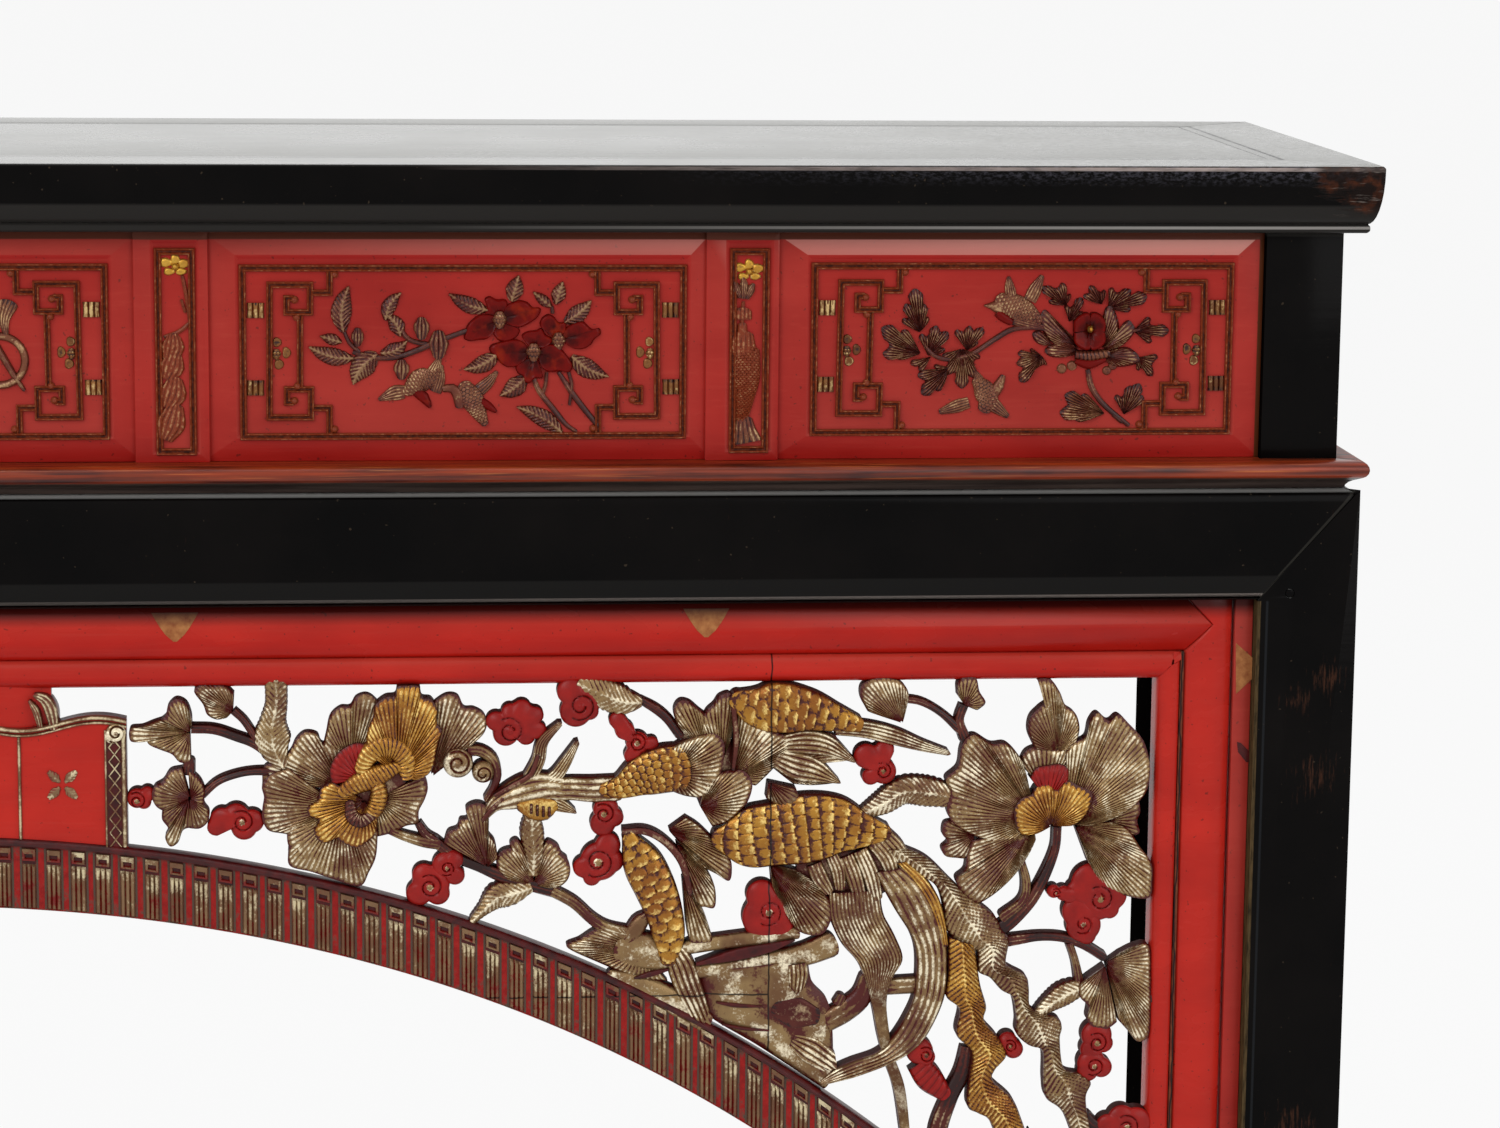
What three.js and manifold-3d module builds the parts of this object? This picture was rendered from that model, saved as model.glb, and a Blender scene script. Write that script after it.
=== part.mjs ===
// Lacquered altar table: a mitred top, a panelled waist, a moulding, mitred aprons on four square legs,
// and a red frame between the front legs that holds boards of openwork carving over a ribbed arch.
// Millimetres, +Z up, +X along the length, the front faces -Y, the origin on the floor under the middle.
import * as THREE from "three";
import { mergeVertices } from "three/addons/utils/BufferGeometryUtils.js";
import Module from "manifold-3d";

const wasm = await Module();
wasm.setup();

// Driving sizes of the whole table
const TABLE_LENGTH = 1975;
const TABLE_DEPTH = 436;
const TABLE_HEIGHT = 960;

// Levels, each measured down from the piece above it
const TOP_THICKNESS = 45;
const WAIST_HEIGHT = 153;
const MOULDING_OVOLO = 12;
const MOULDING_COVE = 7.5;
const COVE_RUN = 14;
const ROUND_SWEEP = [90, 250];
const ROUND_STEPS = 7;
const COVE_SWEEP = [50, 0];
const COVE_STEPS = 3;
const APRON_HEIGHT = 74.5;
const FRAME_RAIL_HEIGHT = 37;
const RIM_HEIGHT = 19;

// Insets of each front face behind the edge of the top
const MOULDING_INSET = 3;
const LEG_INSET = 8;
const FRAME_INSET = 16;
const CARVING_INSET = 19;
const WAIST_INSET = 22;

// Clearances
const FIT_GAP = 0.3;
const MITRE_GAP = 0.2;
const OVERRUN = 20;

// Top
const TOP_RAIL_WIDTH = 66;
const TOP_BEAD_HEIGHT = 6;
const EDGE_UNDERCUT = 9;
const ARRIS = 1.5;
const OVOLO_SWEEP = [180, 262];
const OVOLO_STEPS = 7;
const TOP_PANEL_THICKNESS = 20;
const TONGUE_THICKNESS = 8;
const TONGUE_LENGTH = 9;
const BATTEN_COUNT = 3;
const BATTEN_WIDTH = 46;
const BATTEN_HEIGHT = 22;
const BATTEN_TENON = 12;

// Legs
const LEG_WIDTH = 68;
const POST_WIDTH = 52;
const TENON_LENGTH = 20;
const TENON_SIDE = 12;
const TENON_MARGIN = 6;
const PEG_RADIUS = 3;
const PEG_SIDES = 12;
const PEG_LENGTH = 24;
const PEG_FROM_EDGE = 22;
const PEG_ABOVE_APRON = 4;

// Waist
const WAIST_PANELS = 5;
const DIVIDER_WIDTH = 48.5;
const WAIST_THICKNESS = 14;
const PANEL_MARGIN = 17;
const PANEL_FIELD_RISE = 2.5;
const PANEL_SINK = 4;
const FIELD_EMBED = 1;
const WAIST_TONGUE = 5;
const WAIST_TONGUE_THICKNESS = 5;

// Apron
const APRON_THICKNESS = 24;
const SHOULDER_RADIUS = 9;
const SHOULDER_SWEEP = [180, 90];
const SHOULDER_STEPS = 5;
const BEAD_WIDTH = 4;
const BEAD_RISE = 1.6;

// Red frame
const FRAME_STILE_WIDTH = 34;
const FRAME_THICKNESS = 24;
const FRAME_POINT = 20;
const FILLER_WIDTH = 8;
const FILLER_THICKNESS = 18;
const FILLER_SETBACK = 3;
const RIM_STILE_WIDTH = 22;
const FRAME_FOOT = 42;

// Carving
const CARVING_THICKNESS = 20;
const BOARD_HEIGHT_SHARE = 0.67245;
const ARCH_CROWN_SHARE = 0.2566;
const ARCH_SQUARE_SHARE = 0.716;
const ARCH_STEPS = 44;
const BAND_SHARE = 0.05666;
const BOARD_SPLIT_SHARE = 0.6893;
const BOARD_JOINT_SHARE = 0.3786;
const BANNER_HALF = 154.5;
const BANNER_RISE_SHARE = 0.632;
const BANNER_WAVE = 4;
const BANNER_STEPS = 18;
const SCROLL_HALF = 108;
const SCROLL_OVERLAP = 12;
const BLADE_STEPS = 2;
const CLOUD_LOBE_COUNT = 5;
const CLOUD_STEPS = 15;
const CLOUD_LOBE_SHARE = 0.1;

// Derived levels
const topUnder = TABLE_HEIGHT - TOP_THICKNESS;
const waistFoot = topUnder - WAIST_HEIGHT;
const mouldingFoot = waistFoot - MOULDING_OVOLO - MOULDING_COVE;
const apronFoot = mouldingFoot - APRON_HEIGHT;
const frameTop = apronFoot - FIT_GAP;
const rimTop = frameTop - FRAME_RAIL_HEIGHT;
const openingTop = rimTop - RIM_HEIGHT;

// Derived places across the length
const halfLength = TABLE_LENGTH / 2;
const halfDepth = TABLE_DEPTH / 2;
const legOuter = halfLength - LEG_INSET;
const legInner = legOuter - LEG_WIDTH;
const postOuter = halfLength - WAIST_INSET;
const postInner = postOuter - POST_WIDTH;
const fillerInner = legInner - FIT_GAP - FILLER_WIDTH;
const stileInner = fillerInner - FRAME_STILE_WIDTH;
const openingHalf = stileInner - RIM_STILE_WIDTH;
const openingHeight = openingTop - FRAME_FOOT;
const archCrown = openingTop - ARCH_CROWN_SHARE * openingHeight;
const boardSplit = BOARD_SPLIT_SHARE * openingHalf;
const boardJoint = openingTop - BOARD_JOINT_SHARE * openingHeight;
const bandHead = archCrown + (BAND_SHARE * openingHeight) / BOARD_HEIGHT_SHARE;
const bannerHead = bandHead + BANNER_RISE_SHARE * (openingTop - bandHead);

// Derived places through the depth
const legInnerDepth = halfDepth - LEG_INSET - LEG_WIDTH;
const postInnerDepth = halfDepth - WAIST_INSET - POST_WIDTH;

// Materials
function finish(color, roughness, metalness = 0) {
  return new THREE.MeshStandardMaterial({ color, roughness, metalness });
}
const blackLacquer = () => finish(0x0e0d0c, 0.28);
const redLacquer = () => finish(0xb8201f, 0.34);
const dustyRed = () => finish(0xa92f33, 0.55);
const brownLacquer = () => finish(0x8a3a18, 0.4);
const agedGilt = () => finish(0x8b7a50, 0.42, 0.5);
const bareWood = () => finish(0x5a4634, 0.7);

const table = new THREE.Group();

function add(name, geometry, material) {
  const mesh = new THREE.Mesh(geometry, material);
  mesh.name = name;
  table.add(mesh);
}

// Solids and joints
function toSolid(geometry) {
  const bare = geometry.clone();
  bare.deleteAttribute("normal");
  bare.deleteAttribute("uv");
  const merged = mergeVertices(bare);
  const vertProperties = new Float32Array(merged.attributes.position.array);
  const triVerts = new Uint32Array(merged.index.array);
  return new wasm.Manifold(new wasm.Mesh({ numProp: 3, vertProperties, triVerts }));
}

function toGeometry(solid) {
  const mesh = solid.getMesh();
  const geometry = new THREE.BufferGeometry();
  geometry.setAttribute("position", new THREE.BufferAttribute(mesh.vertProperties, 3));
  geometry.setIndex(new THREE.BufferAttribute(mesh.triVerts, 1));
  return geometry;
}

// A box between two corners
function block(low, high) {
  const size = high.map((value, axis) => value - low[axis]);
  const middle = high.map((value, axis) => (value + low[axis]) / 2);
  return new THREE.BoxGeometry(...size).translate(...middle);
}

const shapeOf = (points) => new THREE.Shape(points.map(([x, y]) => new THREE.Vector2(x, y)));

// An outline drawn in X and Z, given thickness from its front face back along +Y
function plate(points, front, thickness) {
  const geometry = new THREE.ExtrudeGeometry(shapeOf(points), { depth: thickness, bevelEnabled: false });
  return geometry.rotateX(Math.PI / 2).translate(0, front + thickness, 0);
}

// A rail along X with mitred ends: its profile is a list of [inset from the outer edge, level],
// listed from the outer edge inwards over the top, and the far corners lie at span and reach
function mitredRail(profile, halfSpan, halfReach) {
  const drawn = profile.map(([inset, level]) => new THREE.Vector2(inset, level));
  const outline = THREE.ShapeUtils.isClockWise(drawn) ? drawn.reverse() : drawn;
  const caps = THREE.ShapeUtils.triangulateShape(outline, []);
  const count = outline.length;
  const positions = [];
  for (const side of [-1, 1]) {
    for (const corner of outline) {
      positions.push(side * (halfSpan - corner.x - MITRE_GAP), corner.x - halfReach, corner.y);
    }
  }
  const index = [];
  const face = (a, b, c) => index.push(a, b, c);
  for (const [a, b, c] of caps) {
    face(a, c, b);
    face(a + count, b + count, c + count);
  }
  for (let i = 0; i < count; i++) {
    const next = (i + 1) % count;
    face(i, next, next + count);
    face(i, next + count, i + count);
  }
  const geometry = new THREE.BufferGeometry();
  geometry.setAttribute("position", new THREE.Float32BufferAttribute(positions, 3));
  geometry.setIndex(index);
  return geometry;
}

// The four rails of a mitred ring, each already turned to its own side
function mitredRing(profile) {
  const long = mitredRail(profile, halfLength, halfDepth);
  const short = mitredRail(profile, halfDepth, halfLength);
  return {
    front: long,
    back: long.clone().rotateZ(Math.PI),
    right: short.clone().rotateZ(Math.PI / 2),
    left: short.clone().rotateZ(-Math.PI / 2),
  };
}

// An arc of a profile about a centre, swept from one angle to another
function arc(centre, radius, [from, to], steps) {
  return Array.from({ length: steps + 1 }, (_, i) => {
    const angle = THREE.MathUtils.degToRad(from + ((to - from) * i) / steps);
    return [centre[0] + radius[0] * Math.cos(angle), centre[1] + radius[1] * Math.sin(angle)];
  });
}

// Places of a number of pieces at one pitch, about the middle
function spread(count, pitch) {
  return Array.from({ length: count }, (_, i) => (i - (count - 1) / 2) * pitch);
}

// Every corner of the table, as signs of X and Y with the corner's name
const corners = [
  { name: "front_left", x: -1, y: -1 },
  { name: "front_right", x: 1, y: -1 },
  { name: "back_left", x: -1, y: 1 },
  { name: "back_right", x: 1, y: 1 },
];

// A box given by its least and greatest distances from the two middle planes, at one corner
function cornerBlock(corner, xs, ys, levels) {
  const x = xs.map((value) => value * corner.x).sort((a, b) => a - b);
  const y = ys.map((value) => value * corner.y).sort((a, b) => a - b);
  return block([x[0], y[0], levels[0]], [x[1], y[1], levels[1]]);
}

// Tenons of a post: one goes up into the long rail, the other into the end rail
const postOuterDepth = halfDepth - WAIST_INSET;
const upFrom = (edge) => [edge + TENON_MARGIN, edge + TENON_MARGIN + TENON_SIDE];
const downFrom = (edge) => [edge - TENON_MARGIN - TENON_SIDE, edge - TENON_MARGIN];
const longTenon = { x: upFrom(postInner), y: downFrom(postOuterDepth) };
const endTenon = { x: downFrom(postOuter), y: upFrom(postInnerDepth) };
const grow = (pair, by) => [pair[0] - by, pair[1] + by];

function tenonBlocks(corner, by) {
  const levels = [topUnder - OVERRUN, topUnder + TENON_LENGTH + by];
  const room = (tenon) => cornerBlock(corner, grow(tenon.x, by), grow(tenon.y, by), levels);
  return [longTenon, endTenon].map(room);
}

// Top: four mitred rails with an ovolo edge and a bead, and a floating panel flush with them
const ovoloHead = TABLE_HEIGHT - 2 * ARRIS;
const ovoloFoot = topUnder + TOP_BEAD_HEIGHT;
const panelTop = TABLE_HEIGHT;
const tongueTop = panelTop - (TOP_PANEL_THICKNESS - TONGUE_THICKNESS) / 2;
const tongueFoot = tongueTop - TONGUE_THICKNESS;
const topProfile = [
  [ARRIS, TABLE_HEIGHT],
  [0, TABLE_HEIGHT - ARRIS],
  ...arc([EDGE_UNDERCUT, ovoloHead], [EDGE_UNDERCUT, ovoloHead - ovoloFoot], OVOLO_SWEEP, OVOLO_STEPS),
  [EDGE_UNDERCUT, ovoloFoot],
  [EDGE_UNDERCUT - ARRIS, ovoloFoot - ARRIS],
  [EDGE_UNDERCUT - ARRIS, topUnder + ARRIS],
  [EDGE_UNDERCUT, topUnder],
  [TOP_RAIL_WIDTH, topUnder],
  [TOP_RAIL_WIDTH, tongueFoot - FIT_GAP],
  [TOP_RAIL_WIDTH - TONGUE_LENGTH - FIT_GAP, tongueFoot - FIT_GAP],
  [TOP_RAIL_WIDTH - TONGUE_LENGTH - FIT_GAP, tongueTop + FIT_GAP],
  [TOP_RAIL_WIDTH, tongueTop + FIT_GAP],
  [TOP_RAIL_WIDTH, TABLE_HEIGHT],
];

const battenSpacing = (TABLE_LENGTH - 2 * TOP_RAIL_WIDTH) / (BATTEN_COUNT + 1);
const battenPlaces = spread(BATTEN_COUNT, battenSpacing);
const battenHead = panelTop - TOP_PANEL_THICKNESS - FIT_GAP;
const battenReach = halfDepth - TOP_RAIL_WIDTH - FIT_GAP;

function battenBlock(x, by) {
  const tenonFoot = battenHead - BATTEN_HEIGHT;
  const half = BATTEN_WIDTH / 2 + by;
  const reach = battenReach + BATTEN_TENON + by;
  return block([x - half, -reach, tenonFoot - by], [x + half, reach, battenHead + by]);
}

const topNames = {
  front: "top_front_rail",
  back: "top_back_rail",
  left: "top_end_left",
  right: "top_end_right",
};

function makeTop() {
  const ring = mitredRing(topProfile);
  for (const [side, name] of Object.entries(topNames)) {
    let rail = toSolid(ring[side]);
    for (const corner of corners) {
      for (const mortise of tenonBlocks(corner, FIT_GAP)) rail = rail.subtract(toSolid(mortise));
    }
    for (const x of battenPlaces) rail = rail.subtract(toSolid(battenBlock(x, FIT_GAP)));
    add(name, toGeometry(rail), blackLacquer());
  }
  const reach = [halfLength - TOP_RAIL_WIDTH - FIT_GAP, halfDepth - TOP_RAIL_WIDTH - FIT_GAP];
  const slab = block(
    [-reach[0], -reach[1], panelTop - TOP_PANEL_THICKNESS],
    [reach[0], reach[1], panelTop],
  );
  const tongue = block(
    [-reach[0] - TONGUE_LENGTH, -reach[1] - TONGUE_LENGTH, tongueFoot],
    [reach[0] + TONGUE_LENGTH, reach[1] + TONGUE_LENGTH, tongueTop],
  );
  add("top_panel", toGeometry(toSolid(slab).add(toSolid(tongue))), blackLacquer());
  battenPlaces.forEach((x, i) => {
    add("top_batten_" + (i + 1), battenBlock(x, 0), bareWood());
  });
}

// Aprons: mitred to each other and, on their faces, down across the legs
const apronHead = mouldingFoot - FIT_GAP;
const shoulderMiddle = [LEG_INSET + SHOULDER_RADIUS, apronHead - SHOULDER_RADIUS];
const apronProfile = [
  [LEG_INSET + APRON_THICKNESS, apronFoot],
  [LEG_INSET, apronFoot],
  [LEG_INSET - BEAD_RISE, apronFoot + BEAD_RISE],
  [LEG_INSET - BEAD_RISE, apronFoot + BEAD_WIDTH - BEAD_RISE],
  [LEG_INSET, apronFoot + BEAD_WIDTH],
  ...arc(shoulderMiddle, [SHOULDER_RADIUS, SHOULDER_RADIUS], SHOULDER_SWEEP, SHOULDER_STEPS),
  [LEG_INSET + APRON_THICKNESS, apronHead],
];

// The room that an apron needs inside a leg: a plain profile from outside the leg to behind the apron
const roomBack = LEG_INSET + APRON_THICKNESS + FIT_GAP;
const apronRoomProfile = [
  [-OVERRUN, apronFoot - FIT_GAP],
  [-OVERRUN, apronHead + OVERRUN],
  [roomBack, apronHead + OVERRUN],
  [roomBack, apronFoot - FIT_GAP],
];

// The wedge that keeps an apron above the mitre lines of its two legs
function mitreWedge(half, reach, by) {
  const slope = LEG_WIDTH / APRON_HEIGHT;
  const lowFoot = half - LEG_INSET - LEG_WIDTH - OVERRUN * slope + by;
  const highHead = half - LEG_INSET + OVERRUN * slope + by;
  const outline = [
    [-lowFoot, apronFoot - OVERRUN],
    [lowFoot, apronFoot - OVERRUN],
    [highHead, mouldingFoot + OVERRUN],
    [-highHead, mouldingFoot + OVERRUN],
  ];
  return toSolid(plate(outline, -reach - OVERRUN, 2 * (reach + OVERRUN)));
}

// Four aprons of one profile, their mitre lines moved down by a clearance
function apronSolids(profile, by) {
  const ring = mitredRing(profile);
  const longWedge = mitreWedge(halfLength, halfDepth, by);
  const shortWedge = toSolid(toGeometry(mitreWedge(halfDepth, halfLength, by)).rotateZ(Math.PI / 2));
  return {
    front: toSolid(ring.front).intersect(longWedge),
    back: toSolid(ring.back).intersect(longWedge),
    left: toSolid(ring.left).intersect(shortWedge),
    right: toSolid(ring.right).intersect(shortWedge),
  };
}

function pegCylinder(corner, radius, length) {
  const x = corner.x * (legInner + PEG_FROM_EDGE);
  const z = apronFoot + PEG_ABOVE_APRON;
  const peg = new THREE.CylinderGeometry(radius, radius, length, PEG_SIDES);
  peg.translate(0, length / 2, 0).rotateX(corner.y < 0 ? 0 : Math.PI);
  return peg.translate(x, corner.y * (halfDepth - LEG_INSET), z);
}

function makeLegs() {
  const rooms = Object.values(apronSolids(apronRoomProfile, FIT_GAP));
  for (const corner of corners) {
    const shaft = cornerBlock(
      corner,
      [legInner, legOuter],
      [legInnerDepth, halfDepth - LEG_INSET],
      [0, mouldingFoot - FIT_GAP],
    );
    const post = cornerBlock(
      corner,
      [postInner, postOuter],
      [postInnerDepth, postOuterDepth],
      [mouldingFoot - OVERRUN, topUnder],
    );
    let leg = toSolid(shaft);
    for (const room of rooms) leg = leg.subtract(room);
    leg = leg.add(toSolid(post).subtract(postRelief(corner)));
    for (const tenon of tenonBlocks(corner, 0)) leg = leg.add(toSolid(tenon));
    leg = leg.subtract(toSolid(pegCylinder(corner, PEG_RADIUS + FIT_GAP, PEG_LENGTH + FIT_GAP)));
    add("leg_" + corner.name, toGeometry(leg), blackLacquer());
    add("peg_" + corner.name, pegCylinder(corner, PEG_RADIUS, PEG_LENGTH), brownLacquer());
  }
}

// Keeps the foot of a post behind the two aprons that meet in front of it
function postRelief(corner) {
  const levels = [mouldingFoot - 2 * OVERRUN, mouldingFoot];
  const endRoom = cornerBlock(corner, [halfLength - roomBack, halfLength], [0, halfDepth], levels);
  const frontRoom = cornerBlock(corner, [0, halfLength], [halfDepth - roomBack, halfDepth], levels);
  return toSolid(endRoom).add(toSolid(frontRoom));
}

function makeAprons() {
  const aprons = apronSolids(apronProfile, 0);
  for (const [side, solid] of Object.entries(aprons)) {
    add("apron_" + side, toGeometry(solid), blackLacquer());
  }
}

// Moulding between the waist and the apron: a red-brown ovolo over a black cove
const mouldingInner = WAIST_INSET + WAIST_THICKNESS;
const ovoloRadius = MOULDING_OVOLO / 2;
const ovoloMiddle = [MOULDING_INSET + ovoloRadius, waistFoot - ovoloRadius];
const mouldingProfile = [
  [WAIST_INSET, waistFoot],
  ...arc(ovoloMiddle, [ovoloRadius, ovoloRadius], ROUND_SWEEP, ROUND_STEPS),
  ...arc([MOULDING_INSET, mouldingFoot], [COVE_RUN, MOULDING_COVE], COVE_SWEEP, COVE_STEPS),
  [mouldingInner, mouldingFoot],
  [mouldingInner, waistFoot],
];

function makeMoulding() {
  const ring = mitredRing(mouldingProfile);
  for (const [side, geometry] of Object.entries(ring)) {
    let rail = toSolid(geometry);
    for (const corner of corners) {
      const room = cornerBlock(
        corner,
        grow([postInner, postOuter], FIT_GAP),
        grow([postInnerDepth, postOuterDepth], FIT_GAP),
        [mouldingFoot - OVERRUN, waistFoot + OVERRUN],
      );
      rail = rail.subtract(toSolid(room));
    }
    add("moulding_" + side, toGeometry(rail), brownLacquer());
  }
}

// Waist: panels with raised fields between dividers, tongues into grooves, on the moulding
const waistFront = -(halfDepth - WAIST_INSET);
const waistSpan = 2 * (postInner - FIT_GAP);
const dividerRoom = DIVIDER_WIDTH + 2 * FIT_GAP;
const panelWidth = (waistSpan - (WAIST_PANELS - 1) * dividerRoom) / WAIST_PANELS;
const panelPitch = panelWidth + dividerRoom;
const waistHead = topUnder - FIT_GAP;
const tongueFront = waistFront + (WAIST_THICKNESS - WAIST_TONGUE_THICKNESS) / 2;

function waistPanel(x) {
  const half = panelWidth / 2;
  const back = waistFront + WAIST_THICKNESS;
  const board = block([x - half, waistFront + PANEL_SINK, waistFoot], [x + half, back, waistHead]);
  const width = panelWidth - 2 * PANEL_SINK;
  const height = WAIST_HEIGHT - FIT_GAP - 2 * PANEL_SINK;
  const field = raisedField(width, height).translate(x, waistFront + PANEL_SINK, (waistFoot + waistHead) / 2);
  return toSolid(board).add(toSolid(field));
}

// A low frustum that rises towards -Y from its foot
function raisedField(width, height) {
  const signs = [[-1, -1], [1, -1], [1, 1], [-1, 1]];
  const rings = [
    [width / 2, height / 2, FIELD_EMBED],
    [width / 2 - PANEL_MARGIN, height / 2 - PANEL_MARGIN, -PANEL_FIELD_RISE],
  ];
  const positions = [];
  for (const [halfWidth, halfHeight, y] of rings) {
    for (const [x, z] of signs) positions.push(x * halfWidth, y, z * halfHeight);
  }
  const index = [0, 2, 1, 0, 3, 2, 4, 5, 6, 4, 6, 7];
  for (let i = 0; i < 4; i++) {
    const next = (i + 1) % 4;
    index.push(i, next, next + 4, i, next + 4, i + 4);
  }
  const geometry = new THREE.BufferGeometry();
  geometry.setAttribute("position", new THREE.Float32BufferAttribute(positions, 3));
  geometry.setIndex(index);
  return geometry;
}

function tongueBlock(x, half, by) {
  return block(
    [x - half - WAIST_TONGUE - by, tongueFront - by, waistFoot - by],
    [x + half + WAIST_TONGUE + by, tongueFront + WAIST_TONGUE_THICKNESS + by, waistHead + by],
  );
}

function makeWaist() {
  const places = spread(WAIST_PANELS, panelPitch);
  places.forEach((x, i) => {
    const inner = [i > 0, i < WAIST_PANELS - 1];
    const half = panelWidth / 2;
    const tongue = toSolid(tongueBlock(x, half, 0));
    const room = block(
      [inner[0] ? x - half - OVERRUN : x - half, waistFront - OVERRUN, waistFoot],
      [inner[1] ? x + half + OVERRUN : x + half, waistFront + TABLE_DEPTH, waistHead],
    );
    const panel = waistPanel(x).add(tongue.intersect(toSolid(room)));
    add("waist_panel_" + (i + 1), toGeometry(panel), dustyRed());
  });
  for (let i = 0; i < WAIST_PANELS - 1; i++) {
    const x = (places[i] + places[i + 1]) / 2;
    const half = DIVIDER_WIDTH / 2;
    const back = waistFront + WAIST_THICKNESS;
    let solid = toSolid(block([x - half, waistFront, waistFoot], [x + half, back, waistHead]));
    for (const side of [-1, 1]) {
      const groove = tongueBlock(x + (side * panelPitch) / 2, panelWidth / 2, FIT_GAP);
      solid = solid.subtract(toSolid(groove));
    }
    add("waist_divider_" + (i + 1), toGeometry(solid), dustyRed());
  }
  const span = postInner - FIT_GAP;
  const depthSpan = postInnerDepth - FIT_GAP;
  const back = block([-span, -waistFront - WAIST_THICKNESS, waistFoot], [span, -waistFront, waistHead]);
  add("waist_back_board", back, blackLacquer());
  for (const side of [-1, 1]) {
    const xs = [side * (postOuter - WAIST_THICKNESS), side * postOuter].sort((a, b) => a - b);
    const board = block([xs[0], -depthSpan, waistFoot], [xs[1], depthSpan, waistHead]);
    add(side < 0 ? "waist_end_left" : "waist_end_right", board, blackLacquer());
  }
}

// Red frame: a top rail whose points fit into notches in the two stiles, and a strip beside each stile
function makeFrame() {
  const front = -(halfDepth - FRAME_INSET);
  const tip = [stileInner + FRAME_POINT, (frameTop + rimTop) / 2];
  const shoulder = stileInner - FIT_GAP;
  const rail = [
    [-shoulder, rimTop],
    [shoulder, rimTop],
    [tip[0] - FIT_GAP, tip[1]],
    [shoulder, frameTop],
    [-shoulder, frameTop],
    [-tip[0] + FIT_GAP, tip[1]],
  ];
  add("frame_top_rail", frameBar(rail, front), redLacquer());
  for (const side of [-1, 1]) {
    const name = side < 0 ? "left" : "right";
    const stile = [
      [stileInner, FRAME_FOOT],
      [fillerInner - FIT_GAP, FRAME_FOOT],
      [fillerInner - FIT_GAP, frameTop],
      [stileInner + FIT_GAP, frameTop],
      [tip[0] + FIT_GAP, tip[1]],
      [stileInner, rimTop - FIT_GAP],
    ].map(([x, z]) => [side * x, z]);
    add("frame_stile_" + name, frameBar(stile, front), redLacquer());
    const xs = [side * fillerInner, side * (fillerInner + FILLER_WIDTH)].sort((a, b) => a - b);
    const strip = block(
      [xs[0], front + FILLER_SETBACK, FRAME_FOOT],
      [xs[1], front + FILLER_SETBACK + FILLER_THICKNESS, frameTop],
    );
    add("filler_strip_" + name, strip, redLacquer());
  }
}

// A flat bar of the frame
function frameBar(points, front) {
  const clockwise = THREE.ShapeUtils.isClockWise(points.map(([x, z]) => new THREE.Vector2(x, z)));
  const outline = clockwise ? points.slice().reverse() : points;
  return plate(outline, front, FRAME_THICKNESS);
}

// Carving. Motifs are laid out in the pixels of one view from the front right, and a ray through a
// pixel meets the front of the boards. The eye's place and the boards' height are shares of half the
// opening, so that the motifs keep together when the table grows.
const eyeShares = { x: 0.3554, away: 3.2448, up: 0.6634 };
const EYE_YAW_DEGREES = -5.56;
const EYE_PITCH_DEGREES = -9.88;
const EYE_ROLL_DEGREES = -0.569;
const PIXEL_VIEW_SHARE = 0.00023809524;
const middlePixels = [750, 564];
const carvingFront = -(halfDepth - CARVING_INSET);
const eyeTurn = new THREE.Matrix4()
  .makeRotationZ(THREE.MathUtils.degToRad(EYE_YAW_DEGREES))
  .multiply(new THREE.Matrix4().makeRotationX(THREE.MathUtils.degToRad(EYE_PITCH_DEGREES)))
  .multiply(new THREE.Matrix4().makeRotationY(THREE.MathUtils.degToRad(EYE_ROLL_DEGREES)));

// Where a pixel falls on the front of the boards, as shares across and up from the head of the opening
function pixelShares(x, y) {
  const across = (x - middlePixels[0]) * PIXEL_VIEW_SHARE;
  const down = (y - middlePixels[1]) * PIXEL_VIEW_SHARE;
  const ray = new THREE.Vector3(across, 1, -down).applyMatrix4(eyeTurn);
  const reach = eyeShares.away / ray.y;
  return [eyeShares.x + ray.x * reach, eyeShares.up + ray.z * reach];
}

const pixelShare = pixelShares(middlePixels[0] + 1, middlePixels[1])[0] - pixelShares(...middlePixels)[0];

// A place on the boards, as [x, z], from its shares
function onBoard([across, up]) {
  return [across * openingHalf, openingTop + (up * openingHeight) / BOARD_HEIGHT_SHARE];
}

// The arch falls from its crown to the foot of the frame: its level, and its slope, at a share of half
// the opening from the middle
const crownShare = -ARCH_CROWN_SHARE * BOARD_HEIGHT_SHARE;
const dropShare = BOARD_HEIGHT_SHARE + crownShare;

function archShare(t) {
  return crownShare - dropShare * (ARCH_SQUARE_SHARE * t ** 2 + (1 - ARCH_SQUARE_SHARE) * t ** 4);
}

function archSlope(t) {
  return -dropShare * (2 * ARCH_SQUARE_SHARE * t + 4 * (1 - ARCH_SQUARE_SHARE) * t ** 3);
}

// A point at a rise above the arch, measured square to it
function overArch(t, rise) {
  const slope = archSlope(t);
  const run = rise / Math.hypot(1, slope);
  return onBoard([t - slope * run, archShare(t) + run]);
}

const archSpots = Array.from({ length: ARCH_STEPS + 1 }, (_, i) => (2 * i) / ARCH_STEPS - 1);

function bandOutline() {
  const lower = archSpots.map((t) => overArch(t, 0));
  const upper = archSpots.map((t) => overArch(t, BAND_SHARE)).reverse();
  return [...lower, ...upper];
}

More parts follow.
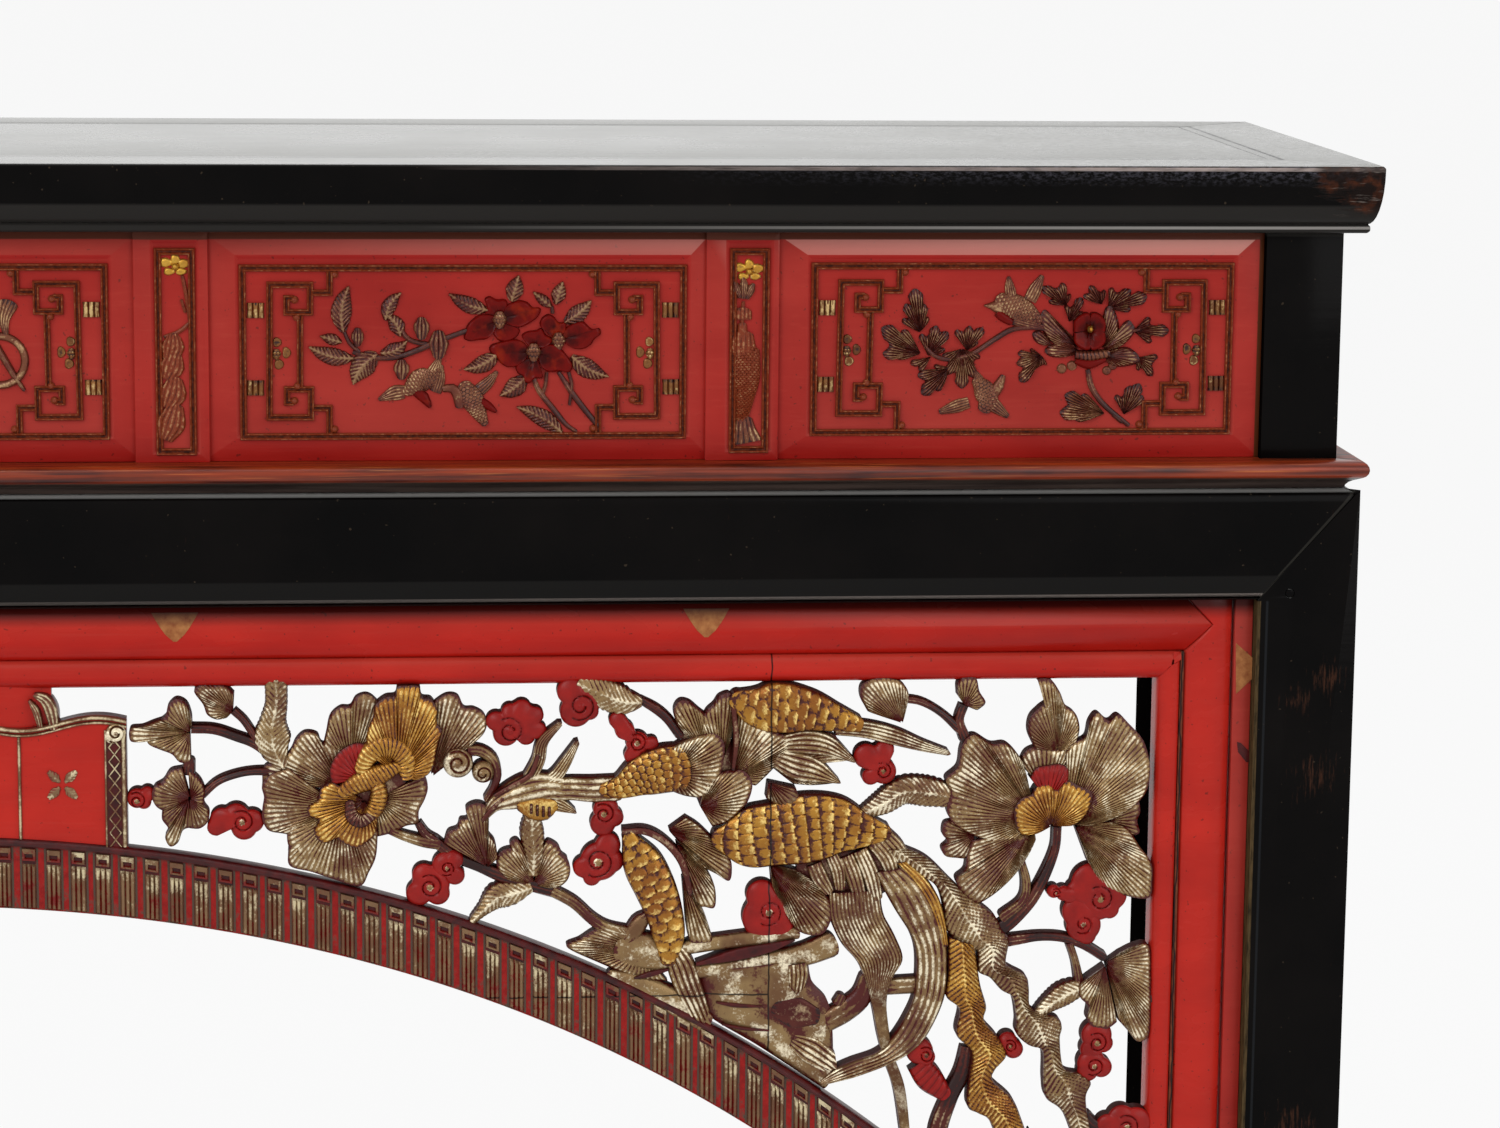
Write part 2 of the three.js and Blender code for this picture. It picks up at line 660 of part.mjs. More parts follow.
// Blades: leaves, petals, feathers, plumes and stems, each a list of [x, y, half width] in pixels
const bladePixels = {
  leaves: [
    [[196, 733, 12], [182, 733, 28], [164, 735, 15], [146, 736, 9], [124, 736, 8]],
    [[190, 768, 10], [183, 795, 27], [182, 815, 24], [174, 834, 14], [170, 850, 8]],
    [[236, 714, 5], [222, 702, 14], [206, 692, 11], [194, 682, 8]],
    [[284, 768, 8], [276, 742, 20], [272, 715, 13], [276, 682, 11]],
    [[645, 702, 6], [620, 696, 15], [590, 688, 13], [570, 680, 8]],
    [[903, 724, 9], [888, 704, 21], [872, 690, 20], [868, 678, 16]],
    [[950, 785, 12], [926, 787, 16], [902, 790, 14], [882, 804, 14], [862, 818, 9]],
    [[1057, 752, 10], [1055, 726, 25], [1062, 706, 17], [1050, 690, 9], [1041, 674, 8]],
    [[966, 722, 6], [965, 704, 12], [973, 692, 14], [966, 676, 9]],
    [[1094, 950, 8], [1108, 970, 26], [1124, 992, 36], [1138, 1022, 24], [1146, 1042, 8]],
    [[1086, 985, 10], [1065, 996, 12], [1045, 1010, 8], [1032, 1020, 5]],
    [[487, 870, 10], [480, 842, 22], [474, 820, 18], [476, 802, 8]],
    [[536, 892, 20], [530, 868, 34], [518, 850, 24], [500, 846, 6]],
    [[534, 880, 6], [534, 852, 10], [532, 830, 12], [534, 812, 7]],
    [[534, 892, 6], [515, 896, 12], [495, 900, 13], [480, 915, 9], [470, 926, 8]],
    [[820, 1040, 8], [846, 1012, 11], [862, 990, 12], [864, 966, 6]],
    [[1020, 1128, 10], [1032, 1180, 26], [1024, 1216, 18], [1012, 1248, 8]],
    [[1128, 1190, 10], [1100, 1206, 22], [1078, 1230, 18], [1066, 1258, 8]],
    [[1140, 1300, 16], [1112, 1306, 22], [1090, 1326, 16], [1080, 1350, 8]],
  ],
  firstPeony: [
    [[372, 790, 14], [352, 748, 26], [344, 716, 24], [346, 698, 10]],
    [[360, 800, 20], [315, 782, 38], [284, 760, 34], [272, 752, 14]],
    [[360, 810, 16], [310, 814, 24], [274, 812, 18], [262, 812, 10]],
    [[350, 800, 20], [338, 850, 44], [330, 880, 34], [326, 892, 18]],
    [[380, 832, 8], [402, 806, 26], [420, 790, 26], [428, 782, 10]],
    [[436, 776, 12], [448, 736, 20], [450, 708, 16], [449, 697, 8]],
    [[430, 778, 12], [462, 748, 20], [478, 732, 18], [487, 724, 8]],
    [[400, 792, 22], [404, 744, 38], [404, 706, 30], [404, 682, 12]],
    [[378, 786, 18], [340, 806, 34], [312, 820, 30], [302, 812, 10]],
  ],
  secondPeony: [
    [[1022, 832, 14], [986, 796, 48], [962, 768, 44], [950, 752, 20]],
    [[1000, 836, 10], [966, 838, 20], [948, 842, 18], [942, 846, 8]],
    [[1034, 830, 10], [1004, 864, 26], [986, 884, 22], [974, 900, 8]],
    [[1078, 828, 12], [1098, 774, 42], [1110, 736, 38], [1112, 714, 18]],
    [[1076, 824, 8], [1108, 852, 30], [1126, 876, 30], [1142, 896, 14]],
    [[1052, 836, 20], [1050, 808, 38], [1046, 778, 34], [1046, 742, 24]],
    [[1118, 822, 8], [1134, 816, 15], [1150, 826, 12], [1156, 880, 8]],
  ],
  phoenixWing: [
    [[735, 720, 20], [770, 708, 32], [812, 708, 24], [850, 720, 13], [900, 738, 9], [946, 750, 5]],
    [[780, 740, 16], [812, 742, 20], [836, 750, 10], [855, 761, 4]],
    [[786, 752, 18], [808, 766, 22], [824, 774, 13], [841, 783, 4]],
    [[690, 772, 24], [712, 756, 30], [742, 742, 30], [776, 744, 28]],
    [[700, 760, 22], [694, 728, 20], [688, 710, 16], [686, 700, 8]],
    [[724, 752, 18], [716, 720, 18], [722, 702, 14], [732, 690, 8]],
    [[716, 800, 40], [740, 790, 44], [770, 800, 36]],
    [[688, 800, 18], [712, 826, 26], [730, 848, 20], [738, 860, 12]],
  ],
  phoenixBody: [
    [[716, 832, 8], [748, 836, 36], [792, 828, 40], [840, 824, 36], [872, 834, 24], [896, 846, 16]],
    [[628, 836, 10], [656, 832, 14], [690, 842, 24], [716, 866, 16], [730, 882, 4]],
    [[672, 850, 14], [694, 868, 18], [706, 890, 14], [716, 910, 4]],
    [[684, 866, 14], [698, 900, 16], [706, 926, 12], [712, 944, 6]],
    [[640, 846, 18], [654, 872, 24], [666, 908, 20], [674, 940, 16], [672, 968, 10], [692, 1012, 12]],
    [[812, 862, 30], [794, 896, 34], [810, 930, 40], [824, 950, 16]],
  ],
  tail: [
    [
      [864, 868, 40], [868, 914, 40], [876, 958, 26], [882, 992, 12],
      [888, 1040, 8], [898, 1090, 8], [908, 1150, 8],
    ],
    [
      [890, 866, 20], [918, 906, 17], [932, 952, 16], [928, 1000, 15],
      [908, 1036, 14], [878, 1060, 12], [830, 1078, 9],
    ],
    [
      [920, 900, 16], [950, 940, 18], [964, 976, 19], [972, 1012, 18],
      [980, 1050, 20], [990, 1086, 20], [1012, 1130, 18], [1030, 1170, 12],
    ],
    [
      [900, 862, 16], [934, 886, 20], [962, 914, 22], [986, 948, 22], [1006, 980, 18],
      [1026, 1008, 14], [1044, 1040, 14], [1062, 1076, 13], [1082, 1112, 14], [1096, 1150, 10],
    ],
  ],
  headAndNeck: [
    [
      [480, 820, 4], [500, 802, 12], [530, 794, 20], [562, 790, 15],
      [600, 788, 16], [636, 778, 26], [676, 766, 30],
    ],
    [[534, 784, 8], [540, 758, 8], [548, 738, 6], [560, 722, 4]],
    [[548, 786, 8], [562, 768, 7], [574, 748, 5], [578, 740, 3]],
    [[524, 806, 8], [540, 812, 12], [556, 812, 8], [576, 814, 4]],
  ],
  rocks: [
    [[560, 950, 5], [596, 948, 18], [632, 946, 28], [668, 964, 26]],
    [[660, 972, 24], [720, 968, 26], [790, 962, 26], [832, 946, 14]],
    [[712, 1006, 26], [752, 1022, 54], [792, 1030, 60], [820, 1066, 26]],
    [[640, 930, 7], [642, 920, 9], [652, 916, 5]],
    [[880, 988, 9], [918, 988, 9]],
  ],
  stems: [
    [[190, 728, 5], [220, 733, 5], [252, 746, 5], [282, 768, 5]],
    [[232, 712, 4], [246, 728, 4], [258, 748, 4]],
    [[202, 797, 5], [222, 782, 4], [245, 775, 4], [284, 773, 5]],
    [[188, 778, 8], [188, 760, 6]],
    [[392, 832, 5], [440, 846, 6], [480, 866, 6], [520, 886, 7], [562, 895, 7], [600, 918, 7], [624, 936, 8]],
    [[416, 820, 4], [426, 838, 5]],
    [[478, 752, 7], [492, 764, 6], [496, 782, 6], [488, 806, 6]],
    [[640, 702, 5], [658, 714, 5], [682, 738, 6]],
    [[898, 698, 4], [930, 706, 4], [962, 732, 5]],
    [[964, 708, 6], [964, 734, 6], [970, 752, 6]],
    [[1058, 824, 6], [1056, 852, 6], [1044, 886, 7], [1024, 916, 8], [1000, 932, 8]],
    [[1024, 860, 5], [1027, 886, 5], [1022, 906, 5], [1000, 922, 6]],
    [[1002, 942, 6], [1040, 936, 5], [1074, 940, 5], [1098, 956, 6]],
    [[1068, 940, 5], [1078, 980, 5]],
    [[972, 1046, 8], [962, 1074, 9], [948, 1102, 9], [938, 1140, 10], [950, 1180, 8]],
    [[960, 1150, 5], [1000, 1190, 6], [1040, 1220, 6], [1076, 1260, 7], [1110, 1310, 7], [1146, 1370, 7]],
    [[1042, 1212, 5], [1080, 1190, 5], [1136, 1176, 6]],
    [[985, 1060, 7], [1010, 1048, 7], [1050, 1056, 7]],
    [[1138, 1122, 7], [1100, 1130, 7], [1086, 1118, 7]],
  ],
};

// Clouds and scrolls: [x, y, half width, half height] in pixels
const cloudPixels = [
  [138, 797, 22, 13],
  [238, 822, 32, 17],
  [514, 724, 32, 21],
  [577, 700, 23, 26],
  [630, 728, 14, 20],
  [644, 744, 14, 14],
  [432, 882, 22, 28],
  [444, 856, 14, 12],
  [610, 818, 18, 20],
  [602, 862, 22, 22],
  [616, 842, 16, 20],
  [768, 914, 26, 32],
  [884, 762, 17, 22],
  [1096, 890, 26, 24],
  [1084, 922, 22, 22],
  [1060, 892, 16, 9],
  [1112, 900, 22, 18],
  [1096, 1042, 17, 18],
  [1094, 1070, 20, 14],
  [1124, 1126, 32, 20],
  [928, 1056, 16, 18],
  [936, 1080, 18, 18],
  [1010, 1044, 14, 14],
  [459, 762, 15, 14],
  [483, 773, 13, 13],
  [1060, 1160, 22, 16],
  [1128, 1240, 26, 20],
  [1050, 1268, 14, 16],
  [1136, 1356, 20, 24],
];

// A blade's two sides, each a list of [x, z], from its foot to its tip
function bladeSides(stations) {
  const spots = stations.map(([x, y]) => new THREE.Vector2(...pixelShares(x, y)));
  const halves = stations.map(([, , half]) => half * pixelShare);
  const spine = new THREE.SplineCurve(spots);
  const count = (stations.length - 1) * BLADE_STEPS;
  const sides = { left: [], right: [] };
  for (let i = 0; i <= count; i++) {
    const place = (i / count) * (stations.length - 1);
    const lower = Math.min(Math.floor(place), stations.length - 2);
    const half = THREE.MathUtils.lerp(halves[lower], halves[lower + 1], place - lower);
    const middle = spine.getPoint(i / count);
    const along = spine.getTangent(i / count);
    sides.left.push(onBoard([middle.x - along.y * half, middle.y + along.x * half]));
    sides.right.push(onBoard([middle.x + along.y * half, middle.y - along.x * half]));
  }
  return sides;
}

// The same blade on the other side of the middle
function mirrorSides({ left, right }) {
  const flip = (points) => points.map(([x, z]) => [-x, z]);
  return { left: flip(right), right: flip(left) };
}

// A blade as thick as the board: a strip of quads between its sides, in front and behind
function bladePlate({ left, right }) {
  const count = left.length;
  const positions = [];
  for (const y of [carvingFront, carvingFront + CARVING_THICKNESS]) {
    for (const side of [left, right]) {
      for (const [x, z] of side) positions.push(x, y, z);
    }
  }
  const at = { frontLeft: 0, frontRight: count, backLeft: 2 * count, backRight: 3 * count };
  const index = [];
  const quad = (a, b, c, d) => index.push(a, b, c, a, c, d);
  for (let i = 0; i < count - 1; i++) {
    quad(at.frontRight + i, at.frontRight + i + 1, at.frontLeft + i + 1, at.frontLeft + i);
    quad(at.backLeft + i, at.backLeft + i + 1, at.backRight + i + 1, at.backRight + i);
    quad(at.backRight + i, at.backRight + i + 1, at.frontRight + i + 1, at.frontRight + i);
    quad(at.frontLeft + i, at.frontLeft + i + 1, at.backLeft + i + 1, at.backLeft + i);
  }
  const last = count - 1;
  quad(at.frontRight, at.frontLeft, at.backLeft, at.backRight);
  quad(at.frontRight + last, at.backRight + last, at.backLeft + last, at.frontLeft + last);
  const geometry = new THREE.BufferGeometry();
  geometry.setAttribute("position", new THREE.Float32BufferAttribute(positions, 3));
  geometry.setIndex(index);
  return toSolid(geometry);
}

function cloudOutline([x, y, halfWidth, halfHeight]) {
  const [across, up] = pixelShares(x, y);
  return Array.from({ length: CLOUD_STEPS }, (_, i) => {
    const angle = (2 * Math.PI * i) / CLOUD_STEPS;
    const reach = (1 + CLOUD_LOBE_SHARE * Math.cos(CLOUD_LOBE_COUNT * angle)) * pixelShare;
    return onBoard([across + halfWidth * reach * Math.cos(angle), up + halfHeight * reach * Math.sin(angle)]);
  });
}

const carvingPlate = (outline) => toSolid(plate(outline, carvingFront, CARVING_THICKNESS));

// The banner in the middle, with a waving upper edge, standing on the band
function bannerOutline() {
  const upper = Array.from({ length: BANNER_STEPS + 1 }, (_, i) => {
    const t = 1 - (2 * i) / BANNER_STEPS;
    return [t * BANNER_HALF, bannerHead + BANNER_WAVE * Math.cos(2 * Math.PI * t)];
  });
  return [[-BANNER_HALF, archCrown], [BANNER_HALF, archCrown], ...upper];
}

// The scroll over the banner that ties it to the rim
function scrollOutline() {
  return [
    [-SCROLL_HALF, bannerHead - SCROLL_OVERLAP],
    [SCROLL_HALF, bannerHead - SCROLL_OVERLAP],
    [SCROLL_HALF, openingTop + RIM_HEIGHT / 2],
    [-SCROLL_HALF, openingTop + RIM_HEIGHT / 2],
  ];
}

// The rim of the boards, up the stiles and along under the frame's top rail
function rimPlates() {
  const head = rimTop - FIT_GAP;
  const outer = stileInner - FIT_GAP;
  const outlines = [
    [[-outer, openingTop], [outer, openingTop], [outer, head], [-outer, head]],
    [[openingHalf, FRAME_FOOT], [outer, FRAME_FOOT], [outer, head], [openingHalf, head]],
    [[-outer, FRAME_FOOT], [-openingHalf, FRAME_FOOT], [-openingHalf, head], [-outer, head]],
  ];
  return outlines.map(carvingPlate);
}

function carving() {
  const blades = Object.values(bladePixels).flat().map(bladeSides);
  const clouds = cloudPixels.map(cloudOutline);
  const mirroredClouds = clouds.map((outline) => outline.map(([x, z]) => [-x, z]).reverse());
  const motifs = [...blades, ...blades.map(mirrorSides)].map(bladePlate);
  motifs.push(...[...clouds, ...mirroredClouds].map(carvingPlate));
  const field = wasm.Manifold.union(motifs).intersect(carvingPlate(openingOutline()));
  const band = carvingPlate(bandOutline()).intersect(carvingPlate(betweenStiles()));
  const solids = [field, band, carvingPlate(bannerOutline()), carvingPlate(scrollOutline())];
  return wasm.Manifold.union([...solids, ...rimPlates()]);
}

// The room for the band, which ends inside the rims of the stiles
function betweenStiles() {
  const reach = openingHalf + RIM_STILE_WIDTH / 2;
  return [[-reach, FRAME_FOOT], [reach, FRAME_FOOT], [reach, openingTop], [-reach, openingTop]];
}

// The space inside the rim and above the arch, which no motif may leave
function openingOutline() {
  const lower = archSpots.map((t) => onBoard([t, archShare(t) + BAND_SHARE / 2]));
  return [...lower, [openingHalf, openingTop + FIT_GAP], [-openingHalf, openingTop + FIT_GAP]];
}

function makeCarving() {
  const half = FIT_GAP / 2;
  const whole = carving();
  const boards = [
    ["carved_board_centre", [-boardSplit + half, boardJoint + half], [boardSplit - half, TABLE_HEIGHT]],
    ["carved_board_right", [boardSplit + half, 0], [halfLength, TABLE_HEIGHT]],
    ["carved_board_left", [-halfLength, 0], [-boardSplit - half, TABLE_HEIGHT]],
    ["carved_lower_right", [0, 0], [boardSplit - half, boardJoint - half]],
    ["carved_lower_left", [-boardSplit + half, 0], [0, boardJoint - half]],
  ];
  for (const [name, low, high] of boards) {
    const room = block([low[0], -halfDepth, low[1]], [high[0], halfDepth, high[1]]);
    add(name, toGeometry(whole.intersect(toSolid(room))), agedGilt());
  }
}

makeTop();
makeLegs();
makeAprons();
makeMoulding();
makeWaist();
makeFrame();
makeCarving();

export default table;
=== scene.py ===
import math

import bmesh
import bpy
import numpy as np
from mathutils import Matrix, Vector


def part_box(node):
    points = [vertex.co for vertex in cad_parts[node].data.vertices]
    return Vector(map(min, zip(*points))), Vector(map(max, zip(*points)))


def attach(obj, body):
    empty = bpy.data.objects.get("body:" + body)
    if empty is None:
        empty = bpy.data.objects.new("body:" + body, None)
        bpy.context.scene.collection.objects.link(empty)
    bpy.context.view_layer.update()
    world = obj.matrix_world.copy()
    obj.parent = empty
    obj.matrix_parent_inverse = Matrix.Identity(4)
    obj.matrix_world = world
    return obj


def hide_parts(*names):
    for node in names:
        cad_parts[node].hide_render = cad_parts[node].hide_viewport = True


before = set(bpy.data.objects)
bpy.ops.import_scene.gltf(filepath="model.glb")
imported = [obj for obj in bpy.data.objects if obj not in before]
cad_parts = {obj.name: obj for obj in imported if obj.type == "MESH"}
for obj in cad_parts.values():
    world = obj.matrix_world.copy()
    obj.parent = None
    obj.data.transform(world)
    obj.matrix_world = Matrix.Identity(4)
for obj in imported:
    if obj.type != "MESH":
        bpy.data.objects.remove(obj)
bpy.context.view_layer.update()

MM = 0.001

# The photograph's camera: a long lens to the right of the middle, looking a little down and right
PICTURE_WIDTH, PICTURE_HEIGHT = 1500, 1128
FOCAL_PIXELS = 4200
SENSOR_MM = 36
EYE = Vector((0.3011, -2.948, 1.1737))
YAW, PITCH, ROLL = (math.radians(a) for a in (5.56, 9.88, 0.569))
TURN = Matrix.Rotation(-YAW, 3, "Z") @ Matrix.Rotation(-PITCH, 3, "X") @ Matrix.Rotation(-ROLL, 3, "Y")


def place_camera():
    data = bpy.data.cameras.new("camera")
    data.sensor_width = SENSOR_MM
    data.lens = FOCAL_PIXELS * SENSOR_MM / PICTURE_WIDTH
    data.clip_end = 100
    camera = bpy.data.objects.new("camera", data)
    bpy.context.collection.objects.link(camera)
    camera.matrix_world = Matrix.Translation(EYE) @ (TURN @ Matrix.Rotation(math.pi / 2, 3, "X")).to_4x4()
    bpy.context.scene.camera = camera


place_camera()

# Places on the solids that the finishes and the carving line up with
WAIST_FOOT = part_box("waist_panel_5")[0].z - 0.002
WAIST_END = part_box("waist_panel_5")[1].x
LEG_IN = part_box("leg_front_right")[0].x
APRON_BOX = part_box("apron_front")
MITRE_SLOPE = (APRON_BOX[1].x - LEG_IN) / (APRON_BOX[1].z - APRON_BOX[0].z)
BOARD_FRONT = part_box("carved_board_centre")[0].y
BOARD_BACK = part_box("carved_board_centre")[1].y
FRAME_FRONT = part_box("frame_top_rail")[0].y
WAIST_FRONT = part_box("waist_divider_1")[0].y
COVE_HEAD = APRON_BOX[1].z + 0.0088
PANEL_HALF = (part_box("top_panel")[1].x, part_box("top_panel")[1].y)

# The carved boards' rim, the opening inside it, and the cracks between the boards
RIGHT_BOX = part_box("carved_board_right")
RIM_HEAD = RIGHT_BOX[1].z
RIM_FOOT = RIGHT_BOX[0].z
OPENING_HEAD = RIM_HEAD - 0.019
OPENING_HALF = RIGHT_BOX[1].x - 0.022
RIM_OUT = OPENING_HALF + 0.0155
BOARD_SPLIT = RIGHT_BOX[0].x
BOARD_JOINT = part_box("carved_lower_right")[1].z

# The red frame round them: a rail whose pointed ends fit into notches in the stiles
RAIL_FOOT, RAIL_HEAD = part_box("frame_top_rail")[0].z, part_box("frame_top_rail")[1].z
RAIL_MIDDLE = (RAIL_FOOT + RAIL_HEAD) / 2
STILE_IN = RIM_OUT + 0.0024
STILE_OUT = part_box("frame_stile_right")[1].x - 0.0056
RAIL_TIP = STILE_IN + 0.018
FILLER_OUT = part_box("filler_strip_right")[1].x


def on_plane(x, y, depth):
    """Where the pixel at x, y of the photograph falls on the upright plane at Y = depth, as (X, Z)."""
    ray = TURN @ Vector(((x - PICTURE_WIDTH / 2) / FOCAL_PIXELS, 1, (PICTURE_HEIGHT / 2 - y) / FOCAL_PIXELS))
    reach = (depth - EYE.y) / ray.y
    return EYE.x + ray.x * reach, EYE.z + ray.z * reach


def on_boards(x, y):
    """The place, on the carved boards' face, of a pixel of the photograph."""
    return on_plane(x, y, BOARD_FRONT)


# Lacquers, gilt, fillers and wood


def linear(code):
    """An sRGB hex colour as linear RGBA."""
    parts = [int(code[i : i + 2], 16) / 255 for i in (1, 3, 5)]
    return tuple(c / 12.92 if c <= 0.04045 else ((c + 0.055) / 1.055) ** 2.4 for c in parts) + (1.0,)


def nodes_of(owner):
    """Clears the nodes of a material or world, and gives the function that adds one and returns its output.
    Plain values fill the inputs in order, at gives inputs by number, and a named value is an input where
    its name has a capital and a setting otherwise. A hex code is a colour."""
    owner.use_nodes = True
    tree = owner.node_tree
    tree.nodes.clear()

    def add(kind, *values, out=0, at=(), **named):
        node = tree.nodes.new("ShaderNode" + kind)
        inputs = [*enumerate(values), *dict(at).items()]
        for name, value in named.items():
            if name[0].isupper():
                inputs.append((name.replace("_", " "), value))
            else:
                setattr(node, name, value)
        for key, value in inputs:
            if isinstance(value, bpy.types.NodeSocket):
                tree.links.new(value, node.inputs[key])
            else:
                node.inputs[key].default_value = linear(value) if isinstance(value, str) else value
        return node.outputs[out] if len(node.outputs) else None

    return add


def start(name):
    """A new material, the function that adds its nodes, and the places on the table."""
    material = bpy.data.materials.new(name)
    add = nodes_of(material)
    return material, add, add("TexCoord", out="Object")


def product(add, first, *others):
    for other in others:
        first = add("Math", first, other, operation="MULTIPLY")
    return first


def total(add, first, *others):
    for other in others:
        first = add("Math", first, other, operation="ADD")
    return first


def apart(add, value, place):
    """How far a value is from a place."""
    return add("Math", add("Math", value, place, operation="SUBTRACT"), operation="ABSOLUTE")


def within(add, value, low, full, fade, high):
    """1 where the value lies between full and fade, falling to 0 at low and at high."""
    return product(add, add("MapRange", value, low, full), add("MapRange", value, high, fade))


def coat(add, under, over, *shares):
    """One colour laid over another, as thickly as the product of the shares."""
    share = product(add, *shares)
    return add("Mix", share, at={6: under, 7: over}, out=2, data_type="RGBA")


def blotches(add, where, size, detail=3.0, rough=0.55, stretch=(1, 1, 1)):
    """Blotches about size metres across, longer along an axis whose stretch is larger."""
    moved = add("VectorMath", where, tuple(1 / (size * s) for s in stretch), operation="MULTIPLY")
    return add("TexNoise", Vector=moved, Scale=1.0, Detail=detail, Roughness=rough)


def carved_tone(add):
    """0 in the grooves of the carving to 1 on its ridges."""
    return add("Attribute", attribute_name="relief", out="Fac")


def nearest(add, where, spots):
    """1 at a spot, falling to 0 at its reach from it, for whichever spot is nearest."""
    found = 0.0
    for point, reach in spots:
        gap = add("VectorMath", where, point, operation="DISTANCE", out="Value")
        found = add("Math", found, add("MapRange", gap, 0.0, reach, 1.0, 0.0), operation="MAXIMUM")
    return found


def surface(add, base, bump, depth, rough, shine=0.5, **more):
    """The shader and the output. The bump's height, 0 to 1, stands depth metres high."""
    raised = add("Bump", Height=bump, Distance=depth, Strength=1.0)
    finish = dict(Roughness=rough, IOR=1.5, Specular_IOR_Level=shine, Normal=raised, **more)
    add("OutputMaterial", Surface=add("BsdfPrincipled", Base_Color=base, **finish))


# Painted reflection, sheen, highlights and glow on the black lacquer, and the apron's mitre seam: where each
# begins, is full, fades and ends. Heights, then distances out
UNDER_EDGE_REFLECTION = (0.911, 0.912, 0.9325, 0.9345)
EDGE_GLINT = (0.9174, 0.9178, 0.9192, 0.9197)
ARRIS_GLINT = (0.9564, 0.9568, 0.9587, 0.9592)
APRON_FOOT = 0.668
APRON_LIP_SHEEN = (0.6675, APRON_FOOT, 0.6834, 0.6846)
APRON_GLINT = (0.6702, 0.6706, 0.6720, 0.6724)
MITRE_SEAM = (APRON_FOOT, 0.669, 0.741, 0.742)
LEG_HEAD = (0.667, 0.6665)
LEG_EDGE_HIGHLIGHT = [LEG_IN + gap for gap in (0.0056, 0.0062, 0.0072, 0.0078)]
LEG_GLOW = [LEG_IN + gap for gap in (-0.001, 0.0, 0.0022, 0.0026)]
LEG_GLOW_DEPTH = (-0.194, -0.196)
# Where handling has worn the black lacquer through to brown wood: place, reach
WORN_CORNERS = [
    ((0.983, -0.214, 0.944), 0.05),
    ((0.955, -0.217, 0.955), 0.03),
    ((-0.983, -0.214, 0.944), 0.045),
]
# Where passing chairs and feet have scuffed the legs: place, reach
SCUFFS = [
    ((0.962, -0.211, 0.612), 0.024),
    ((0.942, -0.211, 0.598), 0.02),
    ((0.955, -0.211, 0.545), 0.03),
    ((0.947, -0.211, 0.3), 0.03),
    ((-0.955, -0.211, 0.52), 0.034),
    ((-0.945, -0.211, 0.26), 0.03),
]


def apron_foot_sheen_and_seam(add, base, z, beyond):
    """The apron's foot between the legs, with a painted sheen on its chamfer and a painted highlight on its
    bead, and the mitre seam where it meets a leg.
    """
    rise = add("Math", z, APRON_FOOT, operation="SUBTRACT")
    mitre = add("Math", beyond, product(add, rise, MITRE_SLOPE), operation="SUBTRACT")
    between = add("Math", mitre, LEG_IN, operation="LESS_THAN")
    seam = add("MapRange", apart(add, mitre, LEG_IN), 0.0008, 0.0014, 0.8, 0.0)
    base = coat(add, base, "#2E2C28", seam, within(add, z, *MITRE_SEAM))
    # Painted sheen: the chamfer at the apron's foot is laid a little lighter than the black
    base = coat(add, base, "#191817", within(add, z, *APRON_LIP_SHEEN), between)
    # Painted highlight: a pale line along the bead at the apron's foot
    glint = add("MapRange", beyond, 0.1, 0.85, 0.4, 0.95)
    return coat(add, base, "#8A807A", within(add, z, *APRON_GLINT), glint, between)


def worn_edge_and_glint(add, where, base, z, beyond, streak):
    """The top's edge: brown wood worn through at its corners, and a painted highlight, a fine pale line,
    along its arris.
    """
    # Painted highlight: a broken pale line along the top's arris, toward the ends
    line = product(add, add("MapRange", beyond, 0.35, 0.85), add("MapRange", streak, 0.3, 0.55, 0.3, 0.9))
    base = coat(add, base, "#B4A49E", within(add, z, *ARRIS_GLINT), line)
    corner = nearest(add, where, WORN_CORNERS)
    ragged = add("MapRange", total(add, streak, corner), 0.92, 1.2)
    bare = product(add, ragged, add("MapRange", corner, 0.0, 0.3), add("MapRange", z, 0.924, 0.932))
    wood = coat(add, "#1E1411", "#5C301C", add("MapRange", blotches(add, where, 0.009), 0.46, 0.74))
    wood = coat(add, wood, "#8A8078", add("MapRange", streak, 0.62, 0.72, 0.0, 0.8))
    return coat(add, base, wood, bare, 0.85), bare


def dust_and_sheen_top(add, where, base, beyond, flat, dust_and_sheen):
    """Grey dust and a painted sheen on all that lies flat, marks wiped in it, and the joint round the
    floating panel.
    """
    # Dust and a painted sheen: everything that lies flat is laid pale grey
    base = coat(add, base, "#AAAAA7", dust_and_sheen, 0.92)
    marks = blotches(add, where, 0.012, 3.0, 0.6, stretch=(2.5, 1, 1))
    base = coat(add, base, "#1A1614", add("MapRange", marks, 0.7, 0.74, 0.0, 0.35), flat)
    deep = add("Math", add("SeparateXYZ", where, out=1), operation="ABSOLUTE")
    half_length, half_depth = PANEL_HALF
    past_side = add("Math", deep, half_depth, operation="GREATER_THAN")
    past_end = add("Math", beyond, half_length, operation="GREATER_THAN")
    across = total(add, apart(add, beyond, half_length), past_side)
    level = total(add, apart(add, deep, half_depth), past_end)
    joint = add("Math", across, level, operation="MINIMUM")
    return coat(add, base, "#0E0B0A", add("MapRange", joint, 0.0009, 0.0020, 0.9, 0.0), flat)


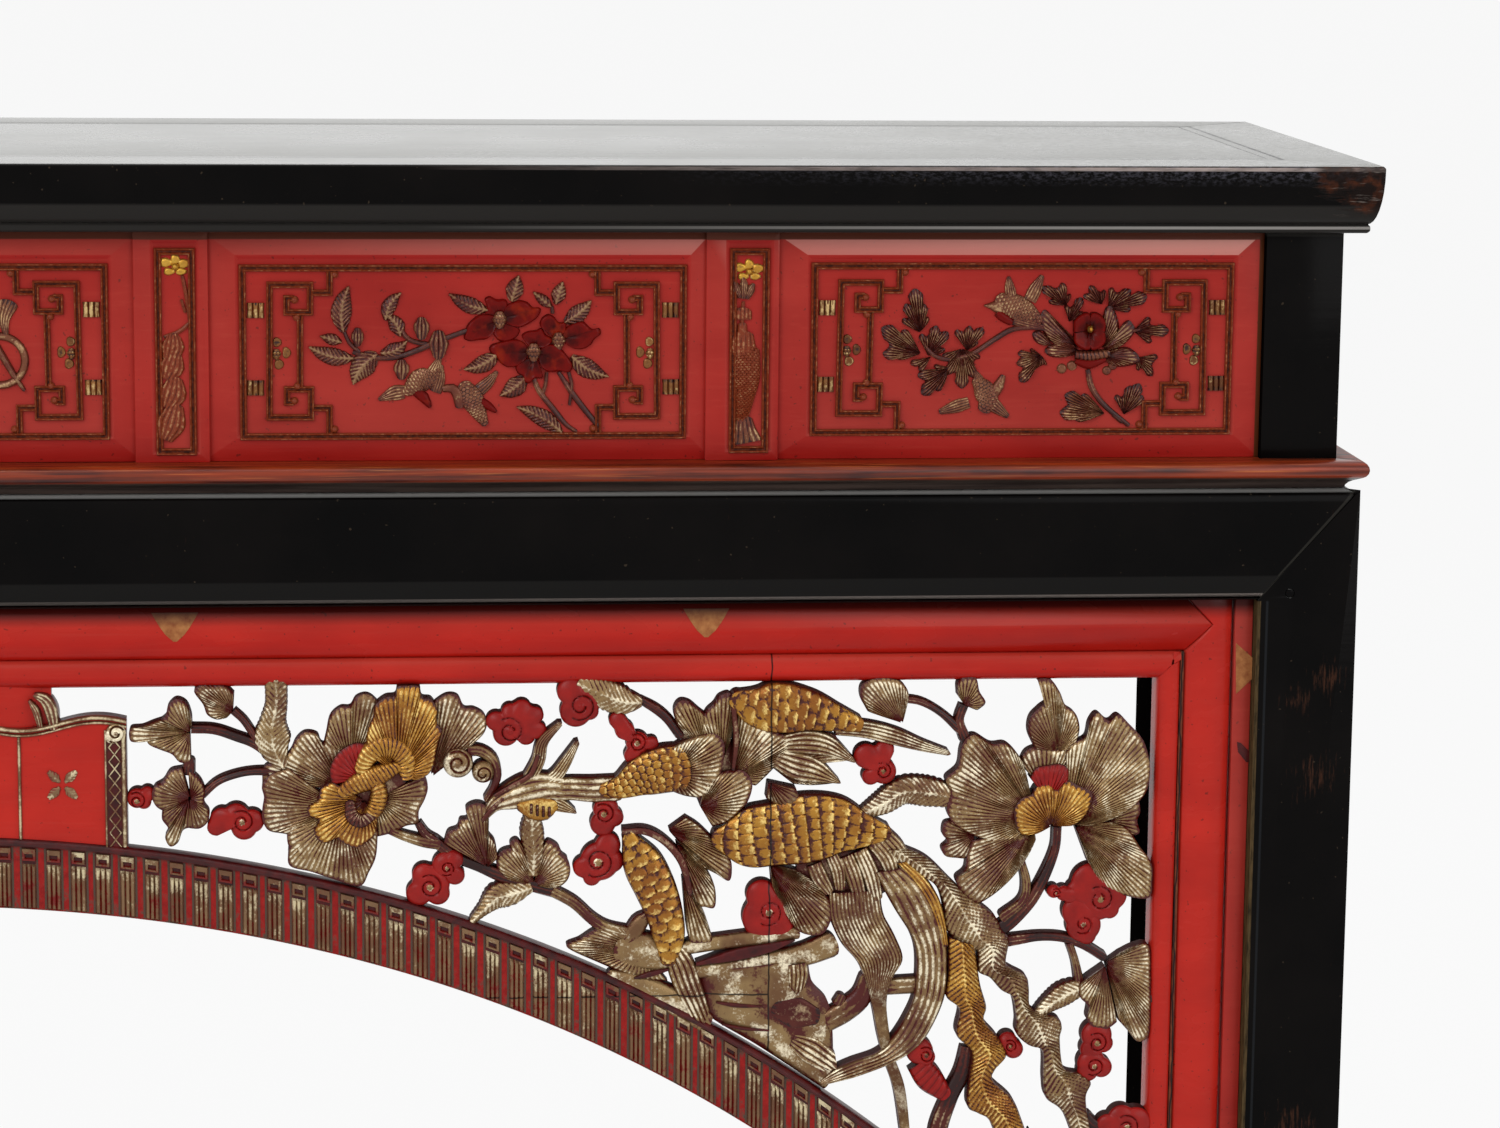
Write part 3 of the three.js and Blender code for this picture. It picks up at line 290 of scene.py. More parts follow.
def make_black_lacquer():
    # Old black lacquer, brushed on and hand-rubbed: near black and glossy. Dust and a painted sheen grey it
    # where it lies flat, its upper arris is rubbed dull under a painted grey sheen, its corners are worn to
    # brown wood, and the legs are scuffed. Painted highlights run along the top's arris, the bead under it,
    # the legs' inner edges and the apron's foot. A painted reflection lightens the top's lower edge, a
    # painted sheen lightens the apron's chamfer, and a painted ochre glow lies at the legs' inner edges.
    material, add, where = start("old_black_lacquer")
    normal = add("NewGeometry", out="Normal")
    x, z = (add("SeparateXYZ", where, out=axis) for axis in (0, 2))
    beyond = add("Math", x, operation="ABSOLUTE")
    cloud = blotches(add, where, 0.09, 4.0)
    brush = blotches(add, where, 0.006, stretch=(26, 1, 1))
    streak = blotches(add, where, 0.0025, 4.0, 0.65, stretch=(9, 1, 1))
    scuff = blotches(add, where, 0.0016, 4.0, 0.7, stretch=(1, 1, 9))
    base = coat(add, "#060505", "#0E0B0A", add("MapRange", cloud, 0.35, 0.7))
    base = coat(add, base, "#6A5A48", add("MapRange", blotches(add, where, 0.0035, 1.0), 0.75, 0.77), 0.25)
    # Painted reflection: the lower front of the top's edge is laid lighter grey, as if the floor showed in
    # it
    base = coat(add, base, "#2B2927", within(add, z, *UNDER_EDGE_REFLECTION))
    # Painted highlight along the bead under the top's edge, stronger toward the ends
    glint = add("MapRange", beyond, 0.35, 0.84, 0.0, 0.95)
    base = coat(add, base, "#94908C", within(add, z, *EDGE_GLINT), glint)
    base = apron_foot_sheen_and_seam(add, base, z, beyond)
    below = add("MapRange", z, *LEG_HEAD)
    # Painted highlight: a thin bluish grey line along each leg's inner front edge, below the apron
    base = coat(add, base, "#242629", within(add, beyond, *LEG_EDGE_HIGHLIGHT), below, 0.7)
    # Rubbed wear and a painted sheen: a mottled grey along the upper arris, stronger toward the ends
    arris = product(add, add("MapRange", z, 0.946, 0.957), add("MapRange", beyond, 0.5, 0.85))
    mottle = blotches(add, where, 0.0022, 3.0, 0.7, stretch=(2, 1, 1))
    rubbed = product(add, arris, add("MapRange", mottle, 0.45, 0.68))
    base = coat(add, base, "#5E5C66", rubbed, 0.7)
    base, bare = worn_edge_and_glint(add, where, base, z, beyond, streak)
    scuffed = total(add, scuff, product(add, nearest(add, where, SCUFFS), 0.28))
    base = coat(add, base, "#4E3022", add("MapRange", scuffed, 0.7, 0.86, 0.0, 0.6))
    # Painted glow: a broken ochre line at each leg's inner edge, near its front
    front = add("MapRange", add("SeparateXYZ", where, out=1), *LEG_GLOW_DEPTH)
    broken = add("MapRange", scuff, 0.35, 0.6, 0.2, 0.9)
    base = coat(add, base, "#5C4A30", within(add, beyond, *LEG_GLOW), below, front, broken)
    flat = add("MapRange", add("SeparateXYZ", normal, out=2), 0.8, 0.98)
    dust_and_sheen = product(add, flat, add("MapRange", brush, 0.3, 0.75, 0.86, 1.0))
    base = dust_and_sheen_top(add, where, base, beyond, flat, dust_and_sheen)
    inward = add("MapRange", product(add, add("SeparateXYZ", normal, out=0), x), -0.7, -0.85)
    dulled = product(add, add("Math", bare, rubbed, operation="MAXIMUM"), 0.35)
    rough = add("MapRange", cloud, 0.3, 0.7, 0.14, 0.24)
    rough = total(add, rough, product(add, dust_and_sheen, 0.1), dulled, product(add, inward, 0.4))
    fine = blotches(add, where, 0.004, 2.0)
    height = total(add, product(add, brush, 0.5), product(add, fine, 0.15), product(add, bare, -1.2))
    outward = add("Math", 1.0, inward, operation="SUBTRACT")
    shine = product(add, total(add, product(add, flat, 0.6), 0.05), outward)
    surface(add, base, height, 0.00025, rough, shine)
    return material


# Painted shadow, painted sheen and marks on the red lacquer: heights where each begins, is full, fades and
# ends
FRAME_SHADOW = (0.6535, 0.6625, 0.672, 0.6725)
RIM_CRACKS = (OPENING_HEAD - 0.002, OPENING_HEAD - 0.001, RIM_HEAD, RIM_HEAD + 0.001)
WAIST_SHEEN_HEIGHTS = (0.86, 0.88)
WAIST_HEAD_BROWN = (0.9086, 0.9092)


def apron_shadow(add, where, base):
    """Darkens the red frame's head with a painted shadow, the shade that the apron casts on it."""
    z = add("SeparateXYZ", where, out=2)
    return coat(add, base, "#2A0806", within(add, z, *FRAME_SHADOW), 0.9)


def waist_sheen_and_browns(add, where, base, facing):
    """A painted sheen, pale pink, on the waist's upward margins, stronger toward the ends, and brown at its
    head and ends.
    """
    z = add("SeparateXYZ", where, out=2)
    beyond = add("Math", add("SeparateXYZ", where, out=0), operation="ABSOLUTE")
    waist = add("Math", z, WAIST_FOOT, operation="GREATER_THAN")
    # Painted sheen: the upward margins are laid pale, more so toward the table's ends
    pale = product(add, add("MapRange", facing, 0.07, 0.16), add("MapRange", beyond, 0.2, 0.84, 0.0, 0.92))
    base = coat(add, base, "#E8A094", pale, add("MapRange", z, *WAIST_SHEEN_HEIGHTS), waist)
    ends = add("MapRange", beyond, WAIST_END - 0.0036, WAIST_END - 0.0030)
    base = coat(add, base, "#5A2C14", ends, waist)
    # Brown along the waist's head, just under the top
    return coat(add, base, "#5A2A1A", add("MapRange", z, *WAIST_HEAD_BROWN), waist)


def split_boards(add, where, base):
    """Darkens the cracks between the boards that the openwork is cut from."""
    x = add("Math", add("SeparateXYZ", where, out=0), operation="ABSOLUTE")
    z = add("SeparateXYZ", where, out=2)
    wander = add("MapRange", blotches(add, where, 0.02, 2.0), 0.3, 0.7, -0.0006, 0.0006)
    upright = apart(add, total(add, x, wander), BOARD_SPLIT)
    level = apart(add, total(add, z, wander), BOARD_JOINT)
    level = total(add, level, add("Math", x, BOARD_SPLIT, operation="GREATER_THAN"))
    crack = add("Math", upright, level, operation="MINIMUM")
    return coat(add, base, "#0C0504", add("MapRange", crack, 0.0003, 0.0008, 0.92, 0.0))


def make_red_lacquer(name, light, deep, gloss, dust_and_sheen):
    # Vermilion lacquer over carved wood: strong red with darker and paler clouds from the brush, fine dark
    # specks, pinkish grey dust and a painted sheen where the surface looks up, and a painted shade where it
    # looks down.
    material, add, where = start(name)
    cloud = blotches(add, where, 0.05, 4.0, stretch=(2.4, 1, 1))
    brush = blotches(add, where, 0.003, stretch=(22, 1, 1))
    base = coat(add, deep, light, add("MapRange", cloud, 0.32, 0.72))
    base = coat(add, base, "#CC5040", add("MapRange", brush, 0.55, 0.8, 0.0, 0.16))
    base = coat(add, base, "#2A0E0C", add("MapRange", blotches(add, where, 0.003, 1.0), 0.73, 0.75), 0.6)
    facing = add("SeparateXYZ", add("NewGeometry", out="Normal"), out=2)
    # Dust and a painted sheen: faces that look up are laid pinkish grey
    dust_and_sheen_up = product(add, add("MapRange", facing, -0.2, 0.5), add("MapRange", cloud, 0.3, 0.7, 0.6, 1.0))
    base = coat(add, base, "#B25A4C", dust_and_sheen_up, dust_and_sheen)
    # Painted shade: faces that look down are laid darker red
    base = coat(add, base, "#8A0E0A", add("MapRange", facing, -0.1, -0.5, 0.0, 0.3))
    base = waist_sheen_and_browns(add, where, apron_shadow(add, where, base), facing)
    in_rim = within(add, add("SeparateXYZ", where, out=2), *RIM_CRACKS)
    base = coat(add, base, split_boards(add, where, base), in_rim)
    surface(add, base, brush, 0.00012, add("MapRange", cloud, 0.3, 0.7, gloss, gloss + 0.12), 0.16)
    return material


def make_brown_lacquer():
    # Red-brown lacquer on the moulding: translucent, with orange wood showing where it is rubbed thin.
    material, add, where = start("red_brown_lacquer")
    streak = blotches(add, where, 0.004, 4.0, stretch=(30, 1, 1))
    base = coat(add, "#3C1008", "#A03A16", add("MapRange", streak, 0.35, 0.65))
    base = coat(add, base, "#9A3A18", add("MapRange", blotches(add, where, 0.06), 0.46, 0.7, 0.0, 0.35))
    lines = blotches(add, where, 0.0016, stretch=(60, 1, 1))
    base = coat(add, base, "#C8743A", add("MapRange", lines, 0.6, 0.7, 0.0, 0.7))
    cove = coat(add, "#302522", "#4E403A", add("MapRange", streak, 0.4, 0.65))
    below = add("MapRange", add("SeparateXYZ", where, out=2), COVE_HEAD - 0.0006, COVE_HEAD, 1.0, 0.0)
    base = coat(add, base, cove, below)
    surface(add, base, streak, 0.0002, 0.3, 0.35)
    return material


def make_putty():
    # Old filler in the joint beside the carved boards: ochre brown, stained red, split by a dark crack.
    material, add, where = start("cracked_putty")
    grit = blotches(add, where, 0.006, 4.0, 0.65, stretch=(1, 1, 2))
    base = coat(add, "#5A1A12", "#7A4428", add("MapRange", grit, 0.35, 0.65))
    wander = add("MapRange", blotches(add, where, 0.03), 0.3, 0.7, -0.0012, 0.0012)
    beyond = add("Math", add("SeparateXYZ", where, out=0), operation="ABSOLUTE")
    crack = apart(add, total(add, beyond, wander), (RIM_OUT + STILE_IN) / 2)
    base = coat(add, base, "#140605", add("MapRange", crack, 0.0003, 0.0008, 1.0, 0.0))
    surface(add, base, grit, 0.0005, 0.6, 0.2)
    return material


def make_ochre():
    # Ochre filler laid over keys and knots in the red frame: dry, a little stained, and darkened at the
    # frame's head by the painted shadow under the apron.
    material, add, where = start("ochre_filler")
    cloud = blotches(add, where, 0.006, 4.0, 0.6)
    base = coat(add, "#B87A46", "#8E4A24", add("MapRange", cloud, 0.35, 0.7))
    surface(add, apron_shadow(add, where, base), cloud, 0.0002, 0.5, 0.25)
    return material


def make_dark_red():
    # Dark red-brown lacquer in the deep parts of the carving: satin, almost black in the corners.
    material, add, where = start("dark_red_lacquer")
    cloud = blotches(add, where, 0.01, 4.0, 0.6)
    base = coat(add, "#35090A", "#5E1212", add("MapRange", cloud, 0.35, 0.7))
    surface(add, base, cloud, 0.0003, 0.3, 0.25)
    return material


def make_band_ground():
    # The arch band between its ribs: red lacquer, greyed with old dust that the ribs hold.
    material, add, where = start("dusty_band_red")
    cloud = blotches(add, where, 0.005, 4.0, 0.6)
    base = coat(add, "#8C1512", "#B01E1A", add("MapRange", cloud, 0.35, 0.7))
    dusty = total(add, add("MapRange", cloud, 0.3, 0.7, -0.3, 0.3), carved_tone(add))
    base = coat(add, base, "#57463A", add("MapRange", dusty, 0.35, 0.65))
    surface(add, base, cloud, 0.0003, 0.4, 0.2)
    return material


def make_gilt(name, ridge, middle, brown, recess, shine, wear, ridge_sheen_from=0.74):
    # Gold leaf over red lacquer, laid on carved wood: rubbed pale on the ridges, with a painted highlight
    # laid over them, browned by age between them, and lost in the grooves, where dark red and grime show.
    material, add, where = start(name)
    patch = blotches(add, where, 0.016, 4.0, 0.6)
    aged = blotches(add, where, 0.03, 3.0, 0.6)
    grit = blotches(add, where, 0.0018, 3.0, 0.65)
    patchy = add("MapRange", patch, 0.3, 0.7, -wear, wear * 0.6)
    mixed = total(add, carved_tone(add), patchy, add("MapRange", grit, 0.3, 0.7, -0.16, 0.16))
    leaf = add("MapRange", mixed, 0.24, 0.44)
    base = coat(add, middle, brown, add("MapRange", aged, 0.38, 0.62))
    base = coat(add, recess, base, leaf)
    # Rubbed gilt and a painted highlight: the ridges are laid pale and bright
    base = coat(add, base, ridge, add("MapRange", mixed, ridge_sheen_from, ridge_sheen_from + 0.28))
    rough = add("MapRange", grit, 0.3, 0.7, 0.26, 0.42)
    base = split_boards(add, where, base)
    surface(add, base, grit, 0.00022, rough, 0.3, Metallic=product(add, leaf, shine))
    return material


def make_cloud_red():
    # Red lacquer on the carved clouds: satin, with a painted highlight on their crowns, and darker in the
    # cut spirals and at their edges, where grime and a painted shade lie.
    material, add, where = start("carved_red_lacquer")
    tone = carved_tone(add)
    cloud = blotches(add, where, 0.012)
    base = coat(add, "#861312", "#A61C17", add("MapRange", cloud, 0.3, 0.7))
    # Painted highlight on the clouds' crowns
    base = coat(add, base, "#C0463C", add("MapRange", tone, 0.8, 1.0, 0.0, 0.25))
    # Grime and a painted shade in the cut spirals and at the clouds' edges
    base = coat(add, base, "#300C0A", add("MapRange", tone, 0.05, 0.45, 1.0, 0.0))
    surface(add, split_boards(add, where, base), cloud, 0.0002, 0.32, 0.2)
    return material


def make_cut_wood():
    # The sawn walls and backs of the openwork: dark red-brown paint, dry and uneven over the saw marks.
    material, add, where = start("painted_sawn_wood")
    grain = blotches(add, where, 0.002, 4.0, stretch=(6, 1, 1))
    base = coat(add, "#260D0B", "#4A1814", grain)
    base = coat(add, base, "#4C3A2C", add("MapRange", blotches(add, where, 0.03), 0.5, 0.8, 0.0, 0.4))
    surface(add, base, grain, 0.0003, 0.6, 0.12)
    return material


def make_petal_lacquer():
    # The carved blossoms of the waist: deep crimson lacquer, glossy and see-through, nearly black in the
    # hollows and redder where it thins over the edges.
    material, add, where = start("crimson_petal_lacquer")
    cloud = blotches(add, where, 0.008)
    mixed = total(add, carved_tone(add), add("MapRange", cloud, 0.3, 0.7, -0.3, 0.3))
    base = coat(add, "#3A0706", "#720F0B", add("MapRange", mixed, 0.05, 0.7))
    base = coat(add, base, "#98280E", add("MapRange", blotches(add, where, 0.014), 0.55, 0.7, 0.0, 0.75))
    surface(add, base, cloud, 0.0002, 0.24, 0.08)
    return material


def make_bead_lacquer():
    # The fine beads and frets of the waist: dark red-brown lacquer, rubbed to pale broken flecks on their
    # edges.
    material, add, where = start("bead_lacquer")
    patch = blotches(add, where, 0.0024, 4.0, 0.65)
    mixed = total(add, carved_tone(add), add("MapRange", patch, 0.3, 0.7, -0.45, 0.3))
    base = coat(add, "#38110A", "#84381E", add("MapRange", mixed, -0.2, 0.45))
    base = coat(add, base, "#BE8C62", add("MapRange", mixed, 0.8, 1.16))
    surface(add, base, patch, 0.0002, 0.32, 0.18)
    return material


def make_bare_wood():
    # Unfinished softwood under the top: planed, brown with age, dry.
    material, add, where = start("aged_bare_wood")
    grain = blotches(add, where, 0.0025, 5.0, stretch=(1, 30, 1))
    surface(add, coat(add, "#3C2A1C", "#7A5C40", grain), grain, 0.0003, 0.7)
    return material


black_lacquer = make_black_lacquer()
red_lacquer = make_red_lacquer("bright_red_lacquer", "#D2261A", "#B41C13", 0.2, 0.35)
waist_red = make_red_lacquer("faded_red_lacquer", "#B6231D", "#9C1713", 0.34, 0.7)
brown_lacquer = make_brown_lacquer()
silver_gilt = make_gilt("rubbed_pale_gilt", "#F6E9CA", "#93774F", "#6E4E34", "#50120C", 0.5, 0.42)
amber_gilt = make_gilt("amber_gilt", "#F0CE7C", "#B07E30", "#8A5420", "#48140C", 0.6, 0.28)
dark_gilt = make_gilt("browned_gilt", "#B59A78", "#5E2A20", "#4A1612", "#280A08", 0.3, 0.4)
cloud_red = make_cloud_red()
leaf_lacquer = make_gilt("leaf_lacquer", "#94704E", "#663020", "#561C14", "#360D09", 0.2, 0.3, 0.64)
fret_gilt = make_gilt("fret_gilt", "#D0B078", "#8A5A2C", "#5E3418", "#2C0C08", 0.4, 0.4)
spray_gilt = make_gilt("spray_gilt", "#C4A074", "#7A4A30", "#60281C", "#360E0A", 0.3, 0.35, 0.8)
gold_leaf = make_gilt("bright_gold_leaf", "#F2DC8E", "#C79A3C", "#A87428", "#5A2412", 0.7, 0.2)
petal_lacquer = make_petal_lacquer()
cut_wood = make_cut_wood()
putty = make_putty()
ochre = make_ochre()
dark_red = make_dark_red()
band_ground = make_band_ground()
band_gilt = make_gilt("band_gilt", "#D6C6A0", "#86684A", "#6C4A34", "#741812", 0.4, 0.42)
bead_lacquer = make_bead_lacquer()
bare_wood = make_bare_wood()

# Joinery


def deselect():
    if bpy.context.object and bpy.context.object.mode != "OBJECT":
        bpy.ops.object.mode_set(mode="OBJECT")
    bpy.ops.object.select_all(action="DESELECT")


def only(piece):
    deselect()
    bpy.context.view_layer.objects.active = piece
    piece.select_set(True)


def block(name, low, high):
    """A box between two corners, with its place in its mesh."""
    deselect()
    low, high = Vector(low), Vector(high)
    bpy.ops.mesh.primitive_cube_add(size=1, location=(low + high) / 2, scale=high - low)
    piece = bpy.context.object
    piece.name = name
    bpy.ops.object.transform_apply(location=True, rotation=True, scale=True)
    return piece


def shape(piece, action="SELECT", kind="VERT"):
    """Goes into edit mode with everything or nothing of the piece selected."""
    only(piece)
    bpy.ops.object.mode_set(mode="EDIT")
    bpy.ops.mesh.select_mode(type=kind)
    bpy.ops.mesh.select_all(action=action)


def select_edges(piece, test):
    """Goes into edit mode with the edges selected whose two ends both pass the test."""
    shape(piece, "DESELECT", "EDGE")
    for edge in bmesh.from_edit_mesh(piece.data).edges:
        edge.select = all(test(vertex.co) for vertex in edge.verts)
    bmesh.update_edit_mesh(piece.data)


def select_front(piece):
    """Goes into edit mode with the piece's front face selected."""
    shape(piece, "DESELECT", "FACE")
    for face in bmesh.from_edit_mesh(piece.data).faces:
        face.select = face.normal.y < -0.9
    bmesh.update_edit_mesh(piece.data)


def round_edges(piece, test, radius, steps):
    select_edges(piece, test)
    bpy.ops.mesh.bevel(offset=radius, segments=steps, affect="EDGES")
    bpy.ops.object.mode_set(mode="OBJECT")


def cut_off(piece, point, normal):
    """Cuts away what lies beyond a plane, on the side that its normal points to."""
    shape(piece)
    bpy.ops.mesh.bisect(plane_co=point, plane_no=normal, use_fill=True, clear_outer=True)
    bpy.ops.object.mode_set(mode="OBJECT")


def ease(piece, width, steps=2, angle=38):
    """Eases every sharp arris and smooths what is round."""
    only(piece)
    if width:
        modifier = piece.modifiers.new("arris", "BEVEL")
        modifier.width = width
        modifier.segments = steps
        modifier.limit_method = "ANGLE"
        modifier.angle_limit = math.radians(angle)
        bpy.ops.object.modifier_apply(modifier=modifier.name)
    bpy.ops.object.shade_smooth_by_angle(angle=math.radians(angle))


def settle(piece, slot, *nodes, materials=()):
    """Gives a finished piece its materials, hangs it under the root, and hides the CAD solids that it stands
    in for.
    """
    if materials:
        piece.data.materials.clear()
        for material in materials:
            piece.data.materials.append(material)
    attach(piece, "root")
    if nodes:
        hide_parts(*nodes)
    return piece


def front_bevels(node):
    """The shallow bevel along the foot of the front apron, as a place on it and its outward slope."""
    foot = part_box(node)[0]
    return [((0, foot.y, foot.z + 0.016), (0, -0.016, -0.0026))] if node == "apron_front" else []


def dressed_copy(node, slot, material, width):
    """A copy of a CAD solid, merged, its bevels cut, its arrises eased and its curves smooth."""
    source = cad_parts[node].data
    mesh = bpy.data.meshes.new(node + "_wood")
    mesh.from_pydata([v.co for v in source.vertices], [], [p.vertices for p in source.polygons])
    piece = bpy.data.objects.new(node + "_wood", mesh)
    bpy.context.collection.objects.link(piece)
    shape(piece)
    bpy.ops.mesh.remove_doubles(threshold=0.00001)
    bpy.ops.mesh.dissolve_limited(angle_limit=math.radians(1))
    bpy.ops.mesh.normals_make_consistent(inside=False)
    bpy.ops.object.mode_set(mode="OBJECT")
    bevels = front_bevels(node)
    for point, slope in bevels:
        cut_off(piece, point, slope)
    ease(piece, width)
    for point, slope in bevels:
        select_edges(piece, lambda co: abs((co - Vector(point)).dot(Vector(slope).normalized())) < 0.0001)
        bpy.ops.mesh.mark_sharp()
        bpy.ops.object.mode_set(mode="OBJECT")
    return settle(piece, slot, node, materials=[material])


SIDES = ("front", "back", "left", "right")
CORNERS = ("front_left", "front_right", "back_left", "back_right")
for node in ("top_front_rail", "top_back_rail", "top_end_left", "top_end_right"):
    dressed_copy(node, "black_lacquer", black_lacquer, 0.0007)
dressed_copy("top_panel", "black_lacquer", black_lacquer, 0.0004)
for side in SIDES:
    dressed_copy("apron_" + side, "black_lacquer", black_lacquer, 0.0006)
    dressed_copy("moulding_" + side, "brown_lacquer", brown_lacquer, 0.0004)
for corner in CORNERS:
    dressed_copy("leg_" + corner, "black_lacquer", black_lacquer, 0.0012)
    dressed_copy("peg_" + corner, "brown_lacquer", black_lacquer, 0.0004)
for node in ("waist_back_board", "waist_end_left", "waist_end_right"):
    dressed_copy(node, "black_lacquer", black_lacquer, 0.0006)
for i in range(1, 4):
    dressed_copy("top_batten_%d" % i, "bare_wood", bare_wood, 0.001)

# Carving

PIXEL = on_boards(751, 564)[0] - on_boards(750, 564)[0]
CARVED_BACK = BOARD_FRONT + 0.0125
# Neighbours' backs lie this far apart, so that no two lie in one plane
STAGGER = 0.0004
CLOUD_STAGGER = 0.0005
# How far apart the points along a leaf, its finer flutes and a plain rib lie
LEAF_STEP, FLUTE_STEP, RIB_STEP = 0.0011, 0.0007, 0.0028
WAIST_SINK = 0.0006
# The carving's finishes, which its styles call by number; its sawn walls are the fifth
CARVING_FINISHES = [silver_gilt, amber_gilt, cloud_red, dark_gilt, cut_wood, dark_red]
CUT_WALL = 4


class Relief:
    """Gathers carved forms, and makes them one mesh with a material for every face and a tone, 0 in the
    grooves to 1 on the ridges, for every point."""

    def __init__(self):
        self.points, self.tones, self.faces, self.slots, self.count = [], [], [], [], 0

    def put(self, points, tones, faces, slot):
        self.points.append(np.asarray(points, float))
        self.tones.append(np.asarray(tones, float))
        self.faces += [[i + self.count for i in face] for face in faces]
        self.slots += [slot] * len(faces)
        self.count += len(points)

    def piece(self, name, materials, slot, *nodes, mirror=False, smooth=50):
        points = np.vstack(self.points)
        faces = self.faces
        if mirror:
            points = points * (-1, 1, 1)
            faces = [face[::-1] for face in faces]
        mesh = bpy.data.meshes.new(name)
        mesh.from_pydata(points.tolist(), [], faces)
        for material in materials:
            mesh.materials.append(material)
        mesh.polygons.foreach_set("material_index", self.slots)
        tone = mesh.attributes.new("relief", "FLOAT", "POINT")
        tone.data.foreach_set("value", np.concatenate(self.tones))
        shell = bmesh.new()
        shell.from_mesh(mesh)
        bmesh.ops.remove_doubles(shell, verts=shell.verts, dist=0.000002)
        bmesh.ops.recalc_face_normals(shell, faces=shell.faces)
        shell.to_mesh(mesh)
        shell.free()
        piece = bpy.data.objects.new(name, mesh)
        bpy.context.collection.objects.link(piece)
        only(piece)
        bpy.ops.object.shade_smooth_by_angle(angle=math.radians(smooth))
        return settle(piece, slot, *nodes)


def curve_through(rows, steps):
    """A smooth line through rows that begin with a place, and how far along it each of its points is."""
    rows = np.asarray(rows, float)
    ends = np.vstack([2 * rows[0] - rows[1], rows, 2 * rows[-1] - rows[-2]])
    t = np.linspace(0, 1, steps + 1)[:-1, None]
    parts = []
    for a, b, c, d in zip(ends, ends[1:], ends[2:], ends[3:]):
        bend = (2 * a - 5 * b + 4 * c - d) * t**2 + (3 * b - a - 3 * c + d) * t**3
        parts.append(0.5 * (2 * b + (c - a) * t + bend))
    dense = np.vstack(parts + [rows[-1:]])
    return dense, np.concatenate([[0], np.cumsum(np.hypot(*np.diff(dense[:, :2], axis=0).T))])


def even_line(rows, step):
    """A smooth line through the rows, [x, z, half width], sampled evenly along its run."""
    dense, run = curve_through(rows, 12)
    count = max(4, int(run[-1] / step) + 1)
    at = np.linspace(0, run[-1], count)
    line = np.column_stack([np.interp(at, run, dense[:, k]) for k in range(3)])
    line[:, 2] = np.maximum(line[:, 2], 0.0004)
    return line, at


def grid_faces(rows, columns):
    faces = []
    for i in range(rows - 1):
        for j in range(columns - 1):
            a = i * columns + j
            faces.append((a, a + 1, a + columns + 1, a + columns))
    return faces


def wall_in(relief, points, rows, columns, back, slot):
    """Walls from the rim of a grid straight back to the plane Y = back, and a flat back."""
    rim = list(range(columns))
    rim += [i * columns + columns - 1 for i in range(1, rows)]
    rim += [(rows - 1) * columns + j for j in range(columns - 2, -1, -1)]
    rim += [i * columns for i in range(rows - 2, 0, -1)]
    front = points[rim]
    rear = front.copy()
    rear[:, 1] = back
    count = len(rim)
    faces = [(i, i + count, (i + 1) % count + count, (i + 1) % count) for i in range(count)]
    left = [count] + [2 * count - i for i in range(1, rows - 1)]
    right = [count + columns - 1 + i for i in range(rows - 1)]
    head = [count + columns - 1 + rows - 1 + j for j in range(columns)]
    for i in range(rows - 2):
        faces.append((left[i], left[i + 1], right[i + 1], right[i]))
    faces.append((left[-1], *head[::-1], right[-1]))
    faces.append(tuple(range(count, count + columns)))
    relief.put(np.vstack([front, rear]), np.full(2 * count, 0.15), faces, slot)


def lay(relief, x, y, z, tone, slot, back, wall):
    """Puts down a carved face, given as a grid, with its walls and its back."""
    rows, columns = x.shape
    points = np.stack([x, y, z], -1).reshape(-1, 3)
    relief.put(points, np.clip(tone, 0, 1).reshape(-1), grid_faces(rows, columns), slot)
    wall_in(relief, points, rows, columns, back, wall)


def scale_field(u, v, pitch=0.5):
    """Overlapping scales, 1 wide and pitch apart along u, every other row shifted by half a width."""
    u, v = np.broadcast_arrays(u, v)
    height = np.zeros(u.shape)
    done = np.zeros(u.shape, bool)
    radius = max(0.72, math.hypot(0.5, pitch - 0.45) + 0.01)
    hidden = math.sqrt(radius**2 - 0.25) - pitch
    first = np.floor(u / pitch) - 2
    for k in range(5):
        row = first + k
        shift = np.mod(row, 2) * 0.5
        across = v - shift - np.round(v - shift)
        along = u - row * pitch
        inside = (np.hypot(along, across) < radius) & ~done & (along > -0.45)
        share = np.clip((along - hidden) / (radius - hidden), 0, 1)
        edge = np.clip((0.5 - np.abs(across)) / 0.1, 0, 1)
        value = 0.22 + 0.22 * np.clip(share / 0.14, 0, 1) + 0.56 * share - 0.3 * across**2 - 0.2 * (1 - edge)
        height[inside] = value[inside]
        done |= inside
    return height


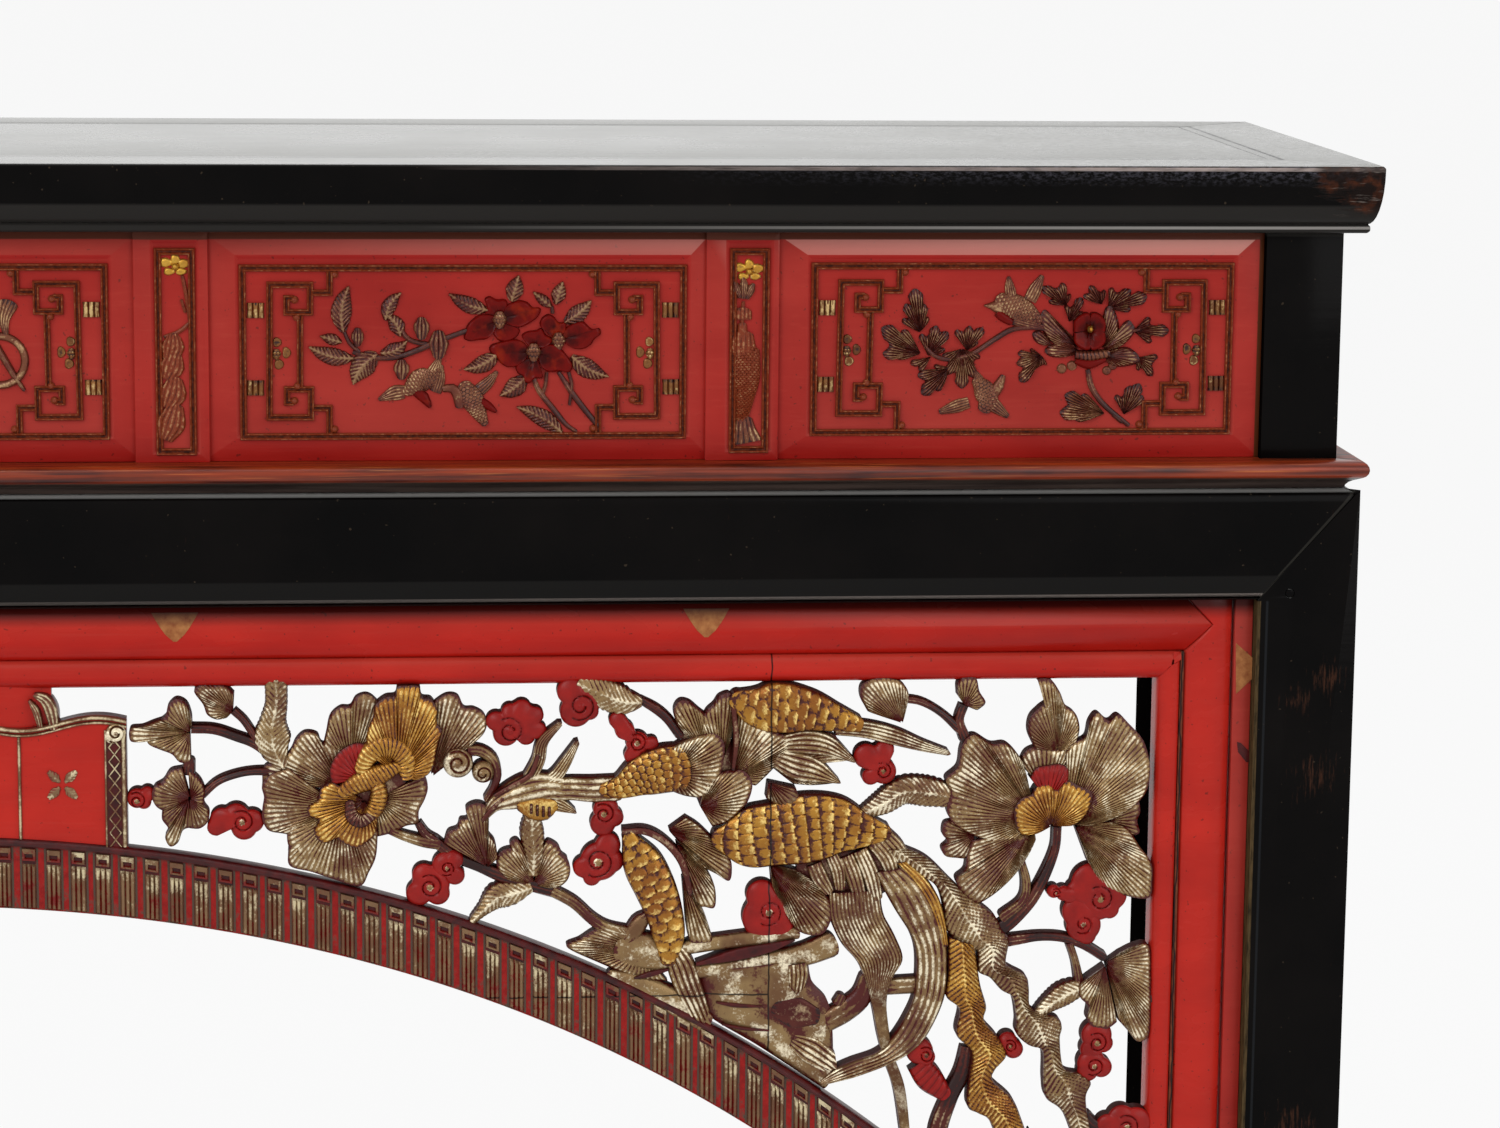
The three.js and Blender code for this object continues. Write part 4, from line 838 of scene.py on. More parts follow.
def blade(
    relief, stations, slot=0, wall=4, kind="ribs", ribs=7, rise=3.0, groove=1.0, lift=0.0, tip="round",
    tip_share=0.6, foot="flat", cell=9.0, pitch=0.5, lobe=0.12, vein=0.6, depth=BOARD_FRONT, back=None,
    place=None,
):
    """A carved leaf, petal, feather, plume or stem. Stations are [x, y, half width] in the photograph's
    pixels, from foot to tip. Heights are in millimetres, out from the plane Y = depth."""
    back = CARVED_BACK - STAGGER * (relief.count % 4) if back is None else back
    rows = [(*(place(x, y) if place else on_plane(x, y, depth)), half * PIXEL) for x, y, half in stations]
    fine = kind in ("leaf", "barb", "scales", "gadroon")
    step = (FLUTE_STEP if kind == "gadroon" else LEAF_STEP) if fine else RIB_STEP
    if kind == "scales":
        step = float(np.clip(cell * pitch / 7, 0.3, 1.1)) * MM
    if kind == "leaf":
        step = float(np.clip(cell / 5, 0.3, 1.1)) * MM
    line, run = even_line(rows, step)
    widest = line[:, 2].max() / MM
    columns = {
        "ribs": 4 * ribs + 1,
        "gadroon": 9,
        "leaf": int(np.clip(widest * 2 / min(cell * 0.3, 1.1), 8, 40)) | 1,
        "barb": int(np.clip(widest * 2 / 1.0, 8, 60)) | 1,
        "scales": int(np.clip(widest * 2 * 9 / cell, 9, 96)) | 1,
        "stem": 9,
        "smooth": 13,
    }[kind]
    count = len(line)
    t = np.linspace(-1, 1, columns)[None, :]
    s = (run / run[-1])[:, None]
    along = np.gradient(line[:, :2], axis=0)
    along /= np.linalg.norm(along, axis=1)[:, None] + 1e-12
    side = np.column_stack([along[:, 1], -along[:, 0]])
    half = line[:, 2][:, None]
    far = run[:, None] / MM
    edge = np.ones((count, columns))
    phase = (far - 1.1 * np.abs(t) * half / MM * 0.9) / max(cell, 0.1)
    if kind == "leaf":
        edge = 1 + lobe * (np.abs(np.sin(math.pi * phase)) ** 0.7 - 0.6) * np.abs(t) ** 3
    if kind == "barb":
        edge = 1 + lobe * (np.mod(phase, 1) - 0.5) * np.abs(t) ** 3
    x = line[:, 0][:, None] + side[:, 0][:, None] * half * t * edge
    z = line[:, 1][:, None] + side[:, 1][:, None] * half * t * edge
    end = line[-1, 2] * tip_share * {"round": 1.0, "point": 1.6, "flat": 0.0}[tip]
    round_tip = np.sqrt(np.maximum(0, 1 - t**2)) if tip != "point" else 1 - np.abs(t)
    tip_push = end * round_tip * np.clip((s - 0.55) / 0.45, 0, 1) ** 1.6
    x = x + along[:, 0][:, None] * tip_push
    z = z + along[:, 1][:, None] * tip_push
    if foot == "round":
        push = line[0, 2] * 0.9 * np.sqrt(np.maximum(0, 1 - t**2)) * np.clip((0.45 - s) / 0.45, 0, 1) ** 1.6
        x = x - along[:, 0][:, None] * push
        z = z - along[:, 1][:, None] * push
    crown = (1 - np.abs(t) ** 2.4) ** 0.7
    height = lift + rise * crown * (0.55 + 0.45 * np.sin(math.pi * np.clip(s, 0.06, 0.94)) ** 0.6)
    fade = np.clip((1 - np.abs(t)) / 0.12, 0, 1) * np.clip(s / 0.04, 0, 1)
    if kind == "gadroon":
        wave = np.abs(np.sin(math.pi * (far - 0.15 * t * half / MM) / cell))
        height = height + groove * (wave - 0.6) * fade
        tone = 0.15 + 0.75 * wave
    elif kind == "ribs":
        wave = np.broadcast_to(np.abs(np.sin(math.pi * ribs * (t + 1) / 2)), edge.shape)
        size = np.clip(half / MM / ribs / 1.6, 0.25, 1)
        height = height + groove * size * (wave - 0.6) * fade
        tone = 0.2 + 0.8 * wave
    elif kind in ("leaf", "barb"):
        wave = np.abs(np.sin(math.pi * phase)) ** (vein if kind == "leaf" else 1.0)
        mid = np.exp(-((np.abs(t) * half / MM / 0.9) ** 2))
        height = height + groove * (wave - 0.7) * fade * (1 - mid) + 0.7 * groove * mid
        tone = np.clip(0.15 + 0.75 * wave * (1 - mid) + mid, 0, 1)
    elif kind == "scales":
        wave = scale_field(far / cell, t * half / MM / cell, pitch)
        height = height + 2.4 * groove * (wave - 0.5) * fade
        tone = np.clip((wave - 0.34) / 0.6, 0, 1)
    elif kind == "stem":
        wave = np.broadcast_to(0.5 + 0.5 * np.cos(2 * math.pi * t * 1.5), edge.shape)
        height = height + 0.35 * groove * (wave - 0.5)
        tone = 0.1 + 0.6 * wave + 0.2 * np.sin(far / 7.0)
    else:
        tone = np.broadcast_to(0.35 + 0.5 * crown, edge.shape)
    height = height - 1.2 * np.clip((np.abs(t) - 0.93) / 0.07, 0, 1)
    tone = np.where(np.abs(t) > 0.96, 0.1, tone)
    lay(relief, x, depth - height * MM, z, np.broadcast_to(tone, edge.shape), slot, back, wall)


def smooth_points(points, count):
    """A smooth line through the points, as count points evenly spaced along it, and its length."""
    line, run = curve_through(points, 10)
    at = np.linspace(0, run[-1], count)
    return np.column_stack([np.interp(at, run, line[:, k]) for k in range(2)]), run[-1]


def spread_edge(foot, rim, place, count):
    """The foot, and count places along the rim, which run clockwise round it as the eye sees them."""
    edge = smooth_points([place(x, y) for x, y in rim], count)[0]
    start = np.asarray(place(*foot))
    last, first = edge[-1] - start, edge[0] - start
    return start, edge[::-1] if last[0] * first[1] - last[1] * first[0] < 0 else edge


def fan(
    relief, foot, rim, slot=0, wall=4, rise=4.0, groove=1.0, lift=0.0, rib=3.8, back=None, place=on_boards,
    depth=BOARD_FRONT, step=2.6, vein=1.0,
):
    """A carved petal or lobe whose ribs run from its foot out to its rim, all in pixels."""
    back = CARVED_BACK - STAGGER * (len(relief.points) % 4) if back is None else back
    length = smooth_points([place(x, y) for x, y in rim], 3)[1]
    ribs = max(4, int(length / MM / rib))
    columns = (4 if vein == 1.0 else 6) * ribs + 1
    start, edge = spread_edge(foot, rim, place, columns)
    reach = np.hypot(*(edge - start).T).mean()
    rows = max(7, int(reach / MM / step))
    u = np.linspace(0, 1, columns)[None, :]
    v = np.linspace(0.05, 1, rows)[:, None]
    spread = start[None, None, :] + (edge[None, :, :] - start) * v[:, :, None]
    wave = np.abs(np.sin(math.pi * ribs * u + 0.9 * np.sin(2.2 * v + 5 * u))) ** vein
    fine = np.clip(v * length / MM / ribs / 1.7, 0.2, 1)
    rim_fade = np.clip((1 - v) / 0.05, 0, 1) * np.clip(np.minimum(u, 1 - u) * ribs, 0, 1)
    body = np.sin(0.5 * math.pi * np.clip(v * 1.25, 0, 1)) - 0.35 * v**3
    crown = 0.75 + 0.25 * np.sin(math.pi * u)
    height = lift + rise * body * crown + groove * fine * (wave - 0.6) * rim_fade
    aside = np.minimum(u, 1 - u) * columns
    height = height - 1.3 * np.clip((v - 0.95) / 0.05, 0, 1) - 0.8 * np.clip(1 - aside / 1.5, 0, 1)
    tone = np.clip(0.08 + 0.72 * wave * np.clip(v * 2.2, 0.25, 1) + 0.35 * v**4, 0, 1)
    tone = np.where((v > 0.985) | (aside < 0.6), 0.1, tone)
    lay(relief, spread[..., 0], depth - height * MM, spread[..., 1], tone, slot, back, wall)


def petal(relief, foot, rim, place, slot=2, wall=2, rise=2.4, lift=0.2):
    """A smooth petal of the waist's blossoms: low at its foot, swelling, its edge lipped."""
    start, edge = spread_edge(foot, rim, place, 41)
    v = np.array((0.06, 0.2, 0.36, 0.52, 0.66, 0.78, 0.88, 0.95, 1.0))[:, None]
    u = np.linspace(0, 1, 41)[None, :]
    spread = start[None, None, :] + (edge[None, :, :] - start) * v[:, :, None]
    swell = np.sin(math.pi * np.clip(v, 0, 1) * 0.62) * (0.75 + 0.25 * np.sin(math.pi * u))
    lip = np.exp(-(((v - 0.88) / 0.07) ** 2))
    crease = np.exp(-(((u - 0.5) / 0.05) ** 2)) * (1 - v)
    height = lift + rise * swell + 0.6 * lip - 0.5 * crease
    height = height - 1.6 * np.clip((v - 0.93) / 0.07, 0, 1) ** 2
    tone = np.clip(0.15 + 0.6 * v**1.5 + 0.35 * lip - 0.2 * crease, 0, 1)
    tone = np.where(v > 0.97, 0.05, tone)
    deep = place.ground - height * MM
    lay(relief, spread[..., 0], deep, spread[..., 1], tone, slot, place.ground + WAIST_SINK, wall)


def sheet(relief, left, right, kind="ribs", ribs=5, rise=3.2, groove=1.0, lift=0.0, cell=2.6, slot=0):
    """A plume between two edges, both drawn from its root to its tip in pixels."""
    back = CARVED_BACK - STAGGER * (len(relief.points) % 4)
    left, right = ([on_boards(x, y) for x, y in side] for side in (left, right))
    length = smooth_points(left, 3)[1]
    rows = int(length / (0.0008 if kind == "barb" else RIB_STEP)) + 4
    a, b = (smooth_points(side, rows)[0] for side in (left, right))
    columns = 21 if kind == "barb" else max(13, 4 * ribs + 1)
    t = np.linspace(-1, 1, columns)[None, :]
    wide = np.hypot(*(b - a).T)[:, None] / MM
    far = np.linspace(0, length, rows)[:, None] / MM
    along = np.gradient((a + b) / 2, axis=0)
    if (along[:, 0] * (b - a)[:, 1] - along[:, 1] * (b - a)[:, 0]).sum() > 0:
        a, b = b, a
    spread = a[:, None, :] + (b - a)[:, None, :] * ((t[:, :, None] + 1) / 2)
    fade = np.clip((1 - np.abs(t)) / 0.12, 0, 1)
    crown = (1 - np.abs(t) ** 2.4) ** 0.7
    if kind == "barb":
        phase = (far - 0.5 * np.abs(t) * wide * 0.9) / cell
        wave = np.abs(np.sin(math.pi * phase))
        vein = np.exp(-((np.abs(t) * wide / 2 / 0.7) ** 2))
        height = groove * (wave - 0.7) * fade * (1 - vein) + 0.5 * groove * vein
        tone = 0.05 + 0.9 * wave * (1 - vein) + vein
    else:
        wave = np.abs(np.sin(math.pi * ribs * (t + 1) / 2 + 0.3 * np.sin(far / 9)))
        size = np.clip(wide / ribs / 2.2, 0.25, 1)
        height = groove * size * (wave - 0.6) * fade
        tone = 0.15 + 0.8 * wave
    height = height + lift + rise * crown * np.clip(wide / 12, 0.45, 1)
    height = height - 1.2 * np.clip((np.abs(t) - 0.93) / 0.07, 0, 1)
    tone = np.where(np.abs(t) > 0.96, 0.1, np.broadcast_to(tone, height.shape))
    lay(relief, spread[..., 0], BOARD_FRONT - height * MM, spread[..., 1], tone, slot, back, CUT_WALL)


def scroll_cloud(relief, eye, swing, lobes, coil, slot=0, boss=0, rise=3.8, lift=-1.5):
    """A carved cloud: the union of its lobes, puffed, with a spiral groove round a boss at its eye."""
    back = CARVED_BACK - CLOUD_STAGGER * (len(relief.points) % 3)
    spokes, rings, coils = 72, 20, 1.35
    ex, ez = on_boards(*eye)
    angle = np.linspace(0, 2 * math.pi, spokes, endpoint=False)
    reach = np.full(spokes, coil * 0.8 * PIXEL)
    for x, y, radius in lobes:
        cx, cz = on_boards(x, y)
        dx, dz, radius = cx - ex, cz - ez, radius * PIXEL
        ahead = dx * np.cos(angle) + dz * np.sin(angle)
        off = radius**2 - (dx**2 + dz**2 - ahead**2)
        exit_at = ahead + np.sqrt(np.maximum(off, 0))
        reach = np.where((off > 0) & (exit_at > reach), exit_at, reach)
    r = np.linspace(0, 1, rings)[:, None] ** 0.9
    far = r * reach[None, :]
    turn = np.mod(swing * angle / (2 * math.pi), 1)[None, :]
    groove = np.zeros((rings, spokes))
    for k in range(3):
        wound = turn + k
        at = coil * PIXEL * (0.28 + 0.72 * wound / coils)
        groove = np.maximum(groove, np.exp(-(((far - at) / (0.075 * coil * PIXEL)) ** 2)) * (wound <= coils))
    knob = np.exp(-((far / (0.2 * coil * PIXEL)) ** 4))
    groove = groove * (1 - knob)
    puff = 1 - r**3.5
    swell = rise * puff * (0.8 + 0.2 * np.clip(far / (coil * PIXEL), 0, 1))
    height = lift + swell - 1.5 * groove + 1.3 * knob
    height = height - 0.9 * np.clip((r - 0.94) / 0.06, 0, 1)
    tone = np.clip(0.85 - 0.85 * groove - 0.5 * np.clip((r - 0.95) / 0.05, 0, 1), 0, 1)
    tone = np.where(knob > 0.4, 0.55, tone)
    px = ex + far * np.cos(angle)
    pz = ez + far * np.sin(angle)
    points = np.stack([px, BOARD_FRONT - height * MM, pz], -1)
    flat = points.reshape(-1, 3)
    faces, bosses = [], []
    limit = 0.3 * coil * PIXEL
    for i in range(rings - 1):
        for j in range(spokes):
            k = (j + 1) % spokes
            p, q, m, n = i * spokes + j, i * spokes + k, (i + 1) * spokes + k, (i + 1) * spokes + j
            face = (p, n, m, q) if i else (0, n, m)
            (bosses if far[i + 1, j] < limit else faces).append(face)
    relief.put(flat, tone.reshape(-1), faces, slot)
    relief.put(flat, tone.reshape(-1), bosses, boss)
    rimmed = points[-1]
    rear = rimmed.copy()
    rear[:, 1] = back
    walls = [(i, i + spokes, (i + 1) % spokes + spokes, (i + 1) % spokes) for i in range(spokes)]
    walls.append(tuple(range(2 * spokes - 1, spokes - 1, -1)))
    relief.put(np.vstack([rimmed, rear]), np.full(2 * spokes, 0.2), walls, CUT_WALL)


# Beads and sections that run along a path


# A bead's feet lie this far under the ground that it stands on
SUNK_FOOT = -0.0006


def ridge_profile(half, out):
    """A half-round bead's section: across, out from the ground, and tone, from one foot to the other."""
    rows = []
    for i in range(7):
        angle = math.pi * i / 6
        sunk = SUNK_FOOT if i in (0, 6) else 0.0
        rows.append((-half * math.cos(angle), out * math.sin(angle) + sunk, math.sin(angle)))
    return rows


def double_profile(half, out):
    """The section of two fine ridges with a groove between them."""
    side = ((-1.0, 0.0, 0.0), (-0.92, 0.62, 0.5), (-0.66, 1.0, 1.0), (-0.38, 0.72, 0.4), (-0.12, 0.42, 0.0))
    both = list(side) + [(-share, height, tone) for share, height, tone in side[::-1]]
    return [(half * share, out * height if height else SUNK_FOOT, tone) for share, height, tone in both]


def run_along(relief, path, profile, ground, slot=0, closed=False, back=None):
    """Sweeps a section along a path of (X, Z) points, mitred at its corners, out from Y = ground."""
    path = np.asarray(path, float)
    ahead = np.roll(path, -1, 0) - path
    behind = path - np.roll(path, 1, 0)
    if not closed:
        ahead[-1] = behind[-1]
        behind[0] = ahead[0]
    ahead /= np.linalg.norm(ahead, axis=1)[:, None]
    behind /= np.linalg.norm(behind, axis=1)[:, None]
    middle = ahead + behind
    middle /= np.linalg.norm(middle, axis=1)[:, None]
    stretch = 1 / np.maximum(0.4, (middle * ahead).sum(1))
    normal = np.column_stack([-middle[:, 1], middle[:, 0]]) * stretch[:, None]
    section = np.asarray(profile, float)
    ring = section
    if back is not None:
        ring = np.vstack([section, [section[-1, 0], ground - back, 0], [section[0, 0], ground - back, 0]])
    wide = len(ring)
    across = path[:, None, :] + normal[:, None, :] * ring[None, :, 0, None]
    deep = np.broadcast_to(ground - ring[:, 1], (len(path), wide))
    points = np.stack([across[..., 0], deep, across[..., 1]], -1).reshape(-1, 3)
    tones = np.broadcast_to(ring[:, 2], (len(path), wide)).reshape(-1)
    faces = []
    count = len(path)
    for i in range(count if closed else count - 1):
        k = (i + 1) % count
        for j in range(wide):
            m = (j + 1) % wide
            faces.append((i * wide + j, k * wide + j, k * wide + m, i * wide + m))
    if not closed:
        faces.append(tuple(range(wide)))
        faces.append(tuple((count - 1) * wide + j for j in range(wide - 1, -1, -1)))
    relief.put(points, tones, faces, slot)


# The arch: its lower edge, the band above it and the band's ribs
ARCH_CROWN = 0.4655
ARCH_DROP = ARCH_CROWN - RIM_FOOT
BAND = 0.048
BAND_GROUND = BOARD_FRONT + 0.0018
RIB_PITCH = 0.0162


def arch(x):
    """Height of the arch's lower edge at x."""
    share = abs(x) / OPENING_HALF
    return ARCH_CROWN - ARCH_DROP * (0.716 * share**2 + 0.284 * share**4)


def arch_slope(x):
    share = abs(x) / OPENING_HALF
    return -ARCH_DROP * (1.432 * share + 1.136 * share**3) / OPENING_HALF * (1 if x > 0 else -1)


def band_head(x):
    """Height of the band's upper edge straight above x."""
    foot = x
    for _ in range(12):
        slope = arch_slope(foot)
        foot = x + BAND * slope / math.hypot(1, slope)
        foot = max(-OPENING_HALF, min(OPENING_HALF, foot))
    slope = arch_slope(foot)
    return arch(foot) + BAND / math.hypot(1, slope)


def make_band():
    relief = Relief()
    path = [(x, arch(x)) for x in np.linspace(-OPENING_HALF, OPENING_HALF, 161)]
    section = [
        (0.0, 0.0, 0.5), (0.0, 0.0005, 0.6), (0.0006, 0.0005, 0.5), (0.0010, 0.0, 0.4), (0.034, 0.0, 0.1),
        (0.0430, 0.0, 0.5),
    ]
    bead = [
        (0.0425, 0.0, 0.1), (0.0430, 0.0024, 0.5), (0.0452, 0.0040, 1.0), (0.0474, 0.0024, 0.6),
        (BAND, 0.0, 0.1),
    ]
    run_along(relief, path, section, BAND_GROUND, slot=0, back=CARVED_BACK)
    run_along(relief, path, bead, BAND_GROUND, slot=1, back=CARVED_BACK - 0.0004)
    relief.piece("arch_band", [band_ground, dark_red], "red_lacquer", "carved_board_centre", smooth=40)


def quad_on_band(relief, corners, out, tone, slot):
    """A flat patch on the arch band, out metres from its ground."""
    relief.put([(x, BAND_GROUND - out, z) for x, z in corners], [tone] * 4, [(0, 1, 2, 3)], slot)


def rib_bars(relief, x, half, wobble):
    """Three fluted bars side by side, their ends along the band's edges."""
    across = np.linspace(-half, half, 13)
    wave = np.abs(np.cos(math.pi * 1.5 * across / half)) ** 0.45
    rows = []
    heads = [band_head(x + a) - 0.0168 + 0.0004 * wobble for a in across]
    feet = [arch(x + a) + 0.0009 for a in across]
    for row, share in enumerate((0.0, 0.03, 0.5, 0.95, 1.0)):
        out = 0.0003 if row in (0, 4) else 0.0021
        for a, w, low, high in zip(across, wave, feet, heads):
            side = 0.6 if abs(a) == half else 1.0
            rows.append((x + a, BAND_GROUND - out * (0.3 + 0.7 * w) * side, low + (high - low) * share))
    tones = np.tile(0.1 + 0.55 * wave + 0.4 * (np.abs(across) > 0.85 * half), 5)
    tones[-26:] += 0.4
    relief.put(rows, np.clip(tones, 0, 1), grid_faces(5, 13), 0)


def framed_square(relief, x, wobble):
    """The small square over a rib's bars, its frame raised round a dark hole."""
    centre = band_head(x) - 0.0108
    slope = arch_slope(x)
    rings = []
    for wide, low, high, out in (
        (0.0046, -0.0040, 0.0045, 0.0), (0.0042, -0.0037, 0.0042, 0.0026), (0.0028, -0.0026, 0.0010, 0.0026),
        (0.0022, -0.0020, 0.0004, 0.0004),
    ):
        for sx, sz in ((-1, low), (1, low), (1, high), (-1, high)):
            rings.append((x + sx * wide, BAND_GROUND - out, centre + sz + slope * sx * wide))
    faces = []
    for first in (0, 4, 8):
        for i in range(4):
            k = first + (i + 1) % 4
            faces.append((first + i, k, k + 4, first + i + 4))
    glint = [0.35, 0.35, 0.75 + 0.2 * wobble, 0.75 + 0.2 * wobble]
    relief.put(rings, [0.3] * 4 + glint * 2 + [0.0] * 4, faces, 0)
    relief.put(rings[12:], [0.0] * 4, [(0, 1, 2, 3)], 2)


def rib_group(relief, x, wobble):
    """A rib of the band: bars on a dark ground with a dusty line at each side, and a square over them."""
    half = 0.0047 + 0.0003 * wobble
    foot, head = arch(x) + 0.0006, band_head(x) - 0.0058
    behind = [(-half, foot), (half, foot), (half, head), (-half, head)]
    quad_on_band(relief, [(x + a, b + arch_slope(x) * a) for a, b in behind], 0.0001, 0.0, 2)
    rib_bars(relief, x, half, wobble)
    for left, right in ((half + 0.0002, half + 0.0016), (-half - 0.0016, -half - 0.0002)):
        left, right = x + left, x + right
        line = [(left, arch(left) + 0.0006), (right, arch(right) + 0.0006)]
        line += [(right, band_head(right) - 0.006), (left, band_head(left) - 0.006)]
        quad_on_band(relief, line, 0.0002, 0.8, 1)
    framed_square(relief, x, wobble)


def make_ribs(side):
    relief = Relief()
    for i in range(int(OPENING_HALF / RIB_PITCH - 0.5)):
        rib_group(relief, (i + 0.5) * RIB_PITCH, math.sin(7.3 * i))
    finishes, host = [band_gilt, band_ground, dark_red], "carved_lower_" + side
    relief.piece("band_ribs_" + side, finishes, "aged_gilt", host, mirror=side == "left", smooth=30)


def make_rim():
    """The moulded rim of the boards: a head between two sides, mitred, rounded on the front."""
    front = BOARD_FRONT - 0.0016
    high_by, wide = RIM_HEAD - OPENING_HEAD, RIM_OUT - OPENING_HALF
    for side, sign in (("right", 1), ("left", -1)):
        low, high = sorted((sign * OPENING_HALF, sign * RIM_OUT))
        bar = block("rim_side_" + side, (low, front, RIM_FOOT), (high, BOARD_BACK, RIM_HEAD))
        round_edges(bar, lambda p: p.y < front + 0.0001 and abs(p.x) < OPENING_HALF + 0.0001, 0.009, 6)
        round_edges(bar, lambda p: p.y < front + 0.0001 and abs(p.x) > RIM_OUT - 0.0001, 0.005, 4)
        cut_off(bar, (sign * RIM_OUT, 0, RIM_HEAD), (-sign * high_by, 0, wide))
        ease(bar, 0, angle=45)
        settle(bar, "red_lacquer", "carved_board_" + side, "carved_lower_" + side, materials=[red_lacquer])
    bar = block("rim_head", (-RIM_OUT, front, OPENING_HEAD), (RIM_OUT, BOARD_BACK, RIM_HEAD))
    round_edges(bar, lambda p: p.y < front + 0.0001 and p.z < OPENING_HEAD + 0.0001, 0.009, 6)
    round_edges(bar, lambda p: p.y < front + 0.0001 and p.z > RIM_HEAD - 0.0001, 0.005, 4)
    for sign in (1, -1):
        cut_off(bar, (sign * RIM_OUT, 0, RIM_HEAD), (sign * high_by, 0, -wide))
    ease(bar, 0, angle=45)
    settle(bar, "red_lacquer", "carved_board_centre", materials=[red_lacquer])


# The banner in the middle: its border, its columns, and the roll that it hangs from
BANNER_END = on_boards(127, 780)[0]
BANNER_COLUMN = on_boards(105, 780)[0]
BANNER_HEAD = on_boards(60, 722)[1]
BANNER_ROLL = on_boards(51, 712)[0]
BANNER_GROUND = BOARD_FRONT + 0.0012
BANNER_BORDER = BANNER_END - BANNER_COLUMN
BANNER_COLUMNS = 5
# Half widths and heights of its two folds, and of the lines at the border's inner and outer side
FOLDS = ((0.0016, 0.0034), (0.0011, 0.0022))
BORDER_LINES = ((BANNER_COLUMN + 0.0006, 0.0009, 0.0022), (BANNER_END - 0.0020, 0.0017, 0.0024))
# The tied ends beside the roll: stations of x, y and half width, in the photograph's pixels
KNOTS = [
    [(36, 696, 3), (45, 700, 6), (51, 711, 7), (54, 727, 5)],
    [(30, 702, 2), (36, 712, 4), (40, 726, 3)],
]
# A floret's petal: how far out, and how wide there, as shares of its size
PETAL_ROWS = ((0.2, 0.1), (0.6, 0.3), (1.0, 0.16))


def banner_top(x):
    """The banner's wavy upper edge."""
    return BANNER_HEAD + 0.0042 * math.cos(2 * math.pi * (abs(x) - 0.135) / 0.098)


def upright_line(relief, x, low, high, half, out):
    """A raised upright line on the banner."""
    run_along(relief, [(x, low), (x, high)], ridge_profile(half, out), BANNER_GROUND, 2)


def plate(relief, columns, edges, face):
    """A red sheet between a lower and an upper edge, with its face's Y and its edges given for every x."""
    rows = []
    for share in (0, 1):
        for x in columns:
            low, high = edges(x)
            rows.append((x, face(x), low + (high - low) * share))
    points = np.asarray(rows)
    relief.put(points, np.full(len(points), 0.6), grid_faces(2, len(columns)), 0)
    wall_in(relief, points, 2, len(columns), CARVED_BACK, 1)


def floret(relief, x, z, size):
    """Four petals round a bead: plain ornament for a column of the banner."""
    where = dict(place=lambda a, b: (a, b), depth=BANNER_GROUND, back=BANNER_GROUND + 0.002)
    for k in range(4):
        angle = math.pi / 2 * k + math.pi / 4
        ahead = np.array((math.cos(angle), math.sin(angle)))
        rows = [(*(np.array((x, z)) + ahead * size * far), size * wide / PIXEL) for far, wide in PETAL_ROWS]
        blade(relief, rows, slot=2, wall=2, kind="leaf", rise=1.0, groove=0.4, cell=2.4, lift=0.2, **where)


def lattice_border(relief, sign):
    """The border at one end of the banner: a lattice of crossed strips between two upright lines."""
    low, high = arch(BANNER_END) + BAND + 0.001, BANNER_HEAD - 0.006
    middle = (BANNER_END + BANNER_COLUMN) / 2
    flat = ((-0.5, 0.0), (-0.5, 0.0004), (0.5, 0.0004), (0.5, 0.0))
    flat = [(share * BANNER_BORDER, out, 0.2) for share, out in flat]
    run_along(relief, [(sign * middle, low), (sign * middle, high)], flat, BANNER_GROUND, 1)
    for x, half, out in BORDER_LINES:
        upright_line(relief, sign * x, low, high, half, out)
    reach = BANNER_BORDER / 2 - 0.0035
    for start in (0, 1):
        strip = []
        for i, z in enumerate(np.linspace(low, high - 0.002, 9)):
            strip.append((sign * (middle - 0.0008 + reach * (-1) ** (i + start)), z))
        run_along(relief, strip, ridge_profile(0.0006, 0.0011), BANNER_GROUND - 0.0004, 2)


def banner_columns(relief):
    """A floret in every column of the banner, and a raised line between one column and the next."""
    cell = 2 * BANNER_COLUMN / BANNER_COLUMNS
    for k in range(BANNER_COLUMNS):
        x = -BANNER_COLUMN + cell * (k + 0.5)
        floret(relief, x, (arch(x) + BAND + BANNER_HEAD) / 2 - 0.002, 0.012)
        if k:
            left = x - cell / 2
            upright_line(relief, left, arch(left) + BAND, banner_top(left) - 0.006, 0.0012, 0.0022)


